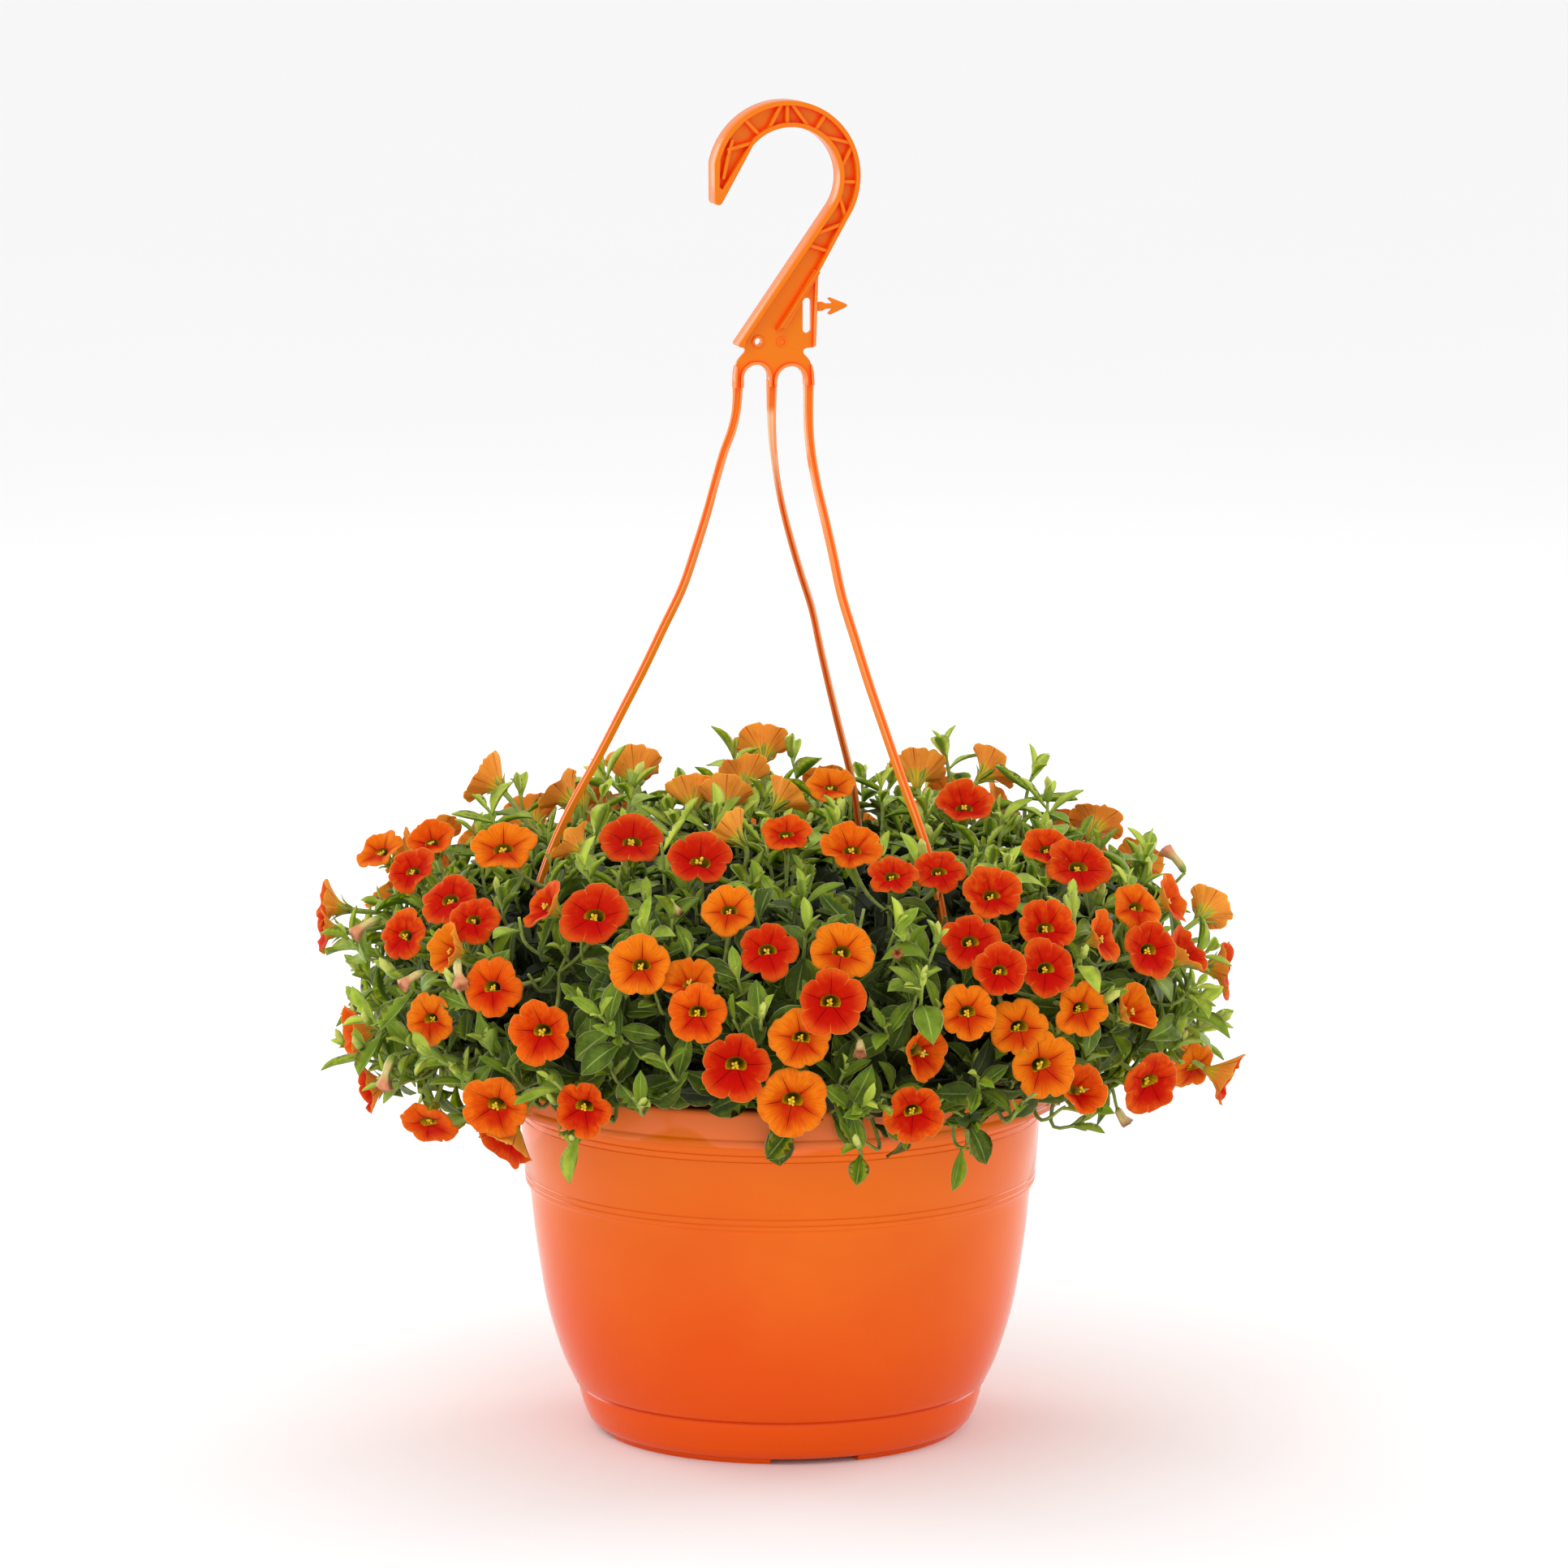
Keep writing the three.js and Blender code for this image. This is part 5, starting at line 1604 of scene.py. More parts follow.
@dataclass(frozen=True)
class FrontView:
    """The view that blooms and shoots of the front are placed by, in metres and degrees."""

    distance: float = 4500 * MM
    elevation: float = 9.8
    height: float = 308 * MM
    drawn: float = 301 * MM
    # How far before and behind the middle the crown is looked for, and in what steps.
    depth: float = 260 * MM
    step: float = 1 * MM

    def ahead(self) -> Array:
        """Returns the direction of sight."""
        tilt = math.radians(self.elevation)
        return np.array([0.0, math.cos(tilt), -math.sin(tilt)])

    def upward(self) -> Array:
        """Returns the direction that is up in the view."""
        tilt = math.radians(self.elevation)
        return np.array([0.0, math.sin(tilt), math.cos(tilt)])

    def eye(self) -> Array:
        """Returns where the view is taken from."""
        return np.array([0.0, 0.0, self.height]) - self.ahead() * self.distance

    def on_screen(self, points: Array) -> Array:
        """Finds where points are in the view.

        Args:
            points: the points, their numbers last.

        Returns:
            How far across and up the view each is, and the way along it.
        """
        away = points - self.eye()
        depth = away @ self.ahead()
        scale = self.distance / depth
        return np.stack([away[..., 0] * scale, away @ self.upward() * scale, depth], -1)


@dataclass(frozen=True)
class Cushion:
    """A round flat-topped body: below 1 inside, 1 on its surface."""

    radius: float
    middle: float
    up: float
    down: float
    side: float = 3
    up_power: float = 2.2
    down_power: float = 5

    def value(self, p: Array) -> Array:
        """Finds how far out of the body places are.

        Args:
            p: a point, or rows of points.

        Returns:
            The value at each.
        """
        above = p[..., 2] > self.middle
        t = np.abs(p[..., 2] - self.middle) / np.where(above, self.up, self.down)
        level = np.hypot(p[..., 0], p[..., 1]) / self.radius
        return level**self.side + t ** np.where(above, self.up_power, self.down_power)

    def outward(self, p: Array) -> Array:
        """Returns the direction out of the surface near a point."""
        steps = np.eye(3) * 0.5 * MM
        return unit(self.value(p + steps) - self.value(p - steps))

    def seen_at(self, view: FrontView, across: float, up: float) -> tuple[Array, Array]:
        """Finds the place of the surface that shows at a place of the view.

        Args:
            view: the view.
            across: how far across it, in mm.
            up: how far up it, in mm.

        Returns:
            The place and the direction back to the viewer.
        """
        drawn = np.array([0.0, 0.0, view.height]) + view.upward() * (up * MM - view.drawn)
        drawn[0] += across * MM
        sight = unit(drawn - view.eye())
        ways = np.arange(view.distance - view.depth, view.distance + view.depth, view.step)
        points = view.eye() + sight * ways[:, None]
        values = self.value(points)
        inside = np.flatnonzero(values < 1)
        return points[inside[0] if len(inside) else np.argmin(values)], -sight

    def onto(self, place: Array, out: Array) -> Array:
        """Moves a place in steps of a millimetre along a direction until it lies on the surface.

        Args:
            place: where it starts.
            out: the direction out of the body.

        Returns:
            The place just inside.
        """
        while self.value(place) < 1:
            place = place + out * MM
        while self.value(place) > 1:
            place = place - out * MM
        return place


VIEW = FrontView()
CROWN = Cushion(207 * MM, 232 * MM, 70 * MM, 80 * MM)
CORE = Cushion(171 * MM, 230 * MM, 36 * MM, 40 * MM)

# Blooms of the front view: across, up and width in mm, and which way they turn.
FRONT_BLOOMS = (
    (-139, 304, 28, S), (-105, 298, 28, S), (-100, 275, 24, S), (-69, 311, 27, B), (-8, 321, 28, B),
    (-17, 307, 25, B), (-41, 299, 27, B), (-26, 298, 28, B), (5, 297, 27, S), (24, 301, 25, F),
    (65, 309, 29, B), (87, 292, 28, F), (102, 310, 28, S), (-189, 270, 25, F), (-165, 275, 24, F),
    (-174, 261, 24, F), (-131, 272, 32, F), (-70, 276, 31, F), (-38, 267, 33, F), (-25, 280, 25, S),
    (3, 278, 24, F), (34, 272, 29, F), (126, 271, 25, F), (141, 263, 31, F), (53, 258, 24, F),
    (75, 260, 25, F), (186, 247, 24, S), (203, 244, 25, B), (-215, 244, 25, S), (-217, 232, 24, S),
    (-156, 247, 28, F), (-145, 237, 25, F), (-178, 230, 25, F), (-158, 223, 25, S), (-113, 245, 26, S),
    (-88, 240, 33, F), (-24, 242, 26, F), (100, 249, 28, F), (90, 227, 28, F), (126, 234, 28, F),
    (154, 229, 25, S), (168, 243, 25, F), (175, 223, 28, F), (193, 223, 25, B), (211, 214, 28, S),
    (-136, 205, 28, F), (-66, 216, 29, F), (-6, 223, 28, F), (29, 222, 29, F), (104, 213, 25, F),
    (126, 214, 28, F), (168, 195, 24, B), (-165, 190, 25, F), (-113, 184, 30, F), (-39, 193, 28, F),
    (-43, 210, 25, B), (24, 198, 31, F), (10, 181, 28, F), (89, 193, 27, F), (113, 186, 29, F),
    (142, 195, 27, F), (-202, 184, 27, S), (-21, 168, 33, F), (70, 174, 28, S), (124, 168, 32, F),
    (175, 160, 31, F), (195, 167, 25, F), (212, 162, 28, S), (-195, 157, 25, B), (144, 158, 25, B),
    (-135, 148, 31, F), (-166, 140, 29, F), (-93, 148, 28, F), (6, 151, 32, F), (63, 146, 28, F),
    (-130, 130, 28, B),
)

# Young shoots that stand out in the front view: across and up in mm.
FRONT_SHOOTS = (
    (77, 319), (120, 309), (126, 294), (-21, 317), (5, 315), (-69, 301), (-83, 307), (-123, 298), (173, 271),
    (164, 255), (206, 242), (196, 206), (204, 189), (201, 179), (89, 129), (-98, 135), (-93, 263), (-56, 273),
    (-15, 244), (4, 233), (-65, 233), (-65, 202), (-85, 192), (-9, 192), (55, 234), (107, 263), (138, 244),
    (74, 227), (67, 205), (129, 190), (88, 180), (146, 175), (142, 220), (-138, 290), (-148, 227), (-123, 238),
    (-184, 162), (-194, 189), (-153, 206), (-165, 173), (-108, 162), (47, 300), (103, 290), (40, 150), (-30, 140),
)

# Spent blooms of the front view: across and up in mm.
FRONT_SPENT = ((-53, 247), (-153, 219), (-169, 213), (38, 180), (-184, 173), (90, 185), (55, 222))


@dataclass
class Bloom:
    """One bloom: where its limb is, which way it faces, its radius, its spin and its funnel's depth."""

    place: Array
    normal: Array
    radius: float
    spin: float
    flare: float

    def down(self, distance: float) -> Array:
        """Returns the point of its axis that far behind its limb."""
        return self.place - self.normal * distance


@dataclass
class Truss:
    """Blooms that share a root, and where it is carried from."""

    blooms: list[Bloom]
    root: Array
    seat: Array


@dataclass
class BloomBed:
    """All blooms, of the front and of the back, and the trusses that they stand on."""

    lift: tuple[float, float] = (-4 * MM, 5 * MM)
    open_flare: tuple[float, float] = (0.7, 1.4)
    turned_flare: tuple[float, float] = (1.7, 2.4)
    lean: float = 0.9
    crowded: float = 0.9
    # What lies behind this line belongs to the back, whose blooms aren't made twice.
    behind: float = -60 * MM
    back_top: float = 283 * MM
    root_depth: float = 25 * MM
    seat_reach: float = 150 * MM
    seat_low: float = 212 * MM
    seat_high: float = 246 * MM
    # The hem lies below a height and beyond a radius. Inside it are rings of stretches: the least
    # radius of each ring, and how many stretches it has.
    hem: tuple[float, float] = (214 * MM, 120 * MM)
    rings: Pairs = ((165 * MM, 16), (100 * MM, 11), (30 * MM, 5), (-1.0, 1))

    def facing(self, place: Array, to_viewer: Array, turn: Turn) -> Array:
        """Finds the way a bloom faces.

        Args:
            place: where it is.
            to_viewer: the direction to the viewer.
            turn: which way it turns.

        Returns:
            The direction.
        """
        out = CROWN.outward(place)
        if turn is Turn.FACE:
            return unit(out * 0.75 + to_viewer * 0.55)
        if turn is Turn.SIDE:
            aside = unit(out * 0.7 + np.array([math.copysign(0.7, place[0]), 0, 0]))
            return unit(aside + to_viewer * (-0.4 if place[2] > 278 * MM else 0.12))
        away = to_viewer * (0.5 if place[1] > self.behind else 0.0)
        return unit(unit(out * 0.8 - away + [0, 0, 0.5]) - away * self.lean)

    def blooms(self) -> list[Bloom]:
        """Places the front's blooms, and the same arrangement turned round for the back.

        Returns:
            Every bloom.
        """
        draws, depths = Draws(11), Draws(12)
        front = []
        for across, up, width, turn in FRONT_BLOOMS:
            place, to_viewer = CROWN.seen_at(VIEW, across, up)
            normal = self.facing(place, to_viewer, turn)
            place = place + to_viewer * draws.between(*self.lift)
            flare = depths.between(*(self.open_flare if turn is Turn.FACE else self.turned_flare))
            front.append(Bloom(place, normal, width / 2 * MM, draws.next() * TAU, flare))
        half = np.array([-1.0, -1.0, 1.0])
        return front + [
            Bloom(b.place * half, b.normal * half, b.radius, b.spin + 1, b.flare)
            for b in front if b.place[1] < self.behind and b.place[2] < self.back_top
        ]

    def patch(self, place: Array) -> tuple[int, int]:
        """Finds the stretch of the crown that a place is in.

        Args:
            place: the place.

        Returns:
            The stretch's ring and its number round it.
        """
        r = math.hypot(place[0], place[1])
        low, inner = self.hem
        ring = next(i for i, (least, _) in enumerate(self.rings, 1) if r > least)
        if place[2] < low and r > inner:
            ring = 0
        count = self.rings[max(ring - 1, 0)][1]
        turn = math.atan2(place[0], -place[1]) / TAU + 1
        return ring, math.floor((turn % 1) * count)

    def seat(self, root: Array) -> Array:
        """Returns the place inside the core that carries what stands at a root."""
        reach = min(1.0, self.seat_reach / max(math.hypot(root[0], root[1]), 1e-9))
        return np.array([root[0] * reach, root[1] * reach, min(max(root[2], self.seat_low), self.seat_high)])

    def trusses(self, blooms: list[Bloom]) -> list[Truss]:
        """Groups blooms of one stretch, with any that crowd them, on one root.

        Args:
            blooms: all blooms.

        Returns:
            The trusses, in the order of the nodes.
        """
        groups: dict[tuple[int, int], list[Bloom]] = {}
        names: list[tuple[int, int]] = []
        for bloom in blooms:
            near = [
                name for name, other in zip(names, blooms)
                if np.linalg.norm(other.place - bloom.place) < self.crowded * (other.radius + bloom.radius)
            ]
            names.append(near[0] if near else self.patch(bloom.place))
            groups.setdefault(names[-1], []).append(bloom)
        made = []
        for group in groups.values():
            middle = np.mean([b.place for b in group], axis=0)
            out = CROWN.outward(middle)
            root = CROWN.onto(middle, out) - out * self.root_depth
            made.append(Truss(group, root, self.seat(root)))
        return made


@dataclass
class Lobes:
    """The lobes round one limb: each point's lobe and place in it, and how softly lobes meet there."""

    which: Array
    phase: Array
    soft: Array

    def spread(self, values: Array) -> Array:
        """Returns each lobe's value at its points, evened out where two lobes meet."""
        own = values[self.which]
        return own * self.soft + 0.5 * (own + values[self.which - 1]) * (1 - self.soft)


@dataclass
class BloomShape:
    """The fine form of a bloom: five waved lobes, an open throat and a slim tube. Lines are in mm."""

    segments: int = 50
    lobes: int = 5
    usual_radius: float = 14 * MM
    # How unlike its lobes are: their width, how they droop and how they sway.
    unlike: Pairs = ((0.92, 1.08), (-1.6, 1.9), (-1.5, 1.5))
    cup: tuple[float, float] = (-1.8, 1.2)
    notch: tuple[float, float] = (0.1, 0.21)
    softness: tuple[float, float] = (0.36, 0.56)
    # Where the lower lip crosses the throat, as a share of its radius below the middle.
    lip: float = 0.4
    # Inside the tube, from its floor to the throat's rim: radius and depth.
    inside: Pairs = ((0.9, 10), (1.8, 7.4), (2.9, 5.0), (3.7, 2.5))
    # Across the limb and back behind it: the share of the way out, the depth, and the place on the way.
    limb: tuple[tuple[float, float, float], ...] = (
        (0.1, 2.1, 1.1), (0.32, 1.1, 1.32), (0.58, 0.4, 1.58), (0.8, 0.0, 1.8), (0.94, 0.1, 1.94),
        (1.0, 0.5, 2.0), (0.96, 0.7, 2.04), (0.66, 0.95, 2.34), (0.3, 2.1, 2.7),
    )
    # Down the tube's outside: radius and depth.
    tube: Pairs = ((4.2, 4.0), (2.8, 8.0), (1.7, 13.0))

    def add(self, skin: Skin, bloom: Bloom, draws: Draws) -> None:
        """Adds a bloom to a mesh.

        Args:
            skin: the mesh that it joins.
            bloom: its place, facing and size.
            draws: the numbers that make it unlike its neighbours.
        """
        angle = circle(self.segments)
        lobe = angle * self.lobes / TAU
        width, droop, sway = ([draws.between(*span) for _ in range(self.lobes)] for span in self.unlike)
        width, droop, sway = np.array(width), np.array(droop), np.array(sway)
        cup = draws.between(*self.cup) - 0.6 * (bloom.flare - 1)
        cone = 5.0 * (bloom.flare - 1)
        notch = draws.between(*self.notch)
        phase = lobe - np.floor(lobe)
        soft = np.sin(math.pi * phase) ** draws.between(*self.softness)
        lobes = Lobes(lobe.astype(int) % self.lobes, phase, soft)
        point = draws.between(-0.02, 0.035) * np.exp(-((phase - 0.5) / 0.09) ** 2)
        outline = (1 - notch * (1 - soft)) * lobes.spread(width) + point
        swayed = lobes.spread(sway)
        outline *= 1 + 0.014 * np.sin(3 * TAU * phase + 9 * swayed)
        around = angle + bloom.spin
        low = -np.sin(around + draws.about(0.4))
        lipped = np.where(low > self.lip, self.lip / np.maximum(low, self.lip), 1.0)
        gape = lipped * (1 + 0.1 * np.cos(2 * around))
        wave = 0.9 * swayed * np.sin(TAU * phase) + 0.45 * np.sin(2 * TAU * phase + 6 * swayed)
        fold = -0.45 * np.cos(TAU * phase)
        scale = bloom.radius / self.usual_radius
        throat, edge = self.inside[-1][0] * scale * gape, bloom.radius / MM * outline
        level = np.zeros(self.segments)
        rings = []
        for share, (radius, depth) in zip(np.linspace(0, 1, len(self.inside)), self.inside):
            opened = radius * scale * (1 + (gape - 1) * share)
            rings.append((opened, level + (depth + cone * share) * scale, share))
        for share, depth, way in self.limb:
            lift = share**2 * (lobes.spread(droop) + cup) + share**1.5 * (wave * share + fold)
            swell = -0.9 * math.exp(-((share - 0.12) / 0.14) ** 2) * np.maximum(low, 0) ** 2
            sunk = (depth + cone * (1 - share) + swell) * scale + lift
            rings.append((throat + (edge - throat) * share, sunk, way))
        for i, (radius, depth) in enumerate(self.tube):
            sunk = (depth + cone * (0.8 - 0.4 * i)) * scale
            rings.append((level + radius * scale, level + sunk, 3.1 + 0.45 * i))
        e1, e2 = level_pair(bloom.normal)
        rays = np.cos(around)[:, None] * e1 + np.sin(around)[:, None] * e2
        points = np.array([
            bloom.place + rays * (radius * MM)[:, None] - bloom.normal * (depth * MM)[:, None]
            for radius, depth, _ in rings
        ])
        limb = np.array([
            np.stack([reach * np.cos(angle), reach * np.sin(angle), level + way], 1)
            for reach, way in ((radius * MM / bloom.radius, way) for radius, _, way in rings)
        ])
        lows = np.repeat(low[None, :, None], len(rings), 0)
        tone = np.full_like(lows, smooth_step(draws.next()))
        skin.grid(points[:, ::-1], {"limb": limb[:, ::-1], "tone": tone, "low": lows[:, ::-1]})


@dataclass
class Blooms:
    """The blooms' petals, their anthers, and the calyces and stalks that carry them."""

    shape: BloomShape = field(default_factory=BloomShape)
    anthers: int = 5
    anther_depth: float = 3.0 * MM
    anther_ring: float = 1.25 * MM
    anther_size: float = 0.95 * MM
    anther_line: Pairs = ((-0.9, 0.3), (-0.4, 0.72), (0.4, 0.72), (0.9, 0.3))
    tube_length: float = 13 * MM
    tube_radius: float = 1.5 * MM
    stalk: tuple[float, float] = (1.55 * MM, 0.75 * MM)
    sepals: int = 5

    def petals(self, trusses: list[Truss], material: Material) -> None:
        """Makes the petals of each truss a piece that replaces its node.

        Args:
            trusses: the trusses, in the order of the nodes.
            material: the petals' velvet.
        """
        draws = Draws(101)
        for number, truss in enumerate(trusses, 1):
            skin = Skin()
            for bloom in truss.blooms:
                self.shape.add(skin, bloom, draws)
            petals = dress(skin.mesh("petals"), material)
            place_piece(f"blooms_{number:02d}", petals, "petals", f"flowers_{number:02d}")

    def stamens(self, blooms: list[Bloom], tree: Tree, material: Material) -> None:
        """Sets the anthers in each throat.

        Args:
            blooms: all blooms.
            tree: the tree that sets things on sites.
            material: the anthers' yellow.
        """
        draws, sites = Draws(211), Sites()
        for bloom in blooms:
            pair = level_pair(bloom.normal)
            scale = bloom.radius / self.shape.usual_radius
            for i in range(self.anthers):
                side = ray(pair, TAU * (i + draws.about(0.2)) / self.anthers)
                ring = self.anther_ring * scale * (draws.between(0.8, 1.1) if i else 0.15)
                depth = self.anther_depth * scale * draws.between(0.85, 1.3)
                place = bloom.down(depth) + side * ring - pair[1] * 0.25 * MM
                along = unit(side * draws.between(0.4, 1.0) + bloom.normal * 0.5)
                sites.add(place, along, bloom.normal, self.anther_size * scale, 0, 0.0)
        rings = np.array([hoop(x, r, circle(6)) for x, r in self.anther_line])
        kinds = kinds_of("anther", [ringed("anther", rings)])
        mesh = tree.grow(sites.mesh(), Kinds=kinds, Size=1.0, Variation=0.12, Seed=3, Material=material)
        place_piece("anthers", mesh, "petals")

    def sepal_sites(self, bloom: Bloom, sites: Sites, draws: Draws) -> None:
        """Adds the sepals round a bloom's tube to the leaf sites.

        Args:
            bloom: the bloom.
            sites: its plant's leaf sites.
            draws: the numbers that vary them.
        """
        pair = level_pair(bloom.normal)
        for i in range(self.sepals):
            side = ray(pair, bloom.spin + TAU * (i + draws.about(0.12)) / self.sepals)
            place = bloom.down(self.tube_length + 0.4 * MM) + side * self.tube_radius
            along = unit(bloom.normal + side * draws.between(0.3, 0.62))
            sites.add(place, along, -side, draws.between(8, 11) * MM, len(LEAVES), draws.between(0.05, 0.22))

    def stalk_lines(self, bloom: Bloom, truss: Truss, lines: Lines) -> None:
        """Adds a bloom's stalk, from its tube to the truss's root, to the lines.

        Args:
            bloom: the bloom.
            truss: its truss.
            lines: its plant's stems.
        """
        start, root = bloom.down(self.tube_length - 1 * MM), truss.root
        bend = bloom.down(self.tube_length + 0.35 * np.linalg.norm(start - root))
        points = [start, 0.5 * start + 0.35 * bend + 0.15 * root, 0.5 * bend + 0.5 * root, root]
        lines.add(catmull(np.array(points), 9), self.stalk, (0.05, 0.5))


# ------------------------------------------------------------------ leaves and shoots
@dataclass(frozen=True)
class LeafShape:
    """A leaf of length 1 along X, its face towards Z, closed and thin."""

    width: float
    arch: float
    fold: float
    twist: float = 0.0
    widest: float = 0.58
    stations: int = 7
    thick: float = 0.028
    stalk: float = 0.1
    # Half widths: the least, and the one at the tip.
    least: float = 0.022
    tip: float = 0.008
    # Points across the blade, from one margin to the other and back underneath.
    fine: tuple[float, ...] = (-1.0, -0.52, 0.0, 0.52, 1.0, 0.0)
    coarse: tuple[float, ...] = (-1.0, 0.0, 1.0, 0.0)

    def outline(self, x: Array) -> Array:
        """Finds the half width along the leaf.

        Args:
            x: shares of its length, the last of them at the tip.

        Returns:
            The half width at each.
        """
        t = np.clip((x - self.stalk) / (1 - self.stalk), 0, 1)
        warped = t ** (math.log(0.5) / math.log((self.widest - self.stalk) / (1 - self.stalk)))
        half = np.maximum(self.width / 2 * np.sin(math.pi * warped) ** 0.7, self.least)
        half[-1] = self.tip
        return half

    def mesh(self) -> Mesh:
        """Makes the leaf.

        Returns:
            Its mesh, with the place on the blade for each point.
        """
        x = np.linspace(0, 0.995, self.stations) ** 0.92
        across = np.array(self.fine if self.stations > 5 else self.coarse)
        top = np.append(np.ones(len(across) - 1), 0)
        along, half, full = x[:, None], self.outline(x)[:, None], np.ones((self.stations, len(across)))
        folded = 2 * np.abs(across) ** 1.5 - np.where(across == 0, 0.25, 0.0)
        y, z = across * half, self.fold * half * folded - self.thick * (1 - top)
        cos, sin = np.cos(self.twist * along), np.sin(self.twist * along)
        lift = -4 * self.arch * along * (along - 0.55)
        rows = np.stack([along * full, y * cos - z * sin, lift + y * sin + z * cos], 2)
        return ringed("leaf", rows, {"blade": np.stack([along * full, across * full, top * full], 2)})


NARROW = (LeafShape(0.36, 0.04, 0.28), LeafShape(0.41, 0.08, 0.38, 0.25), LeafShape(0.34, 0.0, 0.33, -0.2))
GROWN = (
    LeafShape(0.47, 0.12, 0.22), LeafShape(0.53, 0.18, 0.3, 0.3), LeafShape(0.45, 0.08, 0.16, -0.35),
    LeafShape(0.58, 0.2, 0.12, 0.15, 0.62), LeafShape(0.5, -0.02, 0.26, -0.2), LeafShape(0.56, 0.13, 0.1, 0.0, 0.6),
)
PLAIN = (LeafShape(0.5, 0.12, 0.2, stations=4), LeafShape(0.56, 0.05, 0.15, 0.3, stations=4))
SEPAL = LeafShape(0.24, 0.1, 0.25, widest=0.5, stations=4)
LEAVES = NARROW + GROWN


@dataclass
class Room:
    """What leaves and shoots keep clear of: blooms, their stalks, the hanger's arms and the pot."""

    blooms: list[Bloom]
    trusses: list[Truss]
    hanger: Hanger
    rim_top: float = 178 * MM
    rim_radius: float = 135.5 * MM
    tube_length: float = 13 * MM
    tube_radius: float = 1.9 * MM
    stalk_radius: float = 1.3 * MM
    arm_radius: float = 2.6 * MM
    # Up to where the arms run between shoots, and from where they show.
    arm_low: float = 345 * MM
    arm_seen: float = 200 * MM
    # How low leaves may hang before the rim, how wide that holds, and where they may: all in mm of the view.
    rim_line: float = 147
    rim_half: float = 136
    rim_gaps: Pairs = ((-107, -82), (-9, 20), (25, 41), (47, 67), (77, 101))

    def __post_init__(self) -> None:
        """Gathers the blooms and slim pieces in arrays."""
        self.places = np.array([b.place for b in self.blooms])
        self.normals = np.array([b.normal for b in self.blooms])
        self.radii = np.array([b.radius for b in self.blooms])
        slim = [
            (bloom.down(self.tube_length), truss.root, self.stalk_radius)
            for truss in self.trusses for bloom in truss.blooms
        ]
        lines = [self.hanger.arm_line(arm) * MM for arm in self.hanger.arms]
        for line in lines:
            low = line[line[:, 2] < self.arm_low]
            slim += [(start, end, self.arm_radius) for start, end in zip(low[:-1], low[1:])]
        self.starts, self.ends, self.sizes = (np.array(part) for part in zip(*slim))
        shown = (self.normals @ -VIEW.ahead() > 0.3) & (self.places[:, 1] < 20 * MM)
        self.faces = np.hstack([VIEW.on_screen(self.places[shown]), self.radii[shown, None]])
        self.arm_view = [VIEW.on_screen(line[line[:, 2] > self.arm_seen]) for line in lines]

    def clear(self, points: Array, room: float) -> Array:
        """Tells for each point whether it has some room round it.

        Args:
            points: one a row.
            room: how much, in metres.

        Returns:
            True where the point is clear.
        """
        away = points[:, None] - self.places
        depth = -(away * self.normals).sum(-1)
        across = np.sqrt(np.maximum(0, (away**2).sum(-1) - depth**2))
        share = 1 - np.maximum(0, depth) / self.tube_length
        cone = self.radii * np.maximum(0, share) + self.tube_radius * np.minimum(1, 1 - share) + room
        in_bloom = (depth > -room - 1.6 * MM) & (depth < self.tube_length + 2 * MM) & (across < cone)
        way = self.ends - self.starts
        length = np.maximum((way**2).sum(-1), 1e-12)
        t = np.clip(((points[:, None] - self.starts) * way).sum(-1) / length, 0, 1)
        near = np.linalg.norm(points[:, None] - self.starts - way * t[..., None], axis=-1)
        in_slim = near < self.sizes + room
        r = np.hypot(points[:, 0], points[:, 1])
        in_pot = (points[:, 2] < self.rim_top + room) & (r < self.rim_radius + room)
        return ~(in_bloom.any(1) | in_slim.any(1) | in_pot)

    def before_bloom(self, points: Array, reach: float) -> float:
        """Finds how far a shoot or leaf stands before the faces of blooms.

        Args:
            points: its points, one a row.
            reach: how far before a face counts.

        Returns:
            The share of its points that do.
        """
        away = points[:, None] - self.places
        height = (away * self.normals).sum(-1)
        across = np.sqrt(np.maximum(0, (away**2).sum(-1) - height**2))
        hidden = (height > 0) & (height < reach) & (across < self.radii * 0.8)
        return float(hidden.any(1).mean())

    def before_face(self, points: Array) -> float:
        """Finds how much of a shoot or leaf hides a bloom's face from the front.

        Args:
            points: its points, one a row.

        Returns:
            The share of its points that do.
        """
        seen = VIEW.on_screen(points)
        gap = np.hypot(seen[:, None, 0] - self.faces[:, 0], seen[:, None, 1] - self.faces[:, 1])
        return float(((gap < self.faces[:, 3] * 0.86) & (seen[:, None, 2] < self.faces[:, 2])).any(1).mean())

    def before_rim(self, points: Array) -> bool:
        """Tells whether a point hides the pot's rim from the front, outside the gaps left for leaves.

        Args:
            points: one a row.

        Returns:
            Whether any does.
        """
        seen = VIEW.on_screen(points) / MM
        low = (seen[:, 1] + VIEW.drawn / MM < self.rim_line) & (points[:, 1] < 0)
        low &= np.abs(seen[:, 0]) < self.rim_half
        free = np.any([(seen[:, 0] > left) & (seen[:, 0] < right) for left, right in self.rim_gaps], axis=0)
        return bool((low & ~free).any())

    def before_arm(self, points: Array, room: float) -> bool:
        """Tells whether a point hides a hanger's arm from the front.

        Args:
            points: one a row.
            room: how near to the arm's middle line counts.

        Returns:
            Whether any does.
        """
        seen = VIEW.on_screen(points)
        for line in self.arm_view:
            gap = np.hypot(seen[:, None, 0] - line[:, 0], seen[:, None, 1] - line[:, 1])
            if ((gap < room) & (seen[:, None, 2] < line[:, 2])).any():
                return True
        return False


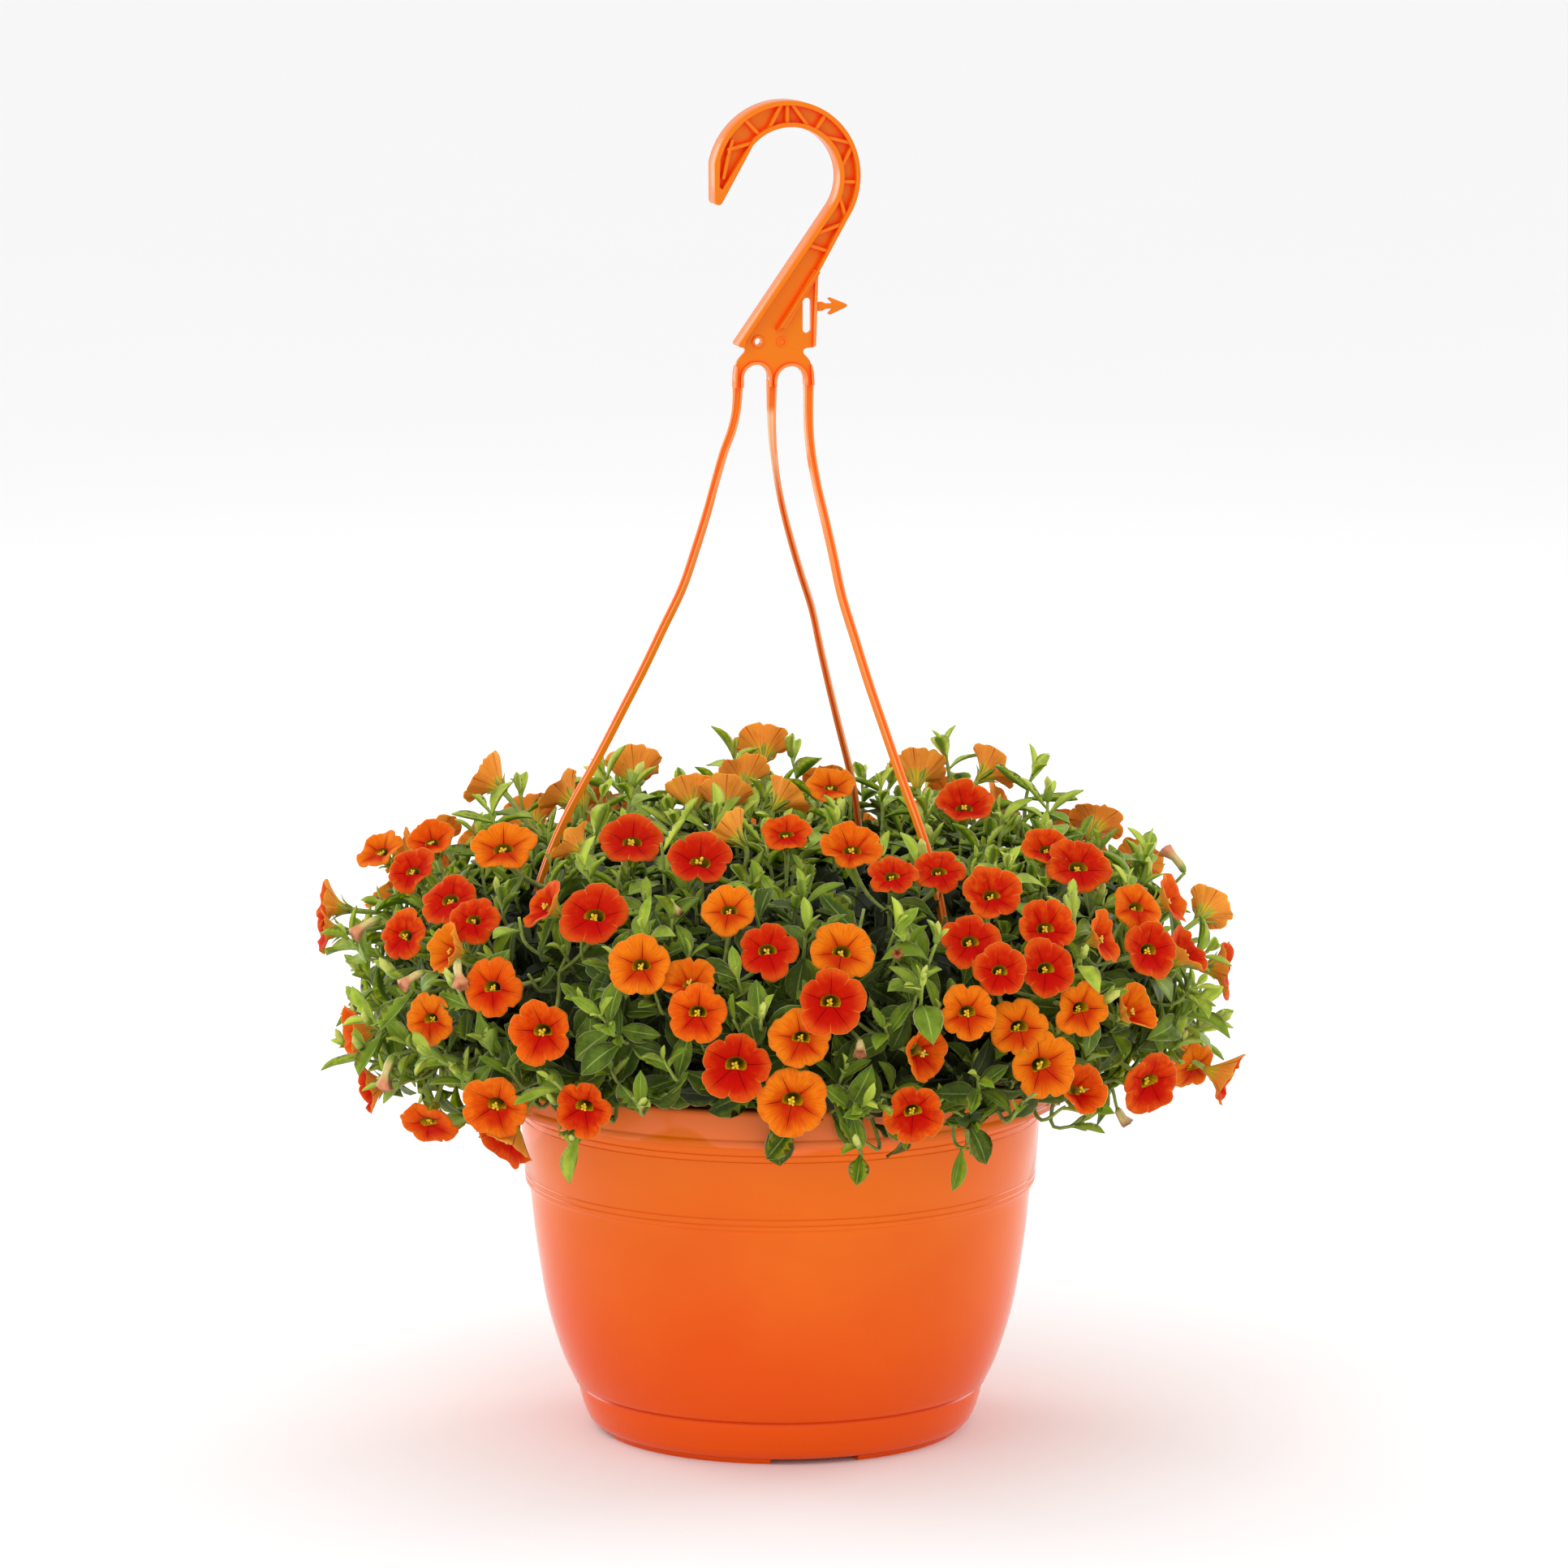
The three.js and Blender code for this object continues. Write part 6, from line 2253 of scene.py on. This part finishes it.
@dataclass
class HeadShapes:
    """A bud, a spent bloom and a dry calyx, each of length 1 along X, by place, radius and colour."""

    GREEN = (132, 160, 50)
    LEMON = (196, 204, 96)
    STRAW = (222, 200, 128)
    SALMON = (226, 146, 104)
    RUST = (176, 100, 60)

    sides: int = 10
    bend: float = 0.08
    bud: tuple[tuple, ...] = (
        (0.0, 0.07, GREEN), (0.12, 0.16, GREEN), (0.4, 0.17, GREEN), (0.55, 0.13, LEMON), (0.8, 0.14, LEMON),
        (1.0, 0.03, LEMON),
    )
    spent: tuple[tuple, ...] = (
        (0.0, 0.05, GREEN), (0.1, 0.1, GREEN), (0.3, 0.11, STRAW), (0.55, 0.1, STRAW), (0.75, 0.15, SALMON),
        (0.92, 0.22, SALMON), (1.0, 0.12, RUST), (0.86, 0.05, RUST),
    )
    dry: tuple[tuple, ...] = (
        (0.0, 0.07, GREEN), (0.2, 0.17, STRAW), (0.6, 0.2, STRAW), (1.0, 0.3, RUST), (0.7, 0.12, RUST),
        (0.3, 0.06, RUST),
    )

    def mesh(self, profile: tuple[tuple, ...], ruffle: float) -> Mesh:
        """Makes one of them.

        Args:
            profile: its places, radii and colours.
            ruffle: how deep its five folds are.

        Returns:
            Its mesh, with the dye of each point.
        """
        angle = circle(self.sides)
        folds = 1 + ruffle * np.cos(5 * angle)
        rows = [hoop(x, r * folds, angle) + [0, 0, self.bend * math.sin(math.pi * x)] for x, r, _ in profile]
        dyes = [np.tile(paint(*colour)[:3], (self.sides, 1)) for _, _, colour in profile]
        return ringed("head", np.array(rows), {"dye": np.array(dyes)})

    def kinds(self) -> Collection:
        """Returns the three as a collection."""
        return kinds_of("head", [self.mesh(self.bud, 0.06), self.mesh(self.spent, 0.22), self.mesh(self.dry, 0.22)])


@dataclass
class Plants:
    """Three plants: stems in the soil, branches, leafy shoots, buds, and a dark inside painted as shade."""

    bed: BloomBed
    room: Room
    count: int = 3
    turn: float = -21
    trunk: tuple[float, float] = (4 * MM, 3.2 * MM)
    trunk_ring: float = 62 * MM
    trunk_heights: tuple[float, float, float] = (132 * MM, 170 * MM, 225 * MM)
    branch: tuple[float, float] = (1.5 * MM, 1.2 * MM)
    twig: tuple[float, float] = (1.35 * MM, 0.75 * MM)
    spent_stalk: tuple[float, float] = (1.1 * MM, 0.8 * MM)
    shoots: int = 380
    fillers: int = 230
    rim_shoots: int = 34
    spent_around: int = 12
    most_leaves: int = 14
    golden: float = 137.508
    leaf_room: float = 1.1 * MM
    largest: float = 25 * MM
    smallest: float = 9.5 * MM
    seat_depth: float = 44 * MM
    # The crown's top as a share of the way to its hem, its shoulders above a height and beyond a distance
    # to the side, and its flanks beyond another.
    top: float = 0.42
    shoulder: tuple[float, float] = (252 * MM, 95 * MM)
    flank: float = 125 * MM
    # How many shoots are left out on the top and the shoulders, and on the flanks.
    thinned: tuple[float, float] = (0.58, 0.36)
    # How far shoots stand off the crown, in mm: on the shoulders, on the top and elsewhere, and the fillers.
    lifts: Pairs = ((-27, -9), (-22, -2), (-13, 3))
    filler_lift: tuple[float, float] = (-30, -15)
    # Where a leaf is tested for room: shares of its length along it and to its side.
    probe: Pairs = ((0.3, 0), (0.55, 0.15), (0.55, -0.15), (0.75, 0), (1.0, 0))
    # The core's outline: shares of its radius below and above its widest place.
    core_low: tuple[float, ...] = (0.0, 0.5, 0.8, 0.95)
    core_high: tuple[float, ...] = (0.95, 0.84, 0.66, 0.4, 0.0)
    core_size: float = 0.93
    core_gap: float = 0.002
    leaves: list[Sites] = field(default_factory=list)
    stems: list[Lines] = field(default_factory=list)
    heads: Sites = field(default_factory=Sites)

    def plant_of(self, place: Array) -> int:
        """Returns which plant a place belongs to."""
        azimuth = math.degrees(math.atan2(place[0], -place[1]))
        return int(((azimuth - self.turn + 360) % 360) / (360 / self.count))

    def surface(self, azimuth: float, share: float) -> Array:
        """Finds a place on the crown.

        Args:
            azimuth: its azimuth.
            share: how far it is on the way from the top to the hem.

        Returns:
            The place.
        """
        tilt = math.radians(2 + 128 * share)
        way = towards(azimuth) * math.sin(tilt) + [0, 0, math.cos(tilt) * 0.62]
        steps = np.array([0, 0, CROWN.middle - 4 * MM]) + way * (np.arange(700) * 0.5 * MM)[:, None]
        return steps[int(np.argmax(CROWN.value(steps) >= 1))]

    def front_places(self, spots: Pairs) -> list[Array]:
        """Returns the places just before the crown that show at spots of the front view."""
        seen = [CROWN.seen_at(VIEW, across, up) for across, up in spots]
        return [place + to_viewer * 4 * MM for place, to_viewer in seen]

    def shoot_tips(self) -> list[tuple[Array, float]]:
        """Finds where shoots end.

        Returns:
            Each tip's place, and how far it stands out of the leaves, from 0 to 1, raised as painted light on the
            top and the outer sides.
        """
        draws = Draws(401)
        tips = [(place, 1.0) for place in self.front_places(FRONT_SHOOTS)]
        for i in range(self.shoots):
            share = (i + 0.5) / self.shoots
            share = math.sqrt(share) * 0.55 + share * 0.45
            place = self.surface(math.radians(i * self.golden) + draws.about(0.05), share)
            aside = abs(place[0])
            on_top, on_shoulder = share < self.top, place[2] > self.shoulder[0] and aside > self.shoulder[1]
            sparse = self.thinned[1] if aside > self.flank else 0.0
            if draws.next() < (self.thinned[0] if on_shoulder or on_top else sparse):
                continue
            lift = draws.between(*self.lifts[0 if on_shoulder else 1 if on_top else 2])
            # Painted light: shoots on the top and the outer sides are made fresher and lighter, as if lit from
            # behind.
            edge = 0.35 * (share < 0.4 or aside > 150 * MM)
            tips.append((place + CROWN.outward(place) * lift * MM, draws.between(0, 0.65) + edge))
        for i in range(self.fillers):
            place = self.surface(math.radians(40 + i * self.golden), 0.3 + 0.68 * (i + 0.5) / self.fillers)
            lift = draws.between(*self.filler_lift)
            # Fillers lie deeper and are toned darker: partly age, partly painted shade.
            tips.append((place + CROWN.outward(place) * lift * MM, draws.between(-0.3, 0.1)))
        for i in range(self.rim_shoots):
            place = towards(TAU * i / self.rim_shoots) * (draws.between(138, 152) * MM)
            tips.append((place + [0, 0, draws.between(184, 196) * MM], 0.1))
        return tips

    def stem_line(self, tip: Array, out: Array, draws: Draws) -> Array:
        """Draws the bowed middle line of a shoot, from inside the core to its tip.

        Args:
            tip: where it ends.
            out: the direction out of the crown there.
            draws: the numbers that bend it.

        Returns:
            Its points, one a row.
        """
        foot = self.bed.seat(tip - out * self.seat_depth)
        reach = np.linalg.norm(tip - foot)
        rise = unit(out * 0.7 + [draws.about(0.25), draws.about(0.25), draws.between(0.25, 0.75)])
        low = foot + unit(tip - foot) * reach * 0.35 - [0, 0, reach * 0.04]
        return catmull(np.array([foot, low, tip - rise * reach * 0.3, tip]), 15)

    def left_out(self, probe: Array, draws: Draws) -> bool:
        """Tells whether a leaf has no room, or hides what should show.

        Args:
            probe: points of the leaf, one a row.
            draws: the numbers that let a few leaves stay before blooms and arms.

        Returns:
            Whether it is left out.
        """
        room = self.room
        if not room.clear(probe, self.leaf_room).all() or room.before_rim(probe):
            return True
        if max(room.before_bloom(probe, 24 * MM), room.before_face(probe)) > 0.25 and draws.next() < 0.88:
            return True
        return room.before_arm(probe, 4.5 * MM) and draws.next() < 0.9

    def leaves_along(self, line: Array, fresh: float, draws: Draws) -> int:
        """Sets leaves down a shoot from its tip, where there is room for them.

        Args:
            line: the shoot's middle line, which ends at its tip.
            fresh: how young and light it is, from 0 to 1.
            draws: the numbers that vary the leaves.

        Returns:
            How many it carries.
        """
        tip, grown = line[-1], 0
        sites = self.leaves[self.plant_of(tip)]
        # Painted light: leaves of tips on the top and on the flanks are toned lighter, as if lit from behind.
        shade = 0.55 if tip[2] > 286 * MM else 0.8 if abs(tip[0]) > self.flank else 1.0
        length = np.append(0, np.cumsum(np.linalg.norm(np.diff(line, axis=0), axis=1)))
        azimuth = draws.next() * 360
        for n in range(self.most_leaves):
            below = (0.8 + 1.5 * n + 0.3 * n * n) * MM
            if below > length[-1] * 0.8:
                break
            at = length[-1] - below
            base = np.array([np.interp(at, length, line[:, k]) for k in range(3)])
            i = min(int(np.searchsorted(length, at)), len(line) - 1)
            way = unit(line[i] - line[max(i - 2, 0)])
            azimuth += self.golden + draws.about(14)
            around = ray(level_pair(way), math.radians(azimuth))
            lean = math.radians(min(20 + 12 * n, 86) + draws.about(10))
            along = unit(way * math.cos(lean) + around * math.sin(lean) + [0, 0, draws.between(-0.12, 0.16)])
            over = unit(way * math.sin(lean) - around * math.cos(lean) + [0, 0, 0.3])
            size = self.smallest + (self.largest - self.smallest) * (1 - math.exp(-n / 2.2))
            size *= draws.between(0.8, 1.14)
            first, kinds = (0, len(NARROW)) if n < 4 else (len(NARROW), len(GROWN))
            kind = first + int(draws.between(0, kinds))
            # Leaves further from the tip are toned darker: older, and deeper in painted shade.
            tone = min(0.03 + 0.08 * n, 0.68) + 0.28 * (1 - fresh) * min(1, n / 4 + 0.45) + draws.about(0.08)
            side = np.cross(over, along)
            if self.left_out(np.array([base + along * size * s + side * size * w for s, w in self.probe]), draws):
                continue
            sites.add(base, along, over, size, kind, min(max(tone * shade, 0.0), 0.85))
            grown += 1
        return grown

    def leafy_shoot(self, tip: Array, fresh: float, draws: Draws) -> bool:
        """Grows one shoot where there is room for its tip and for most of its stem.

        Args:
            tip: where it ends.
            fresh: how young and light it is, from 0 to 1.
            draws: the numbers that shape it.

        Returns:
            Whether it was grown.
        """
        room, end = self.room, tip[None]
        hidden = room.before_bloom(end, 26 * MM) or room.before_face(end) or room.before_rim(end)
        if hidden or not room.clear(end, 2.2 * MM).all():
            return False
        out = CROWN.outward(tip)
        line = self.stem_line(tip, out, draws)
        if room.clear(line[5:], 0.8 * MM).mean() < 0.89 or self.leaves_along(line, fresh, draws) < 3:
            return False
        # Stems are toned darkest at their feet inside the crown: partly age, partly painted shade.
        self.stems[self.plant_of(tip)].add(line, self.twig, (1.0, 0.3 - 0.3 * fresh))
        if draws.next() < 0.14 + 0.16 * fresh:
            way = unit(line[-1] - line[-3])
            tilt = unit(way + [draws.about(0.4), draws.about(0.4), 0.1])
            self.heads.add(tip - way * 1.5 * MM, tilt, out, draws.between(9, 13) * MM, 0, 0.1)
        return True

    def spent(self) -> None:
        """Adds spent blooms and dry calyces, those of the front view and some all round."""
        draws = Draws(503)
        places = self.front_places(FRONT_SPENT)
        for i in range(self.spent_around):
            places.append(self.surface(math.radians(100 + i * self.golden), draws.between(0.45, 0.95)))
        for i, place in enumerate(places):
            if not self.room.clear(place[None], 2 * MM).all() or self.room.before_rim(place[None] - [0, 0, 8 * MM]):
                continue
            out = CROWN.outward(place)
            way = unit(out * 0.5 + [draws.about(0.5), draws.about(0.3), draws.between(-0.9, 0.1)])
            kind, size = (1, draws.between(13, 17)) if i % 3 else (2, 9)
            self.heads.add(place - out * 2 * MM, way, out, size * MM, kind, 0.5)
            points = [self.bed.seat(place - out * self.seat_depth), place - out * 16 * MM, place - out * 2 * MM]
            self.stems[self.plant_of(place)].add(catmull(np.array(points), 10), self.spent_stalk, (1.0, 0.2))

    def trunks(self) -> None:
        """Adds each plant's stem in the soil and its branches to the trusses."""
        soil, middle, top = self.trunk_heights
        for plant, lines in enumerate(self.stems):
            out = towards(math.radians(self.turn + 360 / self.count * (plant + 0.5))) * self.trunk_ring
            points = [out + [0, 0, soil], out + [0, 0, middle], out * 1.05 + [0, 0, top]]
            lines.add(catmull(np.array(points), 12), self.trunk, (1.0, 1.0))
        for truss in self.room.trusses:
            sag = 0.5 * (truss.seat + truss.root) - [0, 0, 2 * MM]
            line = catmull(np.array([truss.seat, sag, truss.root]), 9)
            self.stems[self.plant_of(truss.root)].add(line, self.branch, (1.0, 0.6))

    def core_mesh(self, plant: int) -> Mesh:
        """Makes one plant's part of the lumpy inside, painted dark as the shade within the crown.

        Args:
            plant: its number.

        Returns:
            A closed mesh.
        """
        ways = [(share, -CORE.down, CORE.down_power) for share in self.core_low]
        ways += [(1.0, CORE.up, CORE.up_power)]
        ways += [(share, CORE.up, CORE.up_power) for share in self.core_high]
        profile = [
            (CORE.radius * share, CORE.middle + rise * (1 - share**CORE.side) ** (1 / power))
            for share, rise, power in ways
        ]
        line = catmull(np.array(profile), 30)
        height = CORE.middle + (line[:, 1] - CORE.middle) * self.core_size
        start, span = math.radians(self.turn + 360 / self.count * plant), TAU / self.count
        rows = []
        for a in start + np.linspace(self.core_gap, span - self.core_gap, 26):
            lump = 1 + 0.05 * math.sin(9 * a) * np.sin(line[:, 1] * 170 + 2 * a) + 0.03 * math.sin(17 * a + 1)
            lump[[0, -1]] = 1
            r = line[:, 0] * self.core_size * lump
            rows.append(np.stack([r * math.sin(a), -r * math.cos(a), height], 1))
        return ringed("core", np.array(rows))

    def grow(self, blooms: Blooms) -> None:
        """Grows all shoots, leaves, stems and heads.

        Args:
            blooms: the blooms whose calyces and stalks the plants carry.
        """
        self.leaves = [Sites() for _ in range(self.count)]
        self.stems = [Lines() for _ in range(self.count)]
        draws = Draws(307)
        grown = sum(self.leafy_shoot(tip, fresh, draws) for tip, fresh in self.shoot_tips())
        LOG.info("%d shoots, %d leaves", grown, sum(len(sites.places) for sites in self.leaves))
        self.trunks()
        self.spent()
        draws = Draws(601)
        for truss in self.room.trusses:
            plant = self.plant_of(truss.root)
            for bloom in truss.blooms:
                blooms.sepal_sites(bloom, self.leaves[plant], draws)
                blooms.stalk_lines(bloom, truss, self.stems[plant])

    def build(self, blooms: Blooms, leaf: Material, stem: Material, head: Material) -> None:
        """Makes the plants' pieces and places them.

        Args:
            blooms: the blooms whose calyces and stalks the plants carry.
            leaf: the leaves' material.
            stem: the stems'.
            head: the one of buds and spent blooms.
        """
        self.grow(blooms)
        sites, stems, cover = site_tree(), stem_tree(), cover_tree()
        kinds = kinds_of("leaf", [shape.mesh() for shape in (*LEAVES, SEPAL)])
        plain = kinds_of("plain_leaf", [shape.mesh() for shape in PLAIN])
        # The inner leaves get a dark tone: painted shade inside the crown.
        strewn = {"Spacing": 9.5 * MM, "Smallest": 17 * MM, "Largest": 26 * MM, "Lean": 1.1, "Tone": 0.9}
        for plant in range(self.count):
            name, leafy = f"plant_{plant + 1}", {"Kinds": kinds, "Size": 1.0, "Variation": 0.05}
            mesh = sites.grow(self.leaves[plant].mesh(), **leafy, Seed=5 + plant, Material=leaf)
            place_piece(f"{name}_leaves", mesh, "foliage", name)
            mesh = stems.grow(self.stems[plant].mesh(), Sides=5, Thickness=1.0, Material=stem)
            place_piece(f"{name}_stems", mesh, "foliage", name)
            core = self.core_mesh(plant)
            mesh = cover.grow(core.copy(), Kinds=plain, **strewn, Seed=40 + plant, Material=leaf)
            place_piece(f"{name}_inner_leaves", mesh, "foliage")
            # The core takes the darkest tone: a dark sheet painted as the shade inside the crown.
            value_layer(core, "tone", np.full(len(core.vertices), 1.0))
            place_piece(f"{name}_core", dress(core, leaf), "foliage")
        kinds = HeadShapes().kinds()
        mesh = sites.grow(self.heads.mesh(), Kinds=kinds, Size=1.0, Variation=0.1, Seed=9, Material=head)
        place_piece("buds_and_spent_blooms", mesh, "foliage")


# ------------------------------------------------------------------ soil
@dataclass
class Soil:
    """The substrate in the pot: a rough mound with crumbs on it."""

    gap: float = 0.5 * MM
    mound: float = 169 * MM
    edge: float = 162 * MM
    radius: float = 120
    sides: int = 72
    rough: float = 1.1 * MM
    # The inside of the pot's wall: radius and height in mm.
    wall: Pairs = ((92, 7.3), (94, 19), (108.6, 60), (116.9, 112), (120, 140))
    # A crumb's rings along X and their radii, and how wide and long each kind is.
    crumb: Pairs = ((-0.9, 0.4), (-0.3, 0.95), (0.4, 0.85), (0.9, 0.35))
    crumb_kinds: Pairs = ((0.8, 0.9), (0.6, 1.1), (0.12, 2.4))

    def mesh(self) -> Mesh:
        """Makes the mound.

        Returns:
            A closed mesh that fills the pot.
        """
        side = [(r * MM - self.gap, z * MM) for r, z in self.wall]
        top = [(self.wall[-1][0] * MM + 1.9 * MM, self.edge)]
        rise = self.mound - self.edge
        top += [(r * MM, self.edge + rise * (1 - (r / self.radius) ** 2)) for r in range(112, 0, -8)]
        angle = circle(self.sides)
        rows = turned(np.array([(8 * MM, side[0][1]), (50 * MM, side[0][1]), *side, *top]), angle)
        first = len(side) + 3
        x, y = rows[first:, :, 0], rows[first:, :, 1]
        clods = np.sin(x * 310) * np.sin(y * 270 + 1) + 0.6 * np.sin(np.hypot(x, y) * 700 + angle * 5)
        rows[first:, :, 2] += clods * self.rough
        return ringed("soil", rows)

    def top_only(self, mesh: Mesh) -> Mesh:
        """Copies the faces that look up, above the pot's shoulder.

        Args:
            mesh: the mound.

        Returns:
            A mesh of those faces.
        """
        keep = [p for p in mesh.polygons if p.normal.z > 0.5 and p.center.z > self.edge - 2 * MM]
        top = bpy.data.meshes.new("soil_top")
        top.from_pydata([v.co.to_tuple() for v in mesh.vertices], [], [tuple(p.vertices) for p in keep])
        return top

    def crumbs(self) -> list[Mesh]:
        """Makes rough crumbs of size 1.

        Returns:
            Two lumps and a short fibre.
        """
        meshes, angle = [], circle(6)
        for number, (wide, long) in enumerate(self.crumb_kinds):
            rough = [1 + 0.25 * np.sin(3 * angle + 2 * k + number) for k in range(len(self.crumb))]
            rings = [hoop(x * long, wide * r * uneven, angle) for (x, r), uneven in zip(self.crumb, rough)]
            meshes.append(ringed("crumb", np.array(rings)))
        return meshes

    def build(self, material: Material) -> None:
        """Makes the soil and its crumbs and places them.

        Args:
            material: the moist substrate.
        """
        mesh = self.mesh()
        crumbs = cover_tree().grow(
            self.top_only(mesh), Kinds=kinds_of("crumb", self.crumbs()), Spacing=9 * MM, Smallest=1.2 * MM,
            Largest=3.4 * MM, Lean=0.6, Tone=0.0, Seed=77, Material=material,
        )
        place_piece("soil_mound", dress(mesh, material), "soil", "potting_soil")
        place_piece("soil_crumbs", crumbs, "soil")


# ------------------------------------------------------------------ studio
@dataclass
class Studio:
    """The pale floor, the soft lights and the camera."""

    camera_shift: float = 1.8 * MM
    frame_width: float = 738.8 * MM
    sensor: float = 36.0
    floor: float = 40.0
    world: float = 1.0
    aim: tuple[float, float, float] = (0, 0, 0.25)
    # Each lamp's name, place, size and power.
    lamps: tuple[tuple, ...] = (
        ("key", (-1.2, -1.8, 2.4), 1.6, 14),
        ("fill", (0.3, -2.6, 0.35), 1.4, 9),
        ("left_edge", (-1.9, 1.5, 0.7), 1.3, 20),
        ("right_edge", (1.9, 1.5, 0.7), 1.3, 20),
    )

    def camera(self) -> None:
        """Sets the camera at the front view's angle."""
        data = bpy.data.cameras.new("camera")
        data.sensor_width = self.sensor
        data.lens = self.sensor * VIEW.distance / self.frame_width
        data.clip_end = 200
        eye = bpy.data.objects.new("camera", data)
        eye.location = (VIEW.eye() + [self.camera_shift, 0, 0]).tolist()
        eye.rotation_euler = Vector(VIEW.ahead().tolist()).to_track_quat("-Z", "Y").to_euler()
        bpy.context.scene.collection.objects.link(eye)
        bpy.context.scene.camera = eye

    def lamp(self, name: str, place: tuple[float, float, float], size: float, power: float) -> None:
        """Adds a square soft light that looks at the pot.

        Args:
            name: its name. The fill doesn't show in reflections.
            place: where it hangs.
            size: its side.
            power: its power in watts.
        """
        data = bpy.data.lights.new(name, "AREA")
        data.size = size
        data.energy = power
        lamp = bpy.data.objects.new(name, data)
        lamp.location = place
        lamp.rotation_euler = (Vector(self.aim) - Vector(place)).to_track_quat("-Z", "Y").to_euler()
        lamp.visible_glossy = name != "fill"
        bpy.context.scene.collection.objects.link(lamp)

    def build(self) -> None:
        """Makes the floor, the light and the camera."""
        self.camera()
        mesh = bpy.data.meshes.new("floor")
        f = self.floor
        mesh.from_pydata([(-f, -f, 0), (f, -f, 0), (f, f, 0), (-f, f, 0)], [], [(0, 1, 2, 3)])
        linked(dress(mesh, FloorFinish().material()))
        world = bpy.data.worlds.new("studio")
        world.use_nodes = True
        colour, strength = world.node_tree.nodes["Background"].inputs[:2]
        colour.default_value = (1, 1, 1, 1)
        strength.default_value = self.world
        bpy.context.scene.world = world
        for lamp in self.lamps:
            self.lamp(*lamp)
        bpy.context.scene.view_settings.view_transform = "Standard"


def main() -> None:
    """Builds the studio and every piece in order."""
    logging.basicConfig(level=logging.INFO, format="%(message)s")
    Studio().build()
    # Both plastics paint light into their colour: upper against lower by height, the edge band as a highlight, and
    # the hollows as shade and glow.
    pot_plastic = MouldedPlastic(
        "pot_plastic", upper=paint(238, 110, 12), lower=paint(226, 80, 0), hollow=paint(214, 60, 2),
        edge=paint(255, 126, 64), bottom=0.03, top=0.16,
    )
    hanger_plastic = MouldedPlastic(
        "hanger_plastic", upper=paint(231, 121, 2), lower=paint(238, 130, 26), hollow=paint(255, 64, 4),
        edge=paint(230, 116, 2), bottom=0.3, top=0.5, roughness=0.2,
    )
    hanger = Hanger()
    Pot().build([math.radians(arm.azimuth) for arm in hanger.arms], pot_plastic.material())
    hanger.build(hanger_plastic.material())
    Soil().build(SoilFinish().material())
    bed, blooms = BloomBed(), Blooms()
    flowers = bed.blooms()
    trusses = bed.trusses(flowers)
    blooms.petals(trusses, PetalFinish().material())
    blooms.stamens(flowers, site_tree(), AntherFinish().material())
    plants = Plants(bed, Room(flowers, trusses, hanger))
    plants.build(blooms, LeafFinish().material(), StemFinish().material(), HeadFinish().material())


if __name__ == "__main__":
    main()
